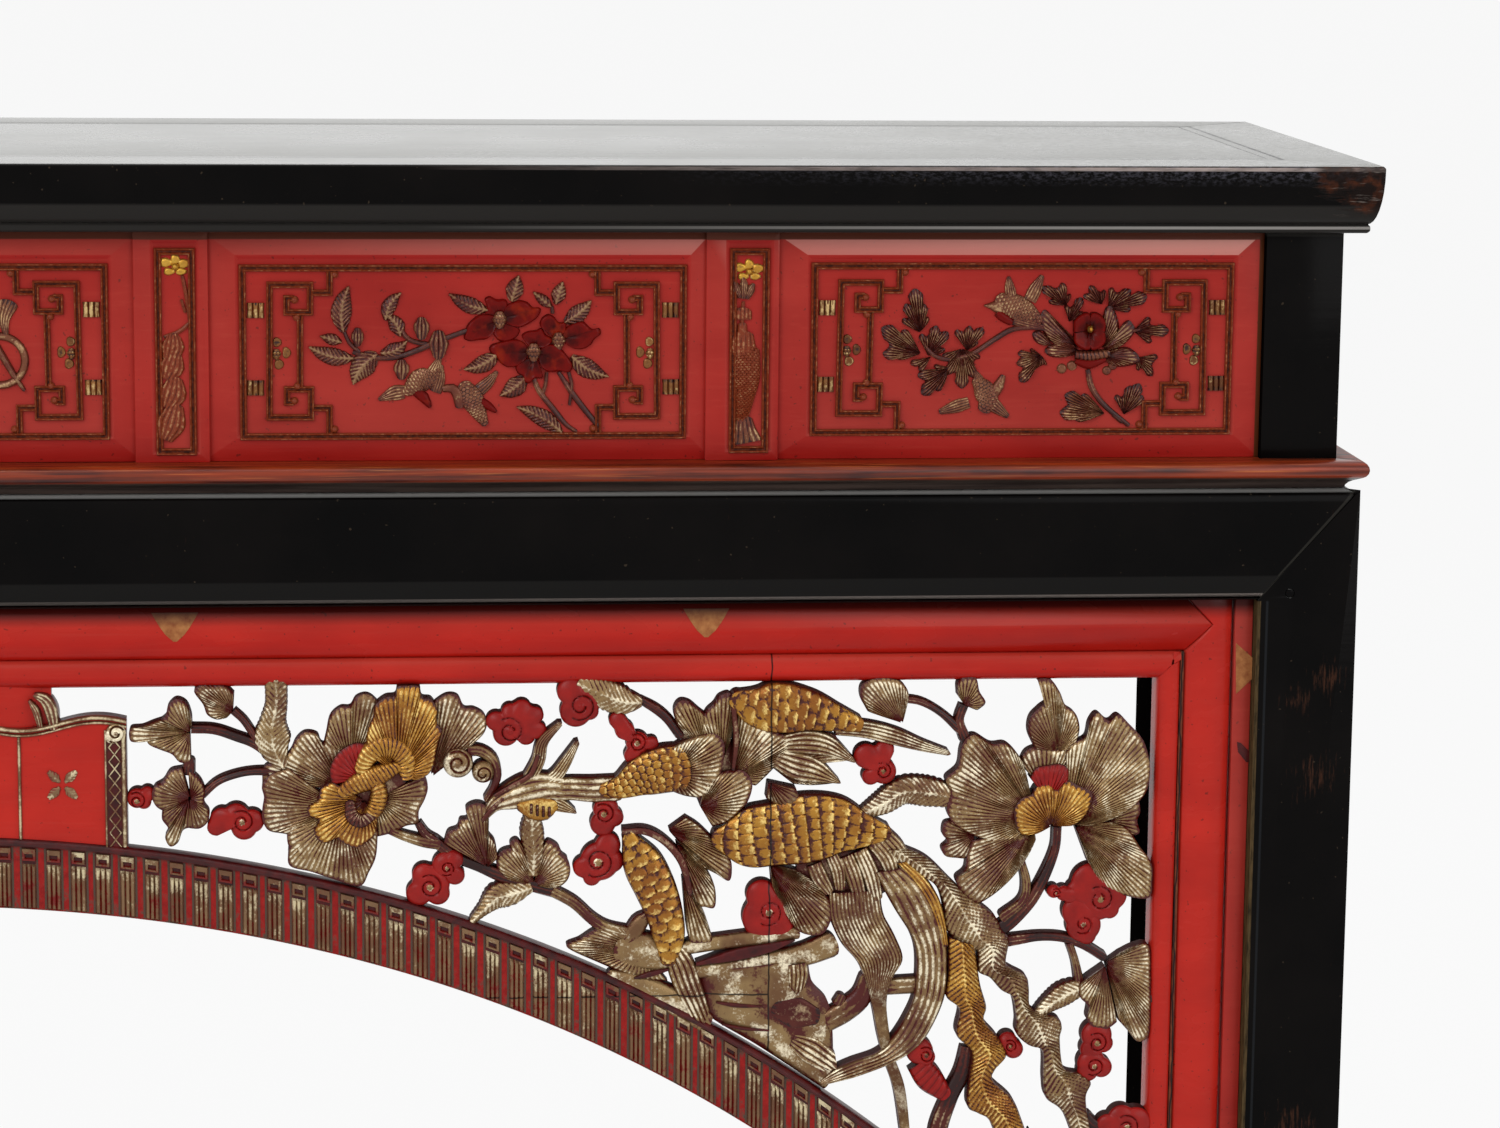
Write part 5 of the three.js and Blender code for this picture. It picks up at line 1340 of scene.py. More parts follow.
def make_banner():
    relief = Relief()
    columns = np.linspace(-BANNER_END, BANNER_END, 121)
    plate(relief, columns, lambda x: (arch(x) + BAND * 0.9, banner_top(x)), lambda x: BANNER_GROUND)
    for fold, (half, out) in enumerate(FOLDS):
        path = [(x, banner_top(x) - 0.0016 - 0.0034 * fold) for x in columns]
        run_along(relief, path, ridge_profile(half, out), BANNER_GROUND, 2)
    for sign in (-1, 1):
        lattice_border(relief, sign)
    banner_columns(relief)
    rolled = np.linspace(-BANNER_ROLL, BANNER_ROLL, 61)
    plate(relief, rolled, lambda x: (banner_top(x) - 0.004, OPENING_HEAD + 0.002),
          lambda x: BANNER_GROUND + 0.0022 - 0.0016 * math.cos(x * 90))
    for sign in (-1, 1):
        def at(px, py, sign=sign):
            x, z = on_boards(px, py)
            return sign * x, z

        where = dict(depth=BANNER_GROUND, back=CARVED_BACK, place=at)
        for rows in KNOTS:
            blade(relief, rows, slot=2, wall=1, ribs=3, rise=3.4, groove=0.9, foot="round", **where)
    relief.piece("banner_plate", [red_lacquer, dark_red, band_gilt], "red_lacquer", "carved_board_centre")
    for side in ("right", "left"):
        relief = Relief()
        scroll_cloud(relief, (116, 733), -1, [(116, 733, 10), (112, 736, 8)], 10, lift=0.6, rise=2.0)
        name, host = "banner_curl_" + side, "carved_board_centre"
        relief.piece(name, CARVING_FINISHES, "aged_gilt", host, mirror=side == "left")


# Red frame

FRAME_ARRIS = 0.0009
FRAME_DEEP = 0.024
KEYS = (0.1876, 0.5396)
# A knot and a lozenge of filler on the strip beside the stile, in the photograph's pixels
LOZENGE = [(1236, 694), (1254, 677), (1255, 660), (1236, 643)]
KNOT = [(1238, 752), (1246, 762), (1252, 763), (1250, 752), (1241, 743), (1237, 742)]


def bowed(share):
    """How far a frame bar's front falls back from its crown, at a share of its width."""
    return 0.0052 * (2 * share - 1) ** 2


def rail_reach(z):
    """How far along the rail's pointed end reaches at a height."""
    return STILE_IN + (RAIL_TIP - STILE_IN) * (1 - abs(z - RAIL_MIDDLE) / (RAIL_HEAD - RAIL_MIDDLE))


def make_rail():
    relief = Relief()
    heights = np.linspace(RAIL_FOOT, RAIL_HEAD, 21)
    shares = (-1, -0.9992, -0.5, 0, 0.5, 0.9992, 1)
    rows = []
    for i, z in enumerate(heights):
        for share in shares:
            arris = FRAME_ARRIS if abs(share) == 1 or i in (0, 20) else 0.0
            rows.append((share * rail_reach(z), FRAME_FRONT + bowed(i / 20) + arris, z))
    points = np.asarray(rows)
    relief.put(points, np.zeros(len(points)), grid_faces(21, 7), 0)
    wall_in(relief, points, 21, 7, FRAME_FRONT + FRAME_DEEP, 0)
    for x in KEYS:
        for sign in (-1, 1):
            key = []
            for share in np.linspace(0, 1, 5):
                z = RAIL_FOOT + 0.0130 + 0.0190 * share
                half = 0.0142 * share**0.75 + 0.0012
                y = FRAME_FRONT + bowed((z - RAIL_FOOT) / (RAIL_HEAD - RAIL_FOOT)) - 0.0004
                key += [(sign * x + half * a, y, z) for a in (-1, 0, 1)]
            relief.put(key, np.zeros(15), grid_faces(5, 3), 1)
            wall_in(relief, np.asarray(key), 5, 3, FRAME_FRONT + 0.006, 1)
    relief.piece("frame_rail", [red_lacquer, ochre], "red_lacquer", "frame_top_rail", smooth=60)


def make_stile(side):
    relief = Relief()
    heights = list(np.linspace(RIM_FOOT, RAIL_FOOT - 0.0004, 5)) + list(np.linspace(RAIL_FOOT, RAIL_HEAD, 9))
    rows = []
    for i, z in enumerate(heights):
        inner = rail_reach(z) + 0.0005 if z >= RAIL_FOOT else STILE_IN
        for j, share in enumerate(np.linspace(0, 1, 17)):
            x = inner + (STILE_OUT - inner) * share
            arris = FRAME_ARRIS if j in (0, 16) or i in (0, len(heights) - 1) else 0.0
            whole = (x - STILE_IN) / (STILE_OUT - STILE_IN)
            rows.append((x, FRAME_FRONT + bowed(whole) + arris, z))
    points = np.asarray(rows)
    relief.put(points, np.zeros(len(points)), grid_faces(len(heights), 17), 0)
    wall_in(relief, points, len(heights), 17, FRAME_FRONT + FRAME_DEEP, 0)
    name, node = "frame_upright_" + side, "frame_stile_" + side
    relief.piece(name, [red_lacquer], "red_lacquer", node, mirror=side == "left", smooth=60)


def patch(relief, corners, front, slot):
    """A flat patch of filler, its corners in the photograph's pixels."""
    places = [on_plane(x, y, front) for x, y in corners]
    count = len(places)
    rear = [(x, front + 0.001, z) for x, z in places]
    walls = [(i, i + count, (i + 1) % count + count, (i + 1) % count) for i in range(count)]
    walls.append(tuple(range(count)))
    relief.put([(x, front, z) for x, z in places] + rear, np.zeros(2 * count), walls, slot)


def make_filler(side):
    sign = 1 if side == "right" else -1
    front = FRAME_FRONT + 0.003
    low, high = sorted((sign * (STILE_OUT + 0.0016), sign * FILLER_OUT))
    node = "filler_strip_" + side
    strip = block("filler_board_" + side, (low, front, RIM_FOOT), (high, FRAME_FRONT + 0.021, RAIL_HEAD))
    ease(strip, 0.0006)
    settle(strip, "red_lacquer", node, materials=[waist_red])
    relief = Relief()
    patch(relief, LOZENGE, front - 0.0003, 0)
    patch(relief, KNOT, front - 0.0003, 1)
    relief.piece("filler_patches_" + side, [ochre, dark_red], "red_lacquer", node, mirror=side == "left")
    low, high = sorted((sign * (RIM_OUT + 0.0001), sign * (STILE_IN - 0.0001)))
    front, back = FRAME_FRONT + 0.0036, FRAME_FRONT + 0.02
    seam = block("joint_putty_" + side, (low, front, RIM_FOOT), (high, back, RIM_HEAD))
    settle(seam, "red_lacquer", "carved_board_" + side, materials=[putty])


# The waist: raised panels with beads, frets and carved flowers, and the narrow dividers between them

MARGIN_FRONT = WAIST_FRONT + 0.0014
MARGIN_EDGE = WAIST_FRONT + 0.0062
PANEL_GROUND = WAIST_FRONT + 0.0026
DIVIDER_GROUND = WAIST_FRONT + 0.0012
PANEL_BEAD_PIXELS = (241, 261, 688, 437)
DIVIDER_BEAD_PIXELS = (729, 247, 771, 452)
BEAD_HALF = 0.0024
BEAD_OUT = 0.0030
FRET_HALF = 0.0022
# How far each panel's and divider's beads lie outward of and below the waist's even division
PANEL_SHIFT = {3: 0.0, 4: 0.0035, 5: 0.0}
PANEL_DROP = {3: 0.0014, 4: 0.0021, 5: 0.0007}
DIVIDER_SHIFT = {3: 0.0027, 4: 0.0045}
DIVIDER_DROP = 0.0014
STACK_PIXELS = (152, 248, 197, 457)
WAIST_MIDDLE_PIXEL = (464.5, 349)
# The frames that the sprays are drawn in: the middle panel, of which the photograph shows the right end, the
# next one, and the last, which is a little shorter
MIDDLE_PANEL, LAST_PANEL = 3, 5
SPRAY_PIXELS = {3: (-341, 263, 106, 442), 4: PANEL_BEAD_PIXELS, 5: (809, 266, 1234, 435)}


class Field:
    """A sunk field of the waist: turns the photograph's pixels into places, with the middle of the
    pixels' frame moved to x, z."""

    def __init__(self, pixels, x, z, ground):
        left, top, right, bottom = pixels
        middle = on_plane((left + right) / 2, (top + bottom) / 2, ground)
        self.x, self.z, self.ground = x, z, ground
        self.shift = x - middle[0], z - middle[1]
        a, b = on_plane(left, bottom, ground), on_plane(right, top, ground)
        self.half_width, self.half_height = abs(b[0] - a[0]) / 2, abs(b[1] - a[1]) / 2

    def __call__(self, px, py):
        spot = on_plane(px, py, self.ground)
        return spot[0] + self.shift[0], spot[1] + self.shift[1]


# Fret of a panel's left end, as lines through pixels of the photograph's second panel
FRET_LINES = [
    [(294, 295), (287, 295), (287, 309), (310.5, 309), (310.5, 281.5), (270, 281.5), (270, 414),
     (311.5, 414), (311.5, 386), (287.5, 386), (287.5, 399), (294, 399)],
    [(300.5, 312), (300.5, 384)], [(313, 289.5), (330, 289.5), (330, 268)],
    [(314, 404.7), (330, 404.7), (330, 430)],
]
FRET_CURLS = [(295, 296.5), (295, 397.5), (297, 314), (298, 383), (335, 271), (335, 426)]
FRET_TIES = [(256, 307), (256, 384.5)]
FRET_FLORET = [(277.5, 339, 4.8, 5.3), (287, 349.5, 4.6, 6.2), (279.5, 361, 5.1, 5.7)]
FRET_HEART = (277, 350.5, 4.8)


def leaf_rows(base, tip, half, bend=0.0):
    """Stations of a leaf from its foot to its tip, bowed sideways by a share of its length."""
    (x0, y0), (x1, y1) = base, tip
    dx, dy = x1 - x0, y1 - y0
    rows = []
    for t, w in ((0.0, 0.25), (0.18, 0.72), (0.42, 1.0), (0.7, 0.78), (0.88, 0.42), (1.0, 0.12)):
        bow = bend * math.sin(math.pi * t)
        rows.append((x0 + dx * t - dy * bow, y0 + dy * t + dx * bow, max(0.8, half * w)))
    return rows


def disc(relief, x, y, wide, high, place, slot=0, rise=2.5, dish=0.4, lobes=3, lobe=0.12, turn=0.0,
         rings=7, spokes=24):
    """A low carved petal or boss: round, lobed at its edge, and dished by a share of its rise."""
    cx, cz = place(x, y)
    r = np.linspace(0, 1, rings)[:, None]
    angle = np.linspace(0, 2 * math.pi, spokes, endpoint=False)[None, :]
    reach = 1 + lobe * (np.abs(np.cos((angle - turn) * lobes / 2)) - 0.5) * 2 * r**2
    px = cx + wide * PIXEL * r * reach * np.cos(angle)
    pz = cz + high * PIXEL * r * reach * np.sin(angle)
    bulge = (1 - r**3) - dish * (1 - r**2) ** 2
    height = rise * bulge * np.ones_like(angle)
    height[-1:] = -0.8
    tone = (0.5 + 0.5 * r**2) * np.ones_like(angle)
    tone[-1:] = 0.05
    points = np.stack([px, place.ground - height * MM, pz], -1).reshape(-1, 3)
    faces = []
    for i in range(rings - 1):
        for j in range(spokes):
            k = (j + 1) % spokes
            a, b, c, d = i * spokes + j, i * spokes + k, (i + 1) * spokes + k, (i + 1) * spokes + j
            faces.append((a, d, c, b) if i else (0, d, c))
    faces.append(tuple((rings - 1) * spokes + j for j in range(spokes)))
    relief.put(points, tone.reshape(-1), faces, slot)


WAIST_LEAF = dict(kind="leaf", rise=2.8, groove=1.1, cell=3.0, lobe=0.06, vein=1.6, tip="point")
WAIST_STEM = dict(kind="stem", rise=2.3, groove=0.7, tip="round")
WAIST_FEATHER = dict(kind="ribs", ribs=5, rise=2.0, groove=0.9, tip="round")

# Second panel's spray. Leaves: foot, tip, half width, bow
B_LEAVES = [
    ((344, 332), (349, 287), 11, -0.10), ((342, 342), (321, 336), 6.5, 0.0),
    ((354, 358), (310, 347), 9.5, -0.08), ((378, 354), (354, 383), 13, 0.10),
    ((381, 353), (407, 341), 8.5, 0.12), ((488, 310), (450, 294), 9, -0.06),
    ((512, 301), (519, 276), 9.5, 0.0), ((552, 307), (534, 292), 6, 0.0), ((556, 304), (563, 282), 8, 0.0),
    ((565, 322), (591, 301), 9.5, 0.06), ((498, 353), (465, 369), 9.5, -0.10),
    ((572, 356), (608, 376), 10.5, 0.08), ((526, 376), (501, 395), 10.5, -0.08),
    ((562, 432), (518, 407), 9.5, 0.06), ((401, 336), (388, 315), 8.5, 0.1),
    ((386, 320), (401, 293), 8, -0.12),
]
B_BUDS = [(358, 336, 7, 8.5), (422, 327, 9, 10), (402, 368, 9, 8.5), (439, 343, 11, 13)]
B_STEMS = [
    [(353, 352, 2.4), (372, 357, 3.4), (396, 357, 3.4), (418, 350, 3.4), (434, 343, 3.6), (452, 336, 3),
     (466, 331, 3)],
    [(400, 325, 2.4), (405, 335, 2.8), (413, 341, 2.8), (427, 344, 2.8)],
    [(344, 330, 2), (350, 343, 2.4), (359, 351, 2.6)], [(552, 306, 2), (553, 312, 2.4)],
    [(533, 374, 2.4), (539, 390, 3), (553, 408, 3.4), (566, 424, 2.8), (576, 431, 2.2)],
    [(559, 372, 2.4), (572, 392, 3.4), (584, 408, 3.4), (597, 424, 3)],
    [(547, 372, 2), (546, 384, 2.2), (543, 394, 2.2)], [(569, 372, 2), (572, 385, 2.2), (570, 404, 1.8)],
]
# Birds: kind, then stations
B_BIRDS = [
    ("ribs", [(405, 392, 7), (395, 393, 8), (380, 399, 2)]),
    ("ribs", [(436, 392, 6), (440, 380, 6), (442, 366, 2)]),
    ("scales", [(409, 390, 6), (420, 381, 12), (431, 377, 10), (438, 371, 5)]),
    ("ribs", [(428, 384, 6), (434, 372, 7), (440, 358, 2.5)]),
    ("red", [(416, 391, 5), (424, 397, 6), (430, 406, 2.5)]),
    ("smooth", [(443, 389, 3.5), (452, 388, 5), (458, 394, 6), (460, 405, 5)]),
    ("scales", [(466, 388, 8), (472, 398, 12), (478, 410, 9), (485, 423, 4)]),
    ("ribs", [(480, 390, 7), (489, 382, 6), (497, 372, 2)]),
    ("red", [(481, 400, 4), (489, 406, 4.5), (496, 411, 2)]),
]
# Blossoms: rows of petals as foot and rim, the hinder ones first
B_PETALS = [
    ((500, 321), [(496, 326), (494, 334), (500, 341), (510, 341), (518, 336), (520, 329), (510, 325)]),
    ((500, 316), [(485, 313), (487, 306), (485, 299), (490, 296), (497, 299), (505, 299), (508, 303),
     (504, 311)]),
    ((503, 318), [(504, 311), (507, 305), (513, 302), (520, 300), (528, 302), (533, 307), (541, 308),
     (539, 316), (532, 322), (522, 327), (513, 326), (507, 322)]),
    ((497, 321), [(496, 316), (488, 314), (479, 315), (472, 320), (467, 326), (466, 332), (464, 338),
     (470, 341), (479, 340), (487, 339), (493, 334), (498, 327)]),
    ((556, 338), [(551, 337), (545, 330), (540, 325), (542, 318), (548, 314), (554, 316), (559, 322),
     (566, 322), (566, 330), (560, 336)]),
    ((562, 339), [(563, 335), (566, 328), (574, 323), (583, 321), (589, 326), (593, 329), (600, 328),
     (601, 334), (595, 339), (591, 345), (583, 349), (573, 348), (565, 343)]),
    ((535, 348), [(530, 347), (525, 341), (522, 335), (528, 331), (536, 330), (542, 328), (546, 334),
     (553, 339), (549, 345), (540, 348)]),
    ((530, 352), [(528, 348), (524, 342), (516, 339), (507, 340), (499, 342), (491, 345), (490, 351),
     (496, 356), (501, 363), (508, 367), (517, 366), (524, 361), (529, 355)]),
    ((538, 353), [(540, 349), (546, 345), (554, 344), (561, 348), (568, 356), (573, 365), (570, 372),
     (561, 371), (550, 372), (543, 368), (538, 358)]),
    ((534, 355), [(530, 358), (523, 361), (516, 366), (518, 373), (523, 376), (525, 382), (530, 383),
     (536, 378), (543, 378), (542, 371), (540, 364), (537, 358)]),
]
B_HEARTS = [(500, 319, 7.5), (559, 340, 7.5), (534, 351.5, 8)]


BIRD_STYLES = {
    "scales": dict(kind="scales", cell=3.0, rise=2.8, groove=0.5, slot=1, foot="round"),
    "ribs": dict(WAIST_FEATHER, slot=1),
    "smooth": dict(kind="smooth", rise=2.8, slot=1),
    "red": dict(kind="smooth", rise=3.0, slot=2),
}


def lobed(foot, tips):
    """The rim of a lobed leaf: out to every tip, and back toward its foot in between."""
    foot = np.asarray(foot, float)
    tips = [np.asarray(tip, float) for tip in tips]
    rim = [foot + (tips[0] - foot) * 0.28]
    for i, tip in enumerate(tips):
        ahead = (tip - foot) / max(np.hypot(*(tip - foot)), 1)
        aside = np.array((-ahead[1], ahead[0]))
        before = tips[i - 1] if i else tips[0] - (tips[1] - tips[0]) * 0.6
        if np.dot(before - tip, aside) < 0:
            aside = -aside
        swell = 0.17 * np.hypot(*(tip - foot))
        rim += [foot + (tip - foot) * 0.84 + aside * swell, tip, foot + (tip - foot) * 0.84 - aside * swell]
        if i + 1 < len(tips):
            rim.append(foot + ((tip + tips[i + 1]) / 2 - foot) * 0.84)
    rim.append(foot + (tips[-1] - foot) * 0.28)
    return [tuple(point) for point in rim]


def waist_leaf(relief, foot, tips, place, slot):
    """A lobed leaf on a field of the waist, from its foot to the tips of its lobes in turn."""
    style = dict(rise=2.8, groove=1.1, lift=0.3, rib=2.6, vein=1.8, wall=0, step=2.0)
    where = dict(place=place, depth=place.ground, back=place.ground + WAIST_SINK)
    fan(relief, foot, lobed(foot, tips), slot=slot, **style, **where)


def waist_blade(relief, rows, place, **style):
    """A leaf, stem or feather on a field of the waist."""
    style = {"lift": 0.2, "wall": 0, **style}
    blade(relief, rows, depth=place.ground, back=place.ground + WAIST_SINK, place=place, **style)


def bead_disc(relief, x, y, size, place, cell=2.2, rise=4.2):
    """A blossom's beaded middle."""
    rows = [(x, y + size * 0.7, size * 0.6), (x, y, size), (x, y - size * 0.7, size * 0.6)]
    style = dict(kind="scales", pitch=0.95, groove=0.4, slot=1, foot="round")
    waist_blade(relief, rows, place, cell=cell, rise=rise, **style)


def spray_b(relief, place):
    for rows in B_STEMS:
        waist_blade(relief, rows, place, **WAIST_STEM)
    for base, tip, half, bend in B_LEAVES:
        waist_blade(relief, leaf_rows(base, tip, half, bend), place, **WAIST_LEAF)
    for x, y, wide, high in B_BUDS:
        rows = [(x, y + high * 0.75, wide * 0.6), (x, y, wide), (x, y - high * 0.75, wide * 0.5)]
        waist_blade(relief, rows, place, kind="ribs", ribs=4, rise=4.6, groove=1.2, foot="round")
    for kind, rows in B_BIRDS:
        waist_blade(relief, rows, place, **BIRD_STYLES[kind])
    for number, (foot, rim) in enumerate(B_PETALS):
        petal(relief, foot, rim, place, rise=2.0 + 0.12 * number)
    for x, y, size in B_HEARTS:
        bead_disc(relief, x, y, size, place)


# Third panel's spray, at the table's end
# Leaves: slot, foot, tips of its lobes in turn
A_LEAVES = [
    (0, (919, 335), [(902, 321), (905, 306), (914, 291), (923, 306), (927, 319)]),
    (0, (920, 356), [(896, 359), (882, 356), (881, 330), (901, 333)]),
    (0, (927, 358), [(921, 336), (936, 328), (947, 334), (944, 351)]),
    (0, (930, 359), [(910, 367), (918, 373)]),
    (0, (949, 370), [(933, 369), (917, 379), (921, 397), (935, 393)]),
    (0, (966, 353), [(956, 332), (969, 328), (982, 330), (977, 344)]),
    (0, (961, 351), [(942, 360), (947, 377), (961, 391), (973, 380), (979, 361)]),
    (0, (1065, 308), [(1048, 303), (1042, 289), (1061, 285), (1069, 296)]),
    (1, (1101, 307), [(1083, 297), (1089, 288), (1103, 292)]),
    (0, (1107, 311), [(1112, 290), (1130, 292), (1146, 298), (1130, 311)]),
    (0, (1068, 324), [(1066, 307), (1081, 300), (1082, 314)]),
    (0, (1132, 333), [(1150, 321), (1168, 333), (1151, 344)]),
    (0, (1135, 360), [(1157, 360), (1152, 378), (1138, 373)]),
    (1, (1041, 358), [(1045, 368), (1019, 384), (1016, 367), (1017, 356), (1029, 352)]),
    (1, (1104, 416), [(1080, 398), (1064, 397), (1059, 415), (1074, 420)]),
    (0, (1123, 417), [(1116, 397), (1130, 388), (1139, 386), (1142, 398)]),
]
A_STEMS = [
    [(1087, 372, 3), (1091, 390, 3.4), (1104, 408, 3.2), (1127, 427, 2.6)],
    [(1112, 417, 2.2), (1120, 424, 2.2)],
    [(1043, 331, 2.6), (1028, 330, 2.8), (1011, 332, 3.2), (995, 341, 3.2), (972, 356, 3), (958, 360, 2.6)],
    [(920, 340, 2.2), (928, 353, 2.6), (938, 360, 2.8), (950, 362, 2.8)],
    [(1128, 334, 2), (1138, 332, 2.4)],
]
# Petals round the flower: slot, foot, rim
A_PETALS = [
    (0, (1052, 348), [(1046, 347), (1039, 347), (1033, 342), (1032, 335), (1039, 333), (1046, 339)]),
    (0, (1077, 351), [(1071, 351), (1056, 348), (1046, 340), (1041, 331), (1039, 321), (1044, 312),
     (1054, 321), (1063, 330), (1072, 339), (1077, 345)]),
    (0, (1101, 350), [(1101, 344), (1100, 334), (1102, 320), (1105, 310), (1111, 309), (1116, 319),
     (1118, 330), (1114, 340), (1106, 349)]),
    (0, (1102, 352), [(1106, 347), (1112, 340), (1118, 333), (1123, 325), (1129, 323), (1134, 332),
     (1129, 341), (1121, 348), (1110, 352)]),
    (1, (1078, 353), [(1073, 347), (1063, 344), (1053, 346), (1044, 352), (1048, 358), (1059, 360),
     (1072, 358)]),
    (0, (1103, 358), [(1107, 353), (1118, 350), (1128, 350), (1137, 357), (1138, 364), (1128, 368),
     (1115, 369), (1106, 365)]),
]
A_BALL = [
    [(1072, 334), (1073, 322), (1082, 315), (1088, 316), (1088, 331)],
    [(1089, 331), (1089, 316), (1097, 315), (1104, 323), (1104, 334)],
    [(1104, 334), (1104, 344), (1097, 351), (1089, 351), (1089, 335)],
    [(1088, 335), (1088, 351), (1080, 351), (1073, 345), (1072, 335)],
]
A_BALL_FOOT = (1088.5, 333)
A_HEART = (1089, 331, 3.4, 4.6)
A_THROAT = [(1074, 363, 3), (1088, 366, 6), (1103, 362, 3)]
A_LIP = [(1074, 357, 4.5), (1088, 358, 6), (1106, 356, 4.5)]
A_FLORETS = [(1061, 371, 5.5), (1071, 368, 5.5), (1106, 373, 5), (1112, 368, 5)]
A_BIRDS = [
    ("ribs", [(1013, 322, 6), (1028, 326, 6), (1043, 330, 3)]),
    ("scales", [(1002, 304, 9), (1014, 309, 13), (1026, 315, 11), (1037, 323, 6)]),
    ("ribs", [(1011, 301, 6), (1009, 290, 5.5), (1008, 280, 2)]),
    ("ribs", [(1029, 303, 7), (1035, 291, 7), (1041, 279, 2.5)]),
    ("smooth", [(1004, 309, 7), (996, 309, 7), (988, 308, 2.6), (984, 308, 1)]),
    ("red", [(996, 315, 4), (1001, 319, 5), (1009, 324, 4)]),
    ("ribs", [(968, 405, 6), (955, 409, 7), (940, 414, 3)]),
    ("ribs", [(982, 390, 5), (978, 381, 5), (973, 373, 2)]),
    ("scales", [(977, 384, 6), (983, 392, 11), (987, 402, 11), (984, 411, 7)]),
    ("ribs", [(988, 403, 8), (996, 410, 7), (1006, 418, 3)]),
    ("smooth", [(993, 396, 6), (998, 388, 6), (1002, 379, 3)]),
]


def spray_a(relief, place):
    for rows in A_STEMS:
        waist_blade(relief, rows, place, **WAIST_STEM)
    for slot, foot, tips in A_LEAVES:
        waist_leaf(relief, foot, tips, place, slot)
    for x, y, size in A_FLORETS:
        disc(relief, x, y, size, size, place, slot=1, rise=2.6, dish=0.4, lobe=0.0, spokes=16)
    petals = dict(wall=0, groove=0.8, rib=3.2, lift=0.4, step=2.0, place=place, depth=place.ground)
    for number, (slot, foot, rim) in enumerate(A_PETALS):
        rise = 2.6 + 0.2 * number
        fan(relief, foot, rim, slot=slot, rise=rise, back=place.ground + WAIST_SINK, **petals)
    waist_blade(relief, A_THROAT, place, kind="smooth", rise=4.2, slot=2)
    waist_blade(relief, A_LIP, place, kind="gadroon", cell=2.6, rise=4.4, groove=0.9, lift=0.8, slot=1)
    for rim in A_BALL:
        petal(relief, A_BALL_FOOT, rim, place, rise=4.6, lift=0.8)
    disc(relief, *A_HEART, place, slot=3, rise=7.0, dish=0.0, lobe=0.0, spokes=12, rings=5)
    for kind, rows in A_BIRDS:
        waist_blade(relief, rows, place, **BIRD_STYLES[kind])


# Middle panel's ring and ribbon, seen at the photograph's left edge; the rest is made to match
C_RING = ((2, 363), 24, 8)
C_TAILS = ([(8, 337, 3), (6, 322, 6), (10, 308, 10)], [(-14, 384, 3), (-26, 392, 6), (-40, 392, 8)])
C_RIBBON = [(-12, 331, 3), (0, 351, 4), (15, 376, 3.5), (26, 392, 2)]


def spray_c(relief, place):
    """Half of the middle panel's spray, right of its middle."""
    (cx, cy), reach, wide = C_RING
    x, z = place(cx, cy)
    turns = np.linspace(0, 2 * math.pi, 41)[:-1]
    path = [(x + reach * PIXEL * math.cos(a), z + reach * PIXEL * math.sin(a)) for a in turns]
    run_along(relief, path, ridge_profile(wide * PIXEL / 2, 0.003), place.ground, slot=1, closed=True)
    for rows in C_TAILS:
        waist_blade(relief, rows, place, kind="ribs", ribs=5, rise=2.8, groove=0.8, slot=1)
    waist_blade(relief, C_RIBBON, place, kind="smooth", rise=3.6)
    for base, tip, half, bend in C_LEAVES:
        waist_blade(relief, leaf_rows(base, tip, half, bend), place, **WAIST_LEAF)
    for x, y, turn in C_PETALS:
        disc(relief, x, y, 14, 14, place, slot=2, rise=2.6, dish=0.5, turn=turn, lobes=5, lobe=0.08)


C_LEAVES = [
    ((-30, 360), (-62, 330), 10, 0.1), ((-30, 366), (-66, 392), 10, -0.1), ((-22, 350), (-36, 316), 8, 0.0),
]
C_PETALS = [(-80, 340, 1.0), (-73, 355, 0.0), (-80, 371, -1.0)]


# Dividers. The vase of flowers, and the stack of curled leaves
VASE_PARTS = [
    ("ribs", 1, [(741, 296, 3), (738, 288, 5), (736, 281, 2)]),
    ("ribs", 1, [(744, 297, 3), (745, 286, 5), (744, 277, 2)]),
    ("ribs", 1, [(747, 297, 3), (751, 289, 5), (754, 283, 2)]),
    ("stem", 0, [(744, 300, 2), (743, 318, 2.4), (743, 330, 2)]),
    ("ribs", 0, [(743, 318, 10), (743, 312, 10)]), ("smooth", 0, [(743, 336, 6), (743, 324, 5)]),
    ("ribs", 0, [(744, 355, 11), (744, 345, 13), (744, 336, 11)]),
    ("scales", 0, [(742, 420, 6), (745, 398, 10), (747, 376, 14), (747, 352, 14)]),
    ("ribs", 1, [(748, 441, 16), (746, 430, 12), (745, 420, 9)]),
]
VASE_FLOWER = (750, 270)
STACK_PARTS = [
    ("stem", 0, [(181, 276, 2), (186, 300, 2.4), (189, 323, 2.2)]),
    ("stem", 0, [(189, 323, 2.2), (178, 332, 2.4), (164, 337, 2)]),
    ("stem", 0, [(180, 300, 1.8), (184, 312, 1.8)]),
    ("ribs", 0, [(168, 360, 7), (172, 347, 12), (172, 337, 6)]),
    ("ribs", 0, [(166, 380, 7), (171, 367, 13), (174, 356, 7)]),
    ("ribs", 0, [(166, 408, 8), (172, 394, 14), (174, 382, 8)]),
    ("ribs", 0, [(164, 440, 8), (170, 424, 15), (174, 409, 9)]),
]
STACK_FLOWER = (174, 267)


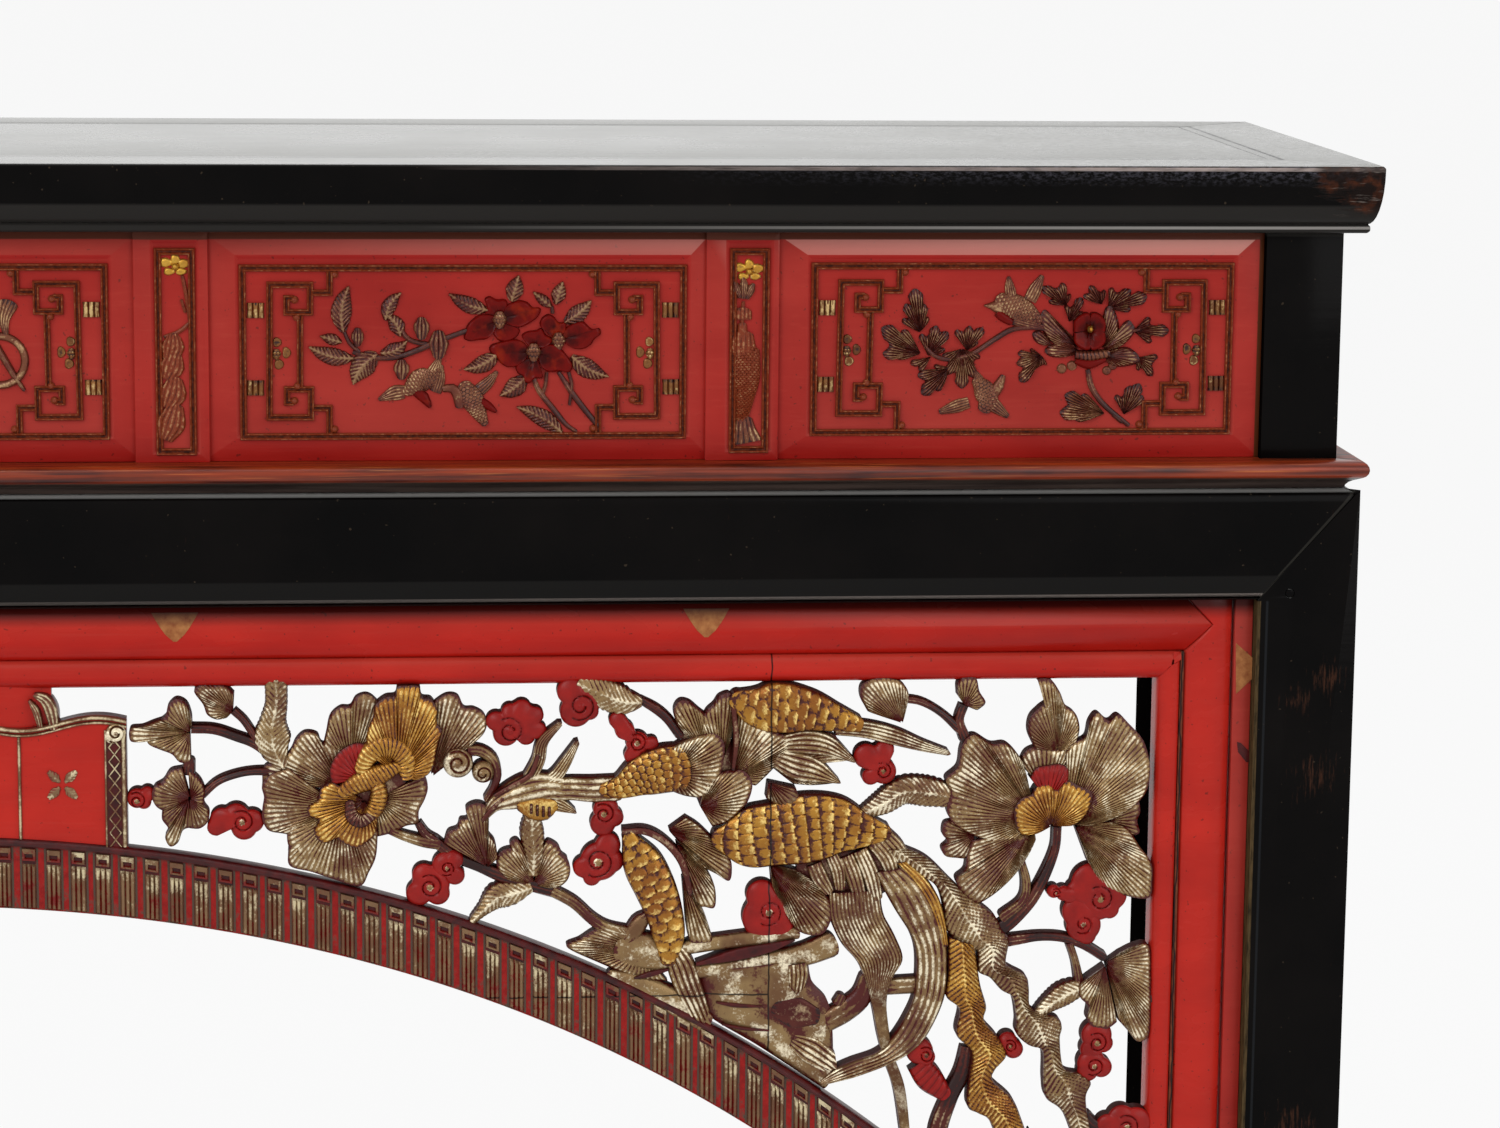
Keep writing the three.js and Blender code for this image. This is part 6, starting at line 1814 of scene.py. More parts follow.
def ornament(relief, parts, flower, place):
    for kind, slot, rows in parts:
        style = dict(kind=kind, rise=3.0 if kind != "stem" else 1.8, groove=0.8, slot=slot, cell=2.6, ribs=5)
        waist_blade(relief, rows, place, **style)
    x, y = flower
    for dx, dy, wide, high in ((-9, -4, 7, 5), (0, -7, 5, 6), (9, -3, 7, 5), (-6, 5, 6, 4), (6, 5, 6, 4)):
        disc(relief, x + dx, y + dy, wide, high, place, slot=3, rise=2.2, dish=0.3)
    disc(relief, x, y, 4, 4, place, slot=3, rise=3.4, dish=0.0)


def waist_board(name, box, field, front, edge, *nodes):
    """A red board: margins that rise from its edges to the bead, and a sunk field inside the bead."""
    low, high = box
    board = block(name, (low.x, edge, low.z), (high.x, high.y, high.z))
    select_front(board)
    middle = Vector(((low.x + high.x) / 2, edge, (low.z + high.z) / 2))
    bpy.ops.mesh.inset(thickness=0.004)
    share = (
        (field.half_width + BEAD_HALF) / ((high.x - low.x) / 2 - 0.004),
        1,
        (field.half_height + BEAD_HALF) / ((high.z - low.z) / 2 - 0.004),
    )
    bpy.ops.transform.resize(value=share, center_override=middle)
    bpy.ops.transform.translate(value=(field.x - middle.x, front - edge, 0))
    bpy.ops.mesh.inset(thickness=BEAD_HALF)
    bpy.ops.transform.translate(value=(0, field.ground - front, 0))
    bpy.ops.object.mode_set(mode="OBJECT")
    ease(board, 0.0003, 1, 20)
    return settle(board, "dusty_red_lacquer", *nodes, materials=[waist_red])


def bead_frame(relief, field):
    """The double bead round a sunk field."""
    wide, high = field.half_width - BEAD_HALF, field.half_height - BEAD_HALF
    path = [(field.x + a * wide, field.z + b * high) for a, b in ((1, 1), (-1, 1), (-1, -1), (1, -1))]
    run_along(relief, path, double_profile(BEAD_HALF, BEAD_OUT), field.ground, closed=True)


def fret_rows(relief, field):
    """The frets at both ends of a panel, which mirror each other."""
    pattern = Field(PANEL_BEAD_PIXELS, field.x, field.z, field.ground)
    inset = pattern.half_width - field.half_width
    for sign in (1, -1):
        def at(px, py, sign=sign):
            x, z = pattern(px, py)
            return field.x + sign * (x + inset - field.x), z

        at.ground = field.ground
        for line in FRET_LINES:
            path = [at(px, py) for px, py in line]
            run_along(relief, path, double_profile(FRET_HALF, BEAD_OUT), field.ground)
        for px, py in FRET_CURLS:
            disc(relief, px, py, 4.2, 4.2, at, rise=3.6, dish=0.0, lobe=0.0, spokes=12, rings=5)
        for px, py in FRET_TIES:
            for dx in (-5.6, 0, 5.6):
                rows = [(px + dx, py - 7.5, 3.2), (px + dx, py, 2.6), (px + dx, py + 7.5, 3.2)]
                waist_blade(relief, rows, at, kind="smooth", rise=2.2, tip="flat", slot=1)
        for px, py, wide, high in FRET_FLORET:
            disc(relief, px, py, wide, high, at, slot=1, rise=2.4, dish=0.6, spokes=14, rings=5)
        bead_disc(relief, *FRET_HEART, at, cell=2.0, rise=2.8)


def panel_fields(number, level, pitch):
    """Where a panel's beads and frets lie, and the field that its spray is drawn in."""
    x = (number - MIDDLE_PANEL) * pitch + PANEL_SHIFT[number]
    beads = Field(PANEL_BEAD_PIXELS, x, level - PANEL_DROP[number], PANEL_GROUND)
    spray = Field(SPRAY_PIXELS[number], x, level, PANEL_GROUND)
    if number == LAST_PANEL:
        beads.half_width = spray.half_width
    return beads, spray


def make_panels(number, level, pitch):
    """A panel and its mirror image at the waist's other end; the middle one has no mirror image."""
    beads, spray = panel_fields(number, level, pitch)
    for side in (1, -1):
        node = "waist_panel_%d" % (MIDDLE_PANEL + side * (number - MIDDLE_PANEL))
        if side == 1 or number != MIDDLE_PANEL:
            spot = Field(PANEL_BEAD_PIXELS, side * beads.x, beads.z, PANEL_GROUND)
            spot.half_width = beads.half_width
            waist_board("board_" + node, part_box(node), spot, MARGIN_FRONT, MARGIN_EDGE, node)
            relief = Relief()
            bead_frame(relief, beads)
            fret_rows(relief, beads)
            finishes = [bead_lacquer, fret_gilt, petal_lacquer, gold_leaf]
            relief.piece("fret_" + node, finishes, "brown_lacquer", node, mirror=side < 0)
    for side in (1, -1):
        node = "waist_panel_%d" % (MIDDLE_PANEL + side * (number - MIDDLE_PANEL))
        relief = Relief()
        SPRAYS[number](relief, spray)
        name = "spray_%s_%s" % (node, "right" if side > 0 else "left")
        finishes = [leaf_lacquer, spray_gilt, petal_lacquer, gold_leaf]
        relief.piece(name, finishes, "aged_gilt", node, mirror=side < 0)


def make_dividers(number, pixels, parts, flower, level):
    """A divider right of the middle and its mirror image on the left."""
    low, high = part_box("waist_divider_%d" % number)
    x, z = (low.x + high.x) / 2 + DIVIDER_SHIFT[number], level - DIVIDER_DROP
    beads = Field(DIVIDER_BEAD_PIXELS, x, z, DIVIDER_GROUND)
    for side in (1, -1):
        node = "waist_divider_%d" % (number if side > 0 else 5 - number)
        spot = Field(DIVIDER_BEAD_PIXELS, side * x, z, DIVIDER_GROUND)
        waist_board("board_" + node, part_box(node), spot, WAIST_FRONT, WAIST_FRONT + 0.0016, node)
        relief = Relief()
        bead_frame(relief, beads)
        ornament(relief, parts, flower, Field(pixels, x, z, DIVIDER_GROUND))
        finishes = [bead_lacquer, spray_gilt, petal_lacquer, gold_leaf]
        relief.piece("carving_" + node, finishes, "aged_gilt", node, mirror=side < 0)


SPRAYS = {3: spray_c, 4: spray_b, 5: spray_a}


def make_waist():
    level = on_plane(*WAIST_MIDDLE_PIXEL, PANEL_GROUND)[1]
    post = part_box("waist_divider_3")
    pitch = post[0].x + post[1].x
    for number in SPRAYS:
        make_panels(number, level, pitch)
    make_dividers(4, DIVIDER_BEAD_PIXELS, VASE_PARTS, VASE_FLOWER, level)
    make_dividers(3, STACK_PIXELS, STACK_PARTS, STACK_FLOWER, level)


# Carved motifs, drawn in the photograph's pixels. A fan is (style, foot, rim points), a blade is
# (style, stations of x, y and half width), a cloud is (eye, swing, lobes of x, y and radius). A style's slot
# is its finish: 0 pale gilt, 1 amber gilt, 2 red, 3 browned gilt and 5 dark red.
FAN_STYLES = {
    "petal": dict(slot=0, rise=4.0, groove=0.9, lift=-1.0),
    "low_petal": dict(slot=0, rise=3.0, groove=0.9, lift=-3.5),
    "gold_petal": dict(slot=1, rise=4.5, groove=0.9, lift=1.0),
    "red_petal": dict(slot=2, rise=3.0, groove=0.9, lift=1.0),
    "lobe": dict(slot=0, rise=3.0, groove=0.8, lift=-2.0, rib=3.2),
    "high_lobe": dict(slot=0, rise=3.5, groove=0.8, lift=0.0, rib=3.2),
    "feathers": dict(slot=0, rise=3.5, groove=1.1, lift=-1.0, rib=3.7),
    "high_feathers": dict(slot=0, rise=4.5, groove=1.1, lift=0.5, rib=3.7),
    "low_feathers": dict(slot=0, rise=3.0, groove=1.0, lift=-3.0, rib=3.7),
}
BODY_SCALES = dict(kind="scales", rise=4.5, lift=1.0, slot=1, foot="round")
BLADE_STYLES = {
    "leaf": dict(kind="leaf", rise=3.2, groove=1.0, cell=3.6, lift=-2.0, lobe=0.1),
    "stem": dict(kind="stem", rise=2.2, groove=1.0, lift=-3.0, tip="round", slot=3),
    "gilt_stem": dict(kind="stem", rise=2.4, groove=1.0, lift=-2.5, tip="round"),
    "quill": dict(kind="ribs", ribs=5, rise=3.0, groove=1.2, lift=-0.5, tip="point"),
    "ribbon": dict(kind="ribs", ribs=4, rise=3.2, groove=0.9, lift=0.0, tip="round"),
    "plume": dict(kind="barb", rise=3.4, groove=1.5, cell=3.6, lobe=0.16, lift=1.0, tip="point"),
    "gold_plume": dict(kind="barb", rise=3.4, groove=1.5, cell=3.6, lobe=0.3, lift=2.0, tip="point", slot=1),
    "roll": dict(kind="gadroon", rise=4.2, groove=1.0, cell=2.4, lift=2.0, slot=1, foot="round"),
    "dark_roll": dict(kind="gadroon", rise=4.0, groove=1.0, cell=2.2, lift=3.2, slot=3, foot="round"),
    "wing_scales": dict(BODY_SCALES, groove=1.1, cell=13.0),
    "body_scales": dict(BODY_SCALES, groove=1.1, cell=7.5, pitch=1.15),
    "leg_scales": dict(BODY_SCALES, groove=1.3, cell=11.4, pitch=0.59),
    "neck_scales": dict(BODY_SCALES, rise=4.0, cell=5.6, pitch=0.75, lift=1.5),
    "rock": dict(kind="smooth", rise=3.4, lift=-2.5, tip="round", foot="round"),
    "worn": dict(kind="smooth", rise=1.2, lift=0.6, tip="round", foot="round", slot=3),
    "under": dict(kind="smooth", rise=1.5, lift=-4.0, tip="round", foot="round", slot=3),
    "slit": dict(kind="smooth", rise=1.0, lift=1.4, tip="point", slot=5),
    "red_ribs": dict(kind="gadroon", rise=3.4, groove=0.9, cell=4.4, lift=-2.0, slot=2),
    "wattle": dict(kind="smooth", rise=3.6, lift=1.0, slot=1, foot="round"),
    "bare_neck": dict(kind="ribs", ribs=4, rise=3.6, groove=0.9, lift=0.0, tip="round"),
    "dark_edge": dict(kind="smooth", rise=1.6, lift=2.6, tip="point", slot=3),
}

FANS = {
    "leaves": [
        ("lobe", (190, 733), [(146, 742), (138, 743), (130, 741), (130, 729), (142, 727), (152, 723),
         (161, 720)]),
        ("high_lobe", (190, 733), [(161, 720), (166, 715), (168, 706), (176, 699), (186, 703), (191, 714),
         (192, 724)]),
        ("lobe", (190, 733), [(191, 763), (180, 763), (172, 755), (162, 751), (150, 746), (146, 741)]),
        ("high_lobe", (190, 798), [(182, 768), (170, 771), (163, 781), (154, 787), (152, 797), (156, 806),
         (163, 811)]),
        ("lobe", (189, 799), [(162, 809), (162, 820), (168, 829), (165, 838), (170, 847), (178, 843),
         (183, 831), (191, 828)]),
        ("lobe", (190, 799), [(189, 829), (200, 829), (208, 822), (209, 812), (204, 804), (205, 792),
         (200, 780), (188, 769)]),
        ("lobe", (233, 712), [(226, 719), (216, 720), (207, 715), (203, 705), (194, 692), (200, 686),
         (214, 686), (226, 687), (234, 694)]),
        ("high_lobe", (487, 867), [(444, 843), (448, 832), (457, 828), (460, 820), (467, 818), (466, 808),
         (476, 803), (486, 806), (489, 818), (488, 832), (495, 842), (498, 858)]),
        ("lobe", (535, 886), [(506, 880), (497, 868), (499, 854), (510, 849), (520, 851), (529, 857)]),
        ("lobe", (534, 886), [(538, 860), (551, 851), (562, 855), (570, 866), (569, 878), (562, 886),
         (552, 889)]),
        ("low_feathers", (534, 872), [(512, 856), (510, 844), (517, 840), (524, 848)]),
        ("low_feathers", (534, 872), [(543, 848), (548, 841), (558, 846), (562, 854), (568, 860),
         (560, 868)]),
        ("lobe", (1058, 752), [(1036, 750), (1029, 733), (1031, 718), (1040, 708), (1049, 700),
         (1045, 688), (1038, 680), (1051, 680), (1060, 692), (1066, 706), (1076, 714), (1080, 728),
         (1077, 742), (1071, 750)]),
        ("lobe", (1106, 963), [(1120, 953), (1135, 946), (1149, 946), (1151, 976), (1151, 1010),
         (1149, 1036), (1138, 1042), (1128, 1031), (1118, 1020)]),
        ("high_lobe", (1105, 965), [(1117, 1022), (1106, 1029), (1094, 1027), (1087, 1019), (1088, 1006),
         (1080, 997), (1079, 985), (1088, 977), (1098, 970)]),
        ("lobe", (903, 724), [(868, 712), (861, 698), (862, 686), (872, 680), (886, 678), (902, 683),
         (909, 694), (906, 708)]),
        ("lobe", (965, 706), [(958, 696), (958, 684), (964, 678), (976, 678), (980, 692), (986, 703),
         (978, 711)]),
        ("lobe", (1078, 1180), [(1050, 1172), (1042, 1186), (1050, 1202), (1064, 1208), (1076, 1204)]),
        ("lobe", (1030, 1130), [(1020, 1160), (1010, 1186), (1018, 1212), (1034, 1220), (1048, 1204),
         (1050, 1180), (1042, 1150)]),
        ("lobe", (1138, 1192), [(1110, 1186), (1090, 1200), (1074, 1226), (1080, 1246), (1104, 1240),
         (1122, 1226), (1134, 1210)]),
        ("lobe", (1150, 1296), [(1126, 1286), (1104, 1296), (1086, 1316), (1078, 1346), (1096, 1350),
         (1118, 1336), (1142, 1322)]),
    ],
    "first_peony": [
        ("low_petal", (352, 768), [(322, 752), (326, 734), (330, 717), (340, 708), (350, 707), (356, 698),
         (367, 695), (377, 702), (386, 716)]),
        ("low_petal", (345, 790), [(262, 786), (264, 768), (280, 761), (290, 752), (296, 740), (305, 733),
         (317, 735), (322, 744), (337, 744), (350, 752)]),
        ("petal", (338, 806), [(302, 838), (285, 834), (268, 830), (262, 816), (264, 798), (262, 786),
         (270, 775), (288, 768)]),
        ("petal", (342, 806), [(288, 850), (290, 866), (312, 872), (336, 880), (360, 886), (369, 872),
         (376, 856), (378, 832)]),
        ("petal", (330, 818), [(306, 820), (290, 826), (287, 838), (291, 850), (304, 854), (318, 850)]),
        ("low_petal", (376, 800), [(377, 838), (392, 834), (406, 827), (418, 824), (419, 812), (425, 800),
         (428, 788), (424, 775)]),
        ("low_petal", (432, 778), [(422, 724), (430, 708), (438, 700), (448, 695), (458, 697), (464, 708),
         (474, 709), (484, 715), (487, 726), (482, 737), (471, 743), (462, 752)]),
        ("gold_petal", (398, 774), [(366, 752), (367, 732), (373, 716), (375, 705), (385, 697), (395, 695),
         (398, 686), (408, 685), (419, 686), (422, 697), (431, 699), (437, 709), (437, 722), (442, 731),
         (439, 740), (436, 752), (434, 764), (428, 774), (416, 780)]),
        ("gold_petal", (364, 800), [(332, 781), (321, 788), (318, 799), (308, 806), (309, 815), (319, 820),
         (314, 829), (318, 839), (327, 842), (336, 838), (345, 843), (356, 847), (366, 842), (375, 834),
         (378, 820)]),
        ("red_petal", (362, 778), [(332, 784), (330, 770), (335, 757), (344, 748), (356, 743), (367, 745),
         (374, 753)]),
    ],
    "second_peony": [
        ("petal", (1036, 818), [(1016, 838), (992, 841), (973, 835), (954, 824), (947, 809), (951, 793),
         (946, 779), (958, 767), (961, 750), (966, 739), (976, 735), (992, 744), (1007, 744), (1020, 757),
         (1026, 772)]),
        ("low_petal", (975, 836), [(954, 821), (945, 824), (943, 835), (948, 842), (942, 849), (946, 857),
         (957, 859), (968, 859), (975, 851)]),
        ("petal", (1034, 828), [(972, 841), (967, 856), (965, 870), (956, 880), (965, 896), (977, 903),
         (990, 897), (1005, 885), (1018, 871), (1028, 856), (1036, 840)]),
        ("petal", (1066, 824), [(1066, 752), (1074, 743), (1086, 737), (1090, 722), (1098, 713),
         (1109, 721), (1119, 715), (1131, 726), (1144, 742), (1150, 768), (1146, 792), (1130, 809),
         (1112, 819), (1090, 826)]),
        ("low_petal", (1110, 822), [(1126, 806), (1138, 800), (1141, 812), (1138, 822), (1140, 834),
         (1128, 838)]),
        ("petal", (1074, 824), [(1088, 862), (1102, 884), (1120, 894), (1148, 898), (1152, 880),
         (1151, 862), (1140, 847), (1128, 829), (1112, 822)]),
        ("low_petal", (1047, 794), [(1020, 764), (1028, 751), (1045, 746), (1058, 750), (1069, 747),
         (1074, 760)]),
        ("red_petal", (1048, 800), [(1030, 778), (1036, 768), (1048, 765), (1060, 764), (1068, 769),
         (1068, 782)]),
        ("gold_petal", (1051, 826), [(1034, 834), (1022, 834), (1016, 826), (1014, 809), (1021, 798),
         (1031, 794), (1037, 786), (1048, 783), (1056, 789), (1066, 780), (1078, 785), (1091, 792),
         (1090, 805), (1084, 816), (1073, 825)]),
    ],
    "rocks": [
        ("low_feathers", (640, 950), [(668, 982), (640, 980), (600, 964), (567, 948), (580, 940),
         (596, 930), (614, 926), (632, 932)]),
    ],
    "phoenix_wing": [
        ("feathers", (706, 752), [(686, 736), (677, 724), (674, 710), (680, 701), (690, 702), (700, 710),
         (708, 716)]),
        ("feathers", (722, 764), [(700, 728), (706, 712), (714, 704), (720, 696), (731, 694), (734, 712),
         (732, 736)]),
        ("high_feathers", (672, 772), [(668, 750), (680, 742), (696, 736), (714, 733), (724, 744),
         (722, 766), (716, 784), (704, 796), (688, 796), (674, 792)]),
        ("feathers", (732, 778), [(736, 700), (748, 714), (766, 728), (786, 736), (796, 738), (788, 750),
         (774, 768), (756, 786)]),
        ("low_feathers", (772, 768), [(782, 738), (806, 732), (832, 734), (842, 746), (853, 760),
         (832, 760), (816, 758), (826, 770), (838, 782), (816, 786), (794, 785)]),
        ("high_feathers", (700, 806), [(704, 782), (722, 772), (742, 770), (752, 782), (748, 800),
         (738, 812), (726, 822), (712, 826)]),
        ("high_feathers", (768, 782), [(796, 788), (799, 800), (790, 806), (776, 804), (766, 798)]),
        ("feathers", (668, 830), [(686, 817), (700, 826), (716, 842), (729, 856), (732, 869), (729, 881),
         (716, 874), (700, 866)]),
        ("feathers", (676, 842), [(706, 868), (714, 884), (716, 898), (714, 908), (705, 907), (697, 905),
         (688, 890), (682, 870)]),
        ("feathers", (682, 876), [(700, 904), (707, 920), (712, 941), (700, 943), (690, 941), (686, 924)]),
        ("feathers", (770, 864), [(772, 886), (784, 912), (800, 932), (822, 934), (832, 916), (828, 898),
         (812, 880), (796, 870)]),
    ],
}
BLADES = {
    "leaves": [
        ("leaf", [(283, 768, 5), (275, 752, 14), (272, 738, 18), (273, 722, 13), (276, 706, 11),
         (276, 686, 11)]),
        ("leaf", [(642, 703, 5), (624, 702, 14), (602, 694, 15), (582, 686, 9)]),
        ("leaf", [(950, 797, 12), (928, 793, 15), (904, 792, 14), (884, 804, 12), (864, 814, 6)]),
        ("leaf", [(1082, 988, 9), (1064, 996, 12), (1046, 1008, 8), (1034, 1019, 4)]),
        ("leaf", [(533, 876, 6), (534, 852, 10), (532, 832, 12), (532, 814, 7)]),
        ("leaf", [(532, 888, 5), (513, 894, 12), (497, 898, 13), (484, 910, 7), (473, 921, 4)]),
    ],
    "stems": [
        ("stem", [(191, 730, 5), (214, 731, 5), (236, 738, 5), (256, 746, 5), (279, 764, 5)]),
        ("stem", [(233, 712, 4), (244, 722, 4), (256, 740, 4)]),
        ("stem", [(202, 797, 4), (216, 784, 4), (232, 777, 4), (252, 773, 4), (280, 773, 5)]),
        ("stem", [(188, 776, 7), (189, 762, 6)]), ("stem", [(418, 824, 4), (426, 836, 5), (436, 842, 5)]),
        ("gilt_stem", [(390, 832, 4), (406, 838, 5), (424, 843, 6), (437, 845, 6)]),
        ("stem", [(434, 842, 6), (456, 858, 6), (480, 868, 6), (502, 877, 7), (534, 887, 7),
         (556, 893, 7)]),
        ("gilt_stem", [(552, 892, 6), (574, 904, 6), (592, 920, 6), (608, 930, 7), (632, 936, 8)]),
        ("gilt_stem", [(468, 752, 6), (480, 752, 6), (492, 760, 6), (497, 775, 5), (494, 788, 4),
         (487, 800, 4)]),
        ("stem", [(640, 701, 4), (656, 710, 5), (668, 720, 5), (680, 736, 5)]),
        ("stem", [(902, 700, 4), (922, 703, 4), (942, 714, 4), (962, 732, 5)]),
        ("stem", [(965, 706, 5), (960, 722, 5), (966, 740, 6)]),
        ("stem", [(1058, 828, 5), (1056, 850, 5), (1046, 876, 6), (1032, 901, 7), (1012, 922, 8),
         (998, 932, 8)]),
        ("gilt_stem", [(1022, 862, 4), (1027, 884, 5), (1023, 902, 5), (1004, 918, 6)]),
        ("stem", [(998, 944, 7), (1018, 941, 6), (1040, 938, 5), (1063, 939, 5), (1084, 946, 5),
         (1104, 958, 5)]),
        ("gilt_stem", [(1070, 944, 4), (1076, 962, 4), (1080, 982, 5)]),
        ("gilt_stem", [(886, 988, 9), (904, 987, 9), (920, 986, 9)]),
        ("gilt_stem", [(826, 1024, 11), (846, 1012, 12), (862, 998, 11), (868, 978, 8)]),
        ("gilt_stem", [(838, 1006, 6), (842, 998, 5)]),
        ("stem", [(968, 1048, 7), (963, 1074, 9), (950, 1100, 9), (938, 1140, 10), (950, 1180, 8)]),
        ("stem", [(960, 1150, 5), (1000, 1190, 6), (1040, 1220, 6), (1076, 1260, 7), (1110, 1310, 7),
         (1150, 1372, 7)]),
        ("stem", [(1042, 1212, 5), (1080, 1190, 5), (1140, 1176, 6)]),
        ("stem", [(985, 1060, 6), (1004, 1050, 6), (1020, 1050, 6)]),
        ("stem", [(1138, 1122, 7), (1100, 1128, 7), (1086, 1118, 7)]),
        ("stem", [(1112, 962, 6), (1150, 1000, 6)]),
    ],
    "first_peony": [
        ("roll", [(362, 766, 8), (369, 754, 11), (382, 746, 12), (397, 749, 12), (406, 760, 11),
         (407, 774, 8)]),
        ("roll", [(345, 790, 8), (357, 783, 11), (371, 778, 12), (384, 772, 10), (398, 766, 6)]),
        ("roll", [(376, 780, 8), (379, 794, 9), (375, 808, 9), (366, 820, 6)]),
        ("dark_roll", [(350, 804, 6), (352, 815, 8), (361, 820, 8), (371, 815, 6)]),
        ("under", [(350, 792, 10), (366, 796, 16), (384, 788, 14), (400, 780, 8)]),
    ],
    "second_peony": [],
    "phoenix_wing": [
        ("wing_scales", [(738, 700, 10), (758, 707, 22), (782, 708, 26), (810, 711, 21), (836, 718, 14),
         (858, 724, 8)]),
        ("quill", [(836, 728, 8), (866, 730, 9), (895, 737, 9), (922, 746, 6), (948, 753, 3)]),
        ("quill", [(782, 744, 9), (806, 742, 13), (828, 746, 11), (854, 761, 2)]),
        ("quill", [(776, 758, 10), (796, 766, 15), (815, 771, 13), (839, 782, 2)]),
        ("dark_edge", [(732, 695, 2.5), (734, 715, 3), (736, 740, 3), (733, 768, 2)]),
        ("dark_edge", [(622, 831, 3), (646, 831, 4), (666, 842, 4), (682, 862, 4), (690, 892, 3)]),
    ],
    "phoenix_body": [
        ("body_scales", [(722, 838, 12), (745, 838, 30), (775, 834, 33), (805, 829, 36), (835, 826, 31),
         (862, 830, 19), (886, 832, 8)]),
        ("leg_scales", [(630, 838, 8), (642, 862, 20), (655, 888, 21), (664, 912, 19), (669, 938, 16),
         (668, 960, 8)]),
        ("neck_scales", [(606, 789, 8), (622, 786, 13), (642, 776, 21), (662, 770, 24), (676, 768, 24)]),
        ("bare_neck", [(556, 790, 12), (572, 789, 12), (592, 790, 13), (616, 789, 13)]),
        ("quill", [(668, 944, 9), (680, 964, 14), (688, 986, 14), (700, 1014, 11)]),
        ("ribbon", [(832, 856, 7), (838, 870, 8), (840, 886, 6)]),
        ("ribbon", [(846, 856, 8), (854, 876, 9), (860, 898, 7)]),
        ("ribbon", [(860, 850, 8), (870, 872, 9), (876, 896, 7)]),
        ("ribbon", [(874, 842, 8), (888, 860, 9), (894, 884, 6)]),
        ("ribbon", [(884, 834, 8), (898, 850, 9), (906, 868, 6)]),
        ("ribbon", [(814, 864, 8), (820, 878, 9), (828, 890, 6)]),
    ],
    "head": [
        ("bare_neck", [(483, 820, 3), (494, 805, 8), (510, 797, 14), (530, 791, 18), (548, 788, 15),
         (562, 789, 12)]),
        ("dark_edge", [(482, 820, 2.5), (492, 808, 3), (502, 798, 2.5)]),
        ("quill", [(526, 784, 7), (538, 762, 7), (543, 742, 6), (560, 724, 3)]),
        ("dark_edge", [(494, 795, 2), (512, 785, 3), (530, 774, 3), (538, 755, 2.5)]),
        ("quill", [(542, 786, 7), (556, 776, 7), (566, 762, 6), (577, 743, 3)]),
        ("wattle", [(522, 806, 6), (532, 808, 12), (544, 808, 13), (553, 804, 7)]),
        ("quill", [(550, 802, 8), (562, 806, 7), (575, 812, 2)]),
        ("dark_roll", [(531, 804, 2), (531, 811, 2)]), ("dark_roll", [(537, 805, 2), (537, 813, 2)]),
        ("dark_roll", [(543, 806, 2), (543, 814, 2)]), ("dark_roll", [(549, 807, 2), (549, 814, 2)]),
    ],
    "rocks": [
        ("rock", [(628, 952, 16), (640, 952, 20), (652, 956, 19), (664, 964, 12)]),
        ("rock", [(632, 936, 9), (640, 924, 9), (646, 918, 6)]),
        ("rock", [(690, 948, 8), (724, 943, 8), (764, 938, 8), (796, 934, 7)]),
        ("rock", [(700, 972, 8), (736, 967, 8), (770, 960, 9), (804, 956, 12), (830, 946, 14)]),
        ("rock", [(612, 976, 6), (640, 986, 11), (672, 1002, 14), (704, 1022, 12)]),
        ("slit", [(696, 964, 1.5), (735, 955, 6), (768, 948, 5), (794, 940, 1)]),
        ("slit", [(634, 978, 1), (650, 974, 3), (668, 969, 1.5)]),
        ("slit", [(716, 1002, 1), (736, 1005, 2.4), (762, 1006, 1)]),
        ("slit", [(722, 1024, 1), (742, 1028, 1.8), (768, 1030, 1)]),
        ("worn", [(780, 1010, 10), (796, 1013, 18), (814, 1016, 10)]),
        ("quill", [(797, 964, 10), (798, 974, 11), (797, 986, 9)]),
        ("quill", [(792, 1040, 8), (810, 1050, 15), (828, 1062, 12)]),
    ],
    "tail": [
        ("under", [(806, 868, 10), (830, 874, 24), (860, 876, 28), (890, 868, 22), (908, 872, 10)]),
        ("under", [(690, 720, 10), (704, 744, 26), (714, 776, 26), (716, 806, 16)]),
    ],
}
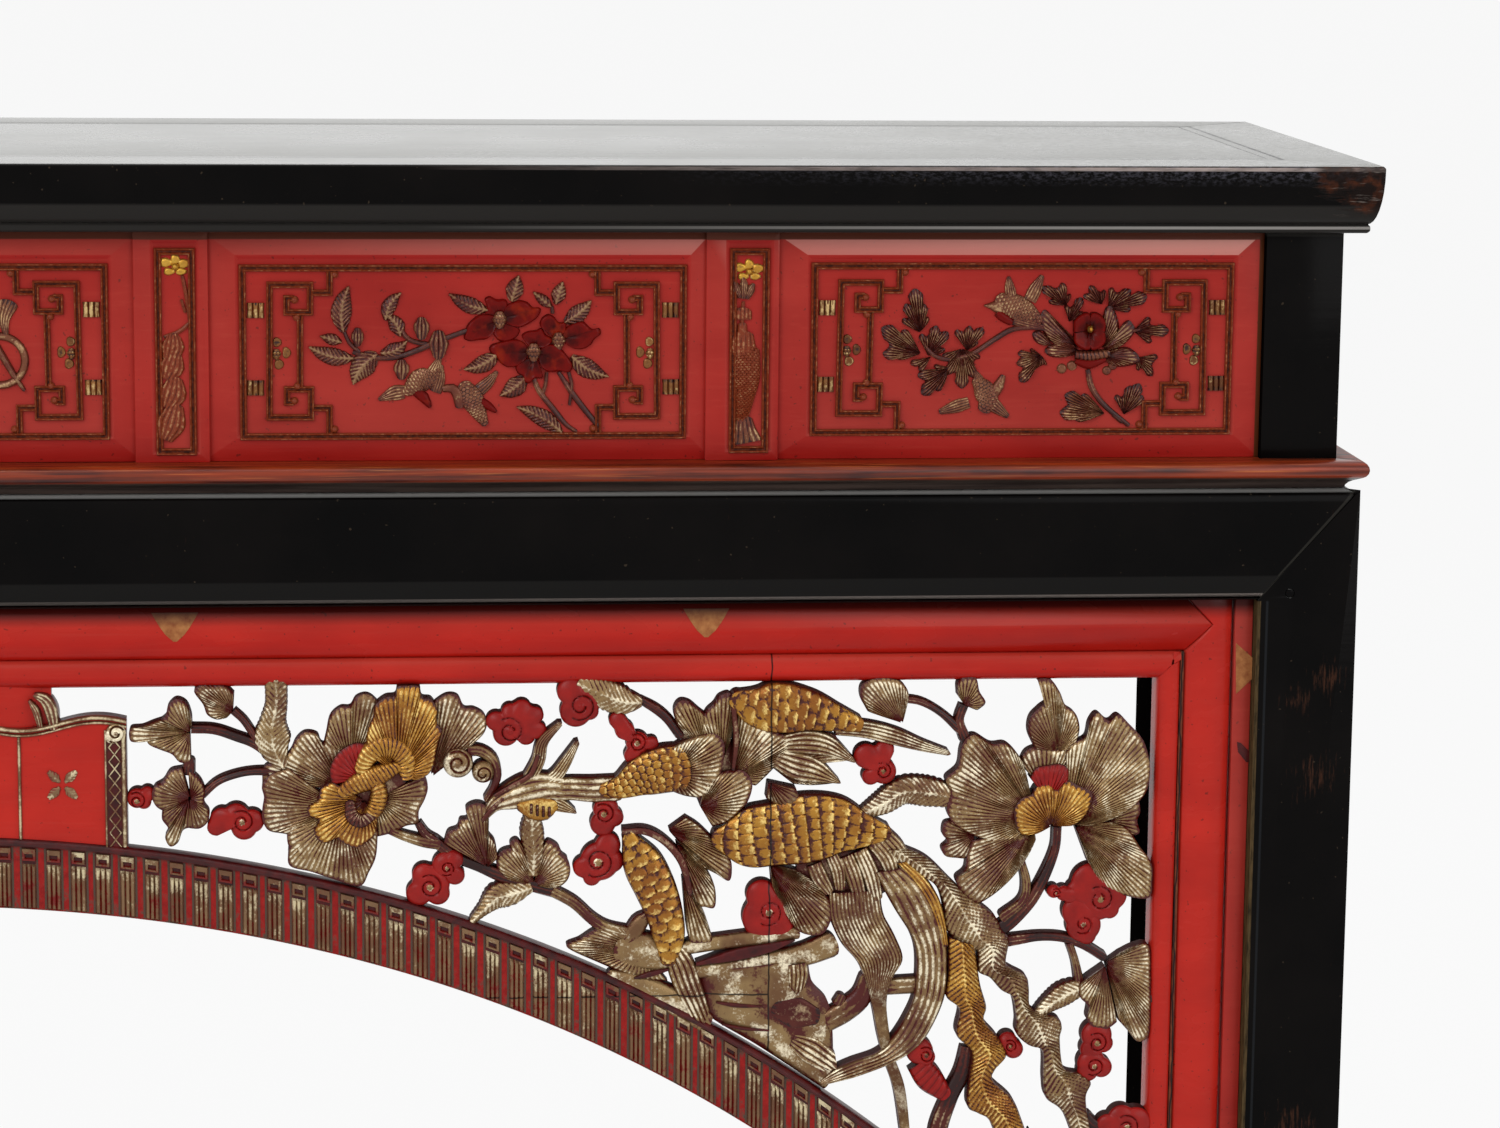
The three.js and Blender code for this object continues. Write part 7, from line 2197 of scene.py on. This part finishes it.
# Plumes drawn by both their edges: style, left edge, right edge
SHEETS = {
    "rocks": [
        ("rock", [(700, 972), (703, 992), (708, 1016), (760, 1048), (824, 1090)], [(808, 960), (813, 984),
         (828, 1002), (833, 1030), (834, 1076)], dict(ribs=2, groove=0.3, lift=-2.5)),
    ],
    "tail": [
        ("ribbon", [(828, 893), (830, 918), (841, 943), (857, 962), (866, 984), (873, 1011), (878, 1038),
         (885, 1064), (894, 1091), (900, 1130), (904, 1160)], [(880, 890), (884, 915), (896, 938),
         (903, 960), (892, 980), (887, 1002), (889, 1028), (894, 1055), (905, 1087), (910, 1130),
         (911, 1160)], dict(ribs=14, lift=-0.5, groove=0.9)),
        ("ribbon", [(874, 872), (894, 908), (910, 934), (916, 957), (914, 993), (905, 1016), (891, 1038),
         (876, 1052), (851, 1061), (834, 1069), (820, 1080)], [(906, 866), (928, 886), (941, 909),
         (946, 939), (947, 966), (944, 998), (930, 1030), (916, 1048), (894, 1062), (858, 1076),
         (822, 1085)], dict(ribs=5, lift=1.5, groove=1.1)),
        ("ribbon", [(896, 862), (912, 880), (926, 900), (936, 924), (942, 946)], [(906, 860), (924, 876),
         (938, 896), (945, 920), (948, 944)], dict(ribs=3, lift=2.5, slot=1)),
        ("plume", [(884, 850), (912, 872), (934, 884), (943, 904), (944, 925), (951, 936), (962, 948),
         (977, 951), (978, 971), (990, 978), (1001, 990), (1012, 997), (1016, 1018), (1016, 1033),
         (1028, 1045), (1042, 1051), (1043, 1080), (1046, 1098), (1060, 1109), (1069, 1126), (1080, 1160)],
         [(902, 846), (928, 858), (951, 880), (969, 897), (981, 904), (995, 916), (1002, 930), (1009, 940),
         (1006, 962), (1012, 968), (1026, 976), (1029, 988), (1030, 1006), (1040, 1013), (1058, 1018),
         (1062, 1028), (1060, 1040), (1064, 1068), (1081, 1074), (1091, 1083), (1086, 1098), (1090, 1128),
         (1098, 1160)], dict(lift=0.5)),
        ("gold_plume", [(948, 936), (948, 956), (948, 975), (946, 996), (959, 1009), (956, 1034),
         (971, 1051), (969, 1075), (967, 1105), (978, 1113), (989, 1120), (1000, 1146), (1012, 1170)],
         [(974, 944), (976, 958), (980, 984), (986, 1006), (984, 1020), (998, 1037), (1006, 1055),
         (995, 1069), (993, 1080), (1012, 1098), (1021, 1118), (1030, 1146), (1034, 1166)], dict(lift=2.0)),
    ],
}
CLOUDS = [
    ((137, 801), 1, [(137, 799, 10), (147, 795, 8), (144, 803, 7)], 9),
    ((242, 822), 1, [(222, 820, 12), (236, 818, 14), (252, 822, 12), (244, 828, 13), (216, 828, 9)], 12),
    ((510, 731), 1, [(496, 722, 10), (506, 734, 13), (510, 713, 9), (522, 710, 10), (535, 716, 9),
     (538, 731, 9), (526, 736, 10)], 14),
    ((581, 706), -1, [(571, 692, 14), (584, 704, 16), (576, 712, 16), (590, 712, 9)], 15),
    ((637, 743), 1, [(618, 721, 9), (625, 731, 10), (638, 744, 12), (652, 744, 7), (633, 756, 9)], 10),
    ((604, 814), 1, [(606, 810, 13), (614, 818, 10), (603, 824, 13)], 11),
    ((598, 862), -1, [(608, 846, 13), (600, 862, 20), (584, 868, 11), (592, 878, 9), (612, 862, 12)], 16),
    ((769, 912), -1, [(762, 896, 16), (776, 906, 18), (766, 918, 24), (780, 926, 14)], 14),
    ((883, 771), 1, [(867, 757, 13), (885, 750, 10), (884, 772, 13), (871, 777, 9)], 9),
    ((430, 887), 1, [(431, 884, 19), (419, 894, 13), (438, 894, 12), (424, 876, 12)], 13),
    ((447, 868), -1, [(446, 866, 14), (454, 860, 10), (455, 876, 10)], 8),
    ((1100, 899), 1, [(1092, 884, 21), (1112, 896, 16), (1098, 902, 20), (1078, 892, 12), (1110, 910, 10)],
     14),
    ((1083, 924), -1, [(1080, 912, 18), (1084, 926, 18), (1087, 936, 10)], 10),
    ((1056, 893), 1, [(1054, 892, 7), (1064, 894, 8), (1072, 896, 9)], 5),
    ((1097, 1043), 1, [(1097, 1036, 16), (1104, 1044, 10), (1092, 1050, 12)], 11),
    ((1094, 1066), -1, [(1092, 1064, 15), (1102, 1068, 11), (1088, 1072, 11)], 10),
    ((1127, 1127), 1, [(1122, 1120, 15), (1136, 1124, 17), (1108, 1126, 12), (1124, 1138, 16)], 13),
    ((926, 1055), 1, [(920, 1052, 14), (926, 1058, 10)], 9),
    ((1010, 1046), 1, [(1008, 1042, 10), (1014, 1050, 10)], 7),
    ((1060, 1160), 1, [(1052, 1156, 14), (1070, 1160, 14), (1060, 1168, 12)], 10),
    ((1128, 1240), -1, [(1120, 1232, 16), (1138, 1238, 15), (1126, 1250, 16)], 12),
    ((1050, 1268), 1, [(1046, 1262, 11), (1056, 1272, 11)], 9),
    ((1136, 1356), -1, [(1130, 1344, 16), (1142, 1358, 16), (1130, 1368, 14)], 12),
]
RED_EYES = ((510, 731), (581, 706))
CLOUD_TAILS = [("red_ribs", [(918, 1064, 12), (930, 1080, 14), (944, 1094, 9)])]
CURLS = [
    ((458, 763), 1, [(458, 763, 15)], 13), ((483, 773), -1, [(483, 772, 11)], 9),
    ((966, 950), 1, [(966, 950, 10)], 8),
]


def carve(side):
    """All the openwork of one half, drawn on the right and mirrored for the left."""
    mirror = side == "left"
    hosts = ("carved_board_" + side, "carved_lower_" + side, "carved_board_centre")
    for name, rows in BLADES.items():
        relief = Relief()
        for style, stations in rows:
            blade(relief, stations, **BLADE_STYLES[style])
        for style, foot, rim in FANS.get(name, []):
            fan(relief, foot, rim, **FAN_STYLES[style])
        for style, left, right, more in SHEETS.get(name, []):
            options = {**BLADE_STYLES[style], **more}
            for unused in ("foot", "tip", "lobe"):
                options.pop(unused, None)
            sheet(relief, left, right, **options)
        relief.piece("carved_%s_%s" % (name, side), CARVING_FINISHES, "aged_gilt", *hosts, mirror=mirror)
    relief = Relief()
    for eye, swing, lobes, coil in CLOUDS:
        scroll_cloud(relief, eye, swing, lobes, coil, slot=2, boss=2 if eye in RED_EYES else 0)
    for style, stations in CLOUD_TAILS:
        blade(relief, stations, **BLADE_STYLES[style])
    relief.piece("carved_clouds_" + side, CARVING_FINISHES, "red_lacquer", *hosts, mirror=mirror)
    relief = Relief()
    for eye, swing, lobes, coil in CURLS:
        scroll_cloud(relief, eye, swing, lobes, coil, lift=1.0)
    relief.piece("carved_curls_" + side, CARVING_FINISHES, "aged_gilt", *hosts, mirror=mirror)


make_rail()
make_band()
make_rim()
make_banner()
make_waist()
for side in ("right", "left"):
    make_stile(side)
    make_filler(side)
    make_ribs(side)
    carve(side)

# Stage


def seen_by_eye(add):
    """1 for the rays by which the camera sees a thing itself, in a mirror or through glass."""
    seen = 0.0
    for ray in ("Is Camera Ray", "Is Glossy Ray", "Is Transmission Ray"):
        seen = add("Math", seen, add("LightPath", out=ray), operation="MAXIMUM")
    return seen


def make_stage():
    deselect()
    bpy.ops.mesh.primitive_plane_add(size=60, location=(0, 10, 0))
    floor = bpy.context.object
    floor.name = "studio_floor"
    # Seamless white paper: the camera and glossy surfaces see it near white, with the table's shadow on it
    material = bpy.data.materials.new("seamless_paper")
    add = nodes_of(material)
    paper = add("BsdfDiffuse", Color="#E9E9E9")
    glow = add("Emission", Color="#FFFFFF", Strength=1.0)
    add("OutputMaterial", Surface=add("MixShader", product(add, seen_by_eye(add), 0.9), paper, glow))
    floor.data.materials.append(material)

    world = bpy.data.worlds.new("studio")
    bpy.context.scene.world = world
    add = nodes_of(world)
    fill = add("Background", Color="#FFFFFF", Strength=0.42)
    white = add("Background", Color="#FFFFFF", Strength=1.0)
    add("OutputWorld", Surface=add("MixShader", seen_by_eye(add), fill, white))


# Soft boxes: name, place, aim, size, watts
SOFT_BOXES = [
    ("key", (-1.9, -3.2, 2.9), (0.1, 0, 0.6), 2.2, 58),
    ("fill", (2.6, -2.6, 1.8), (0.2, 0, 0.6), 2.0, 20),
    ("overhead", (0.2, 0.3, 3.4), (0.2, 0, 0.8), 2.6, 36),
]


def make_lights():
    for name, place, aim, size, watts in SOFT_BOXES:
        data = bpy.data.lights.new(name, "AREA")
        data.shape = "SQUARE"
        data.size = size
        data.energy = watts
        light = bpy.data.objects.new(name, data)
        bpy.context.collection.objects.link(light)
        light.location = place
        light.rotation_euler = (Vector(aim) - Vector(place)).to_track_quat("-Z", "Y").to_euler()


make_stage()
make_lights()
bpy.context.scene.view_settings.view_transform = "Standard"
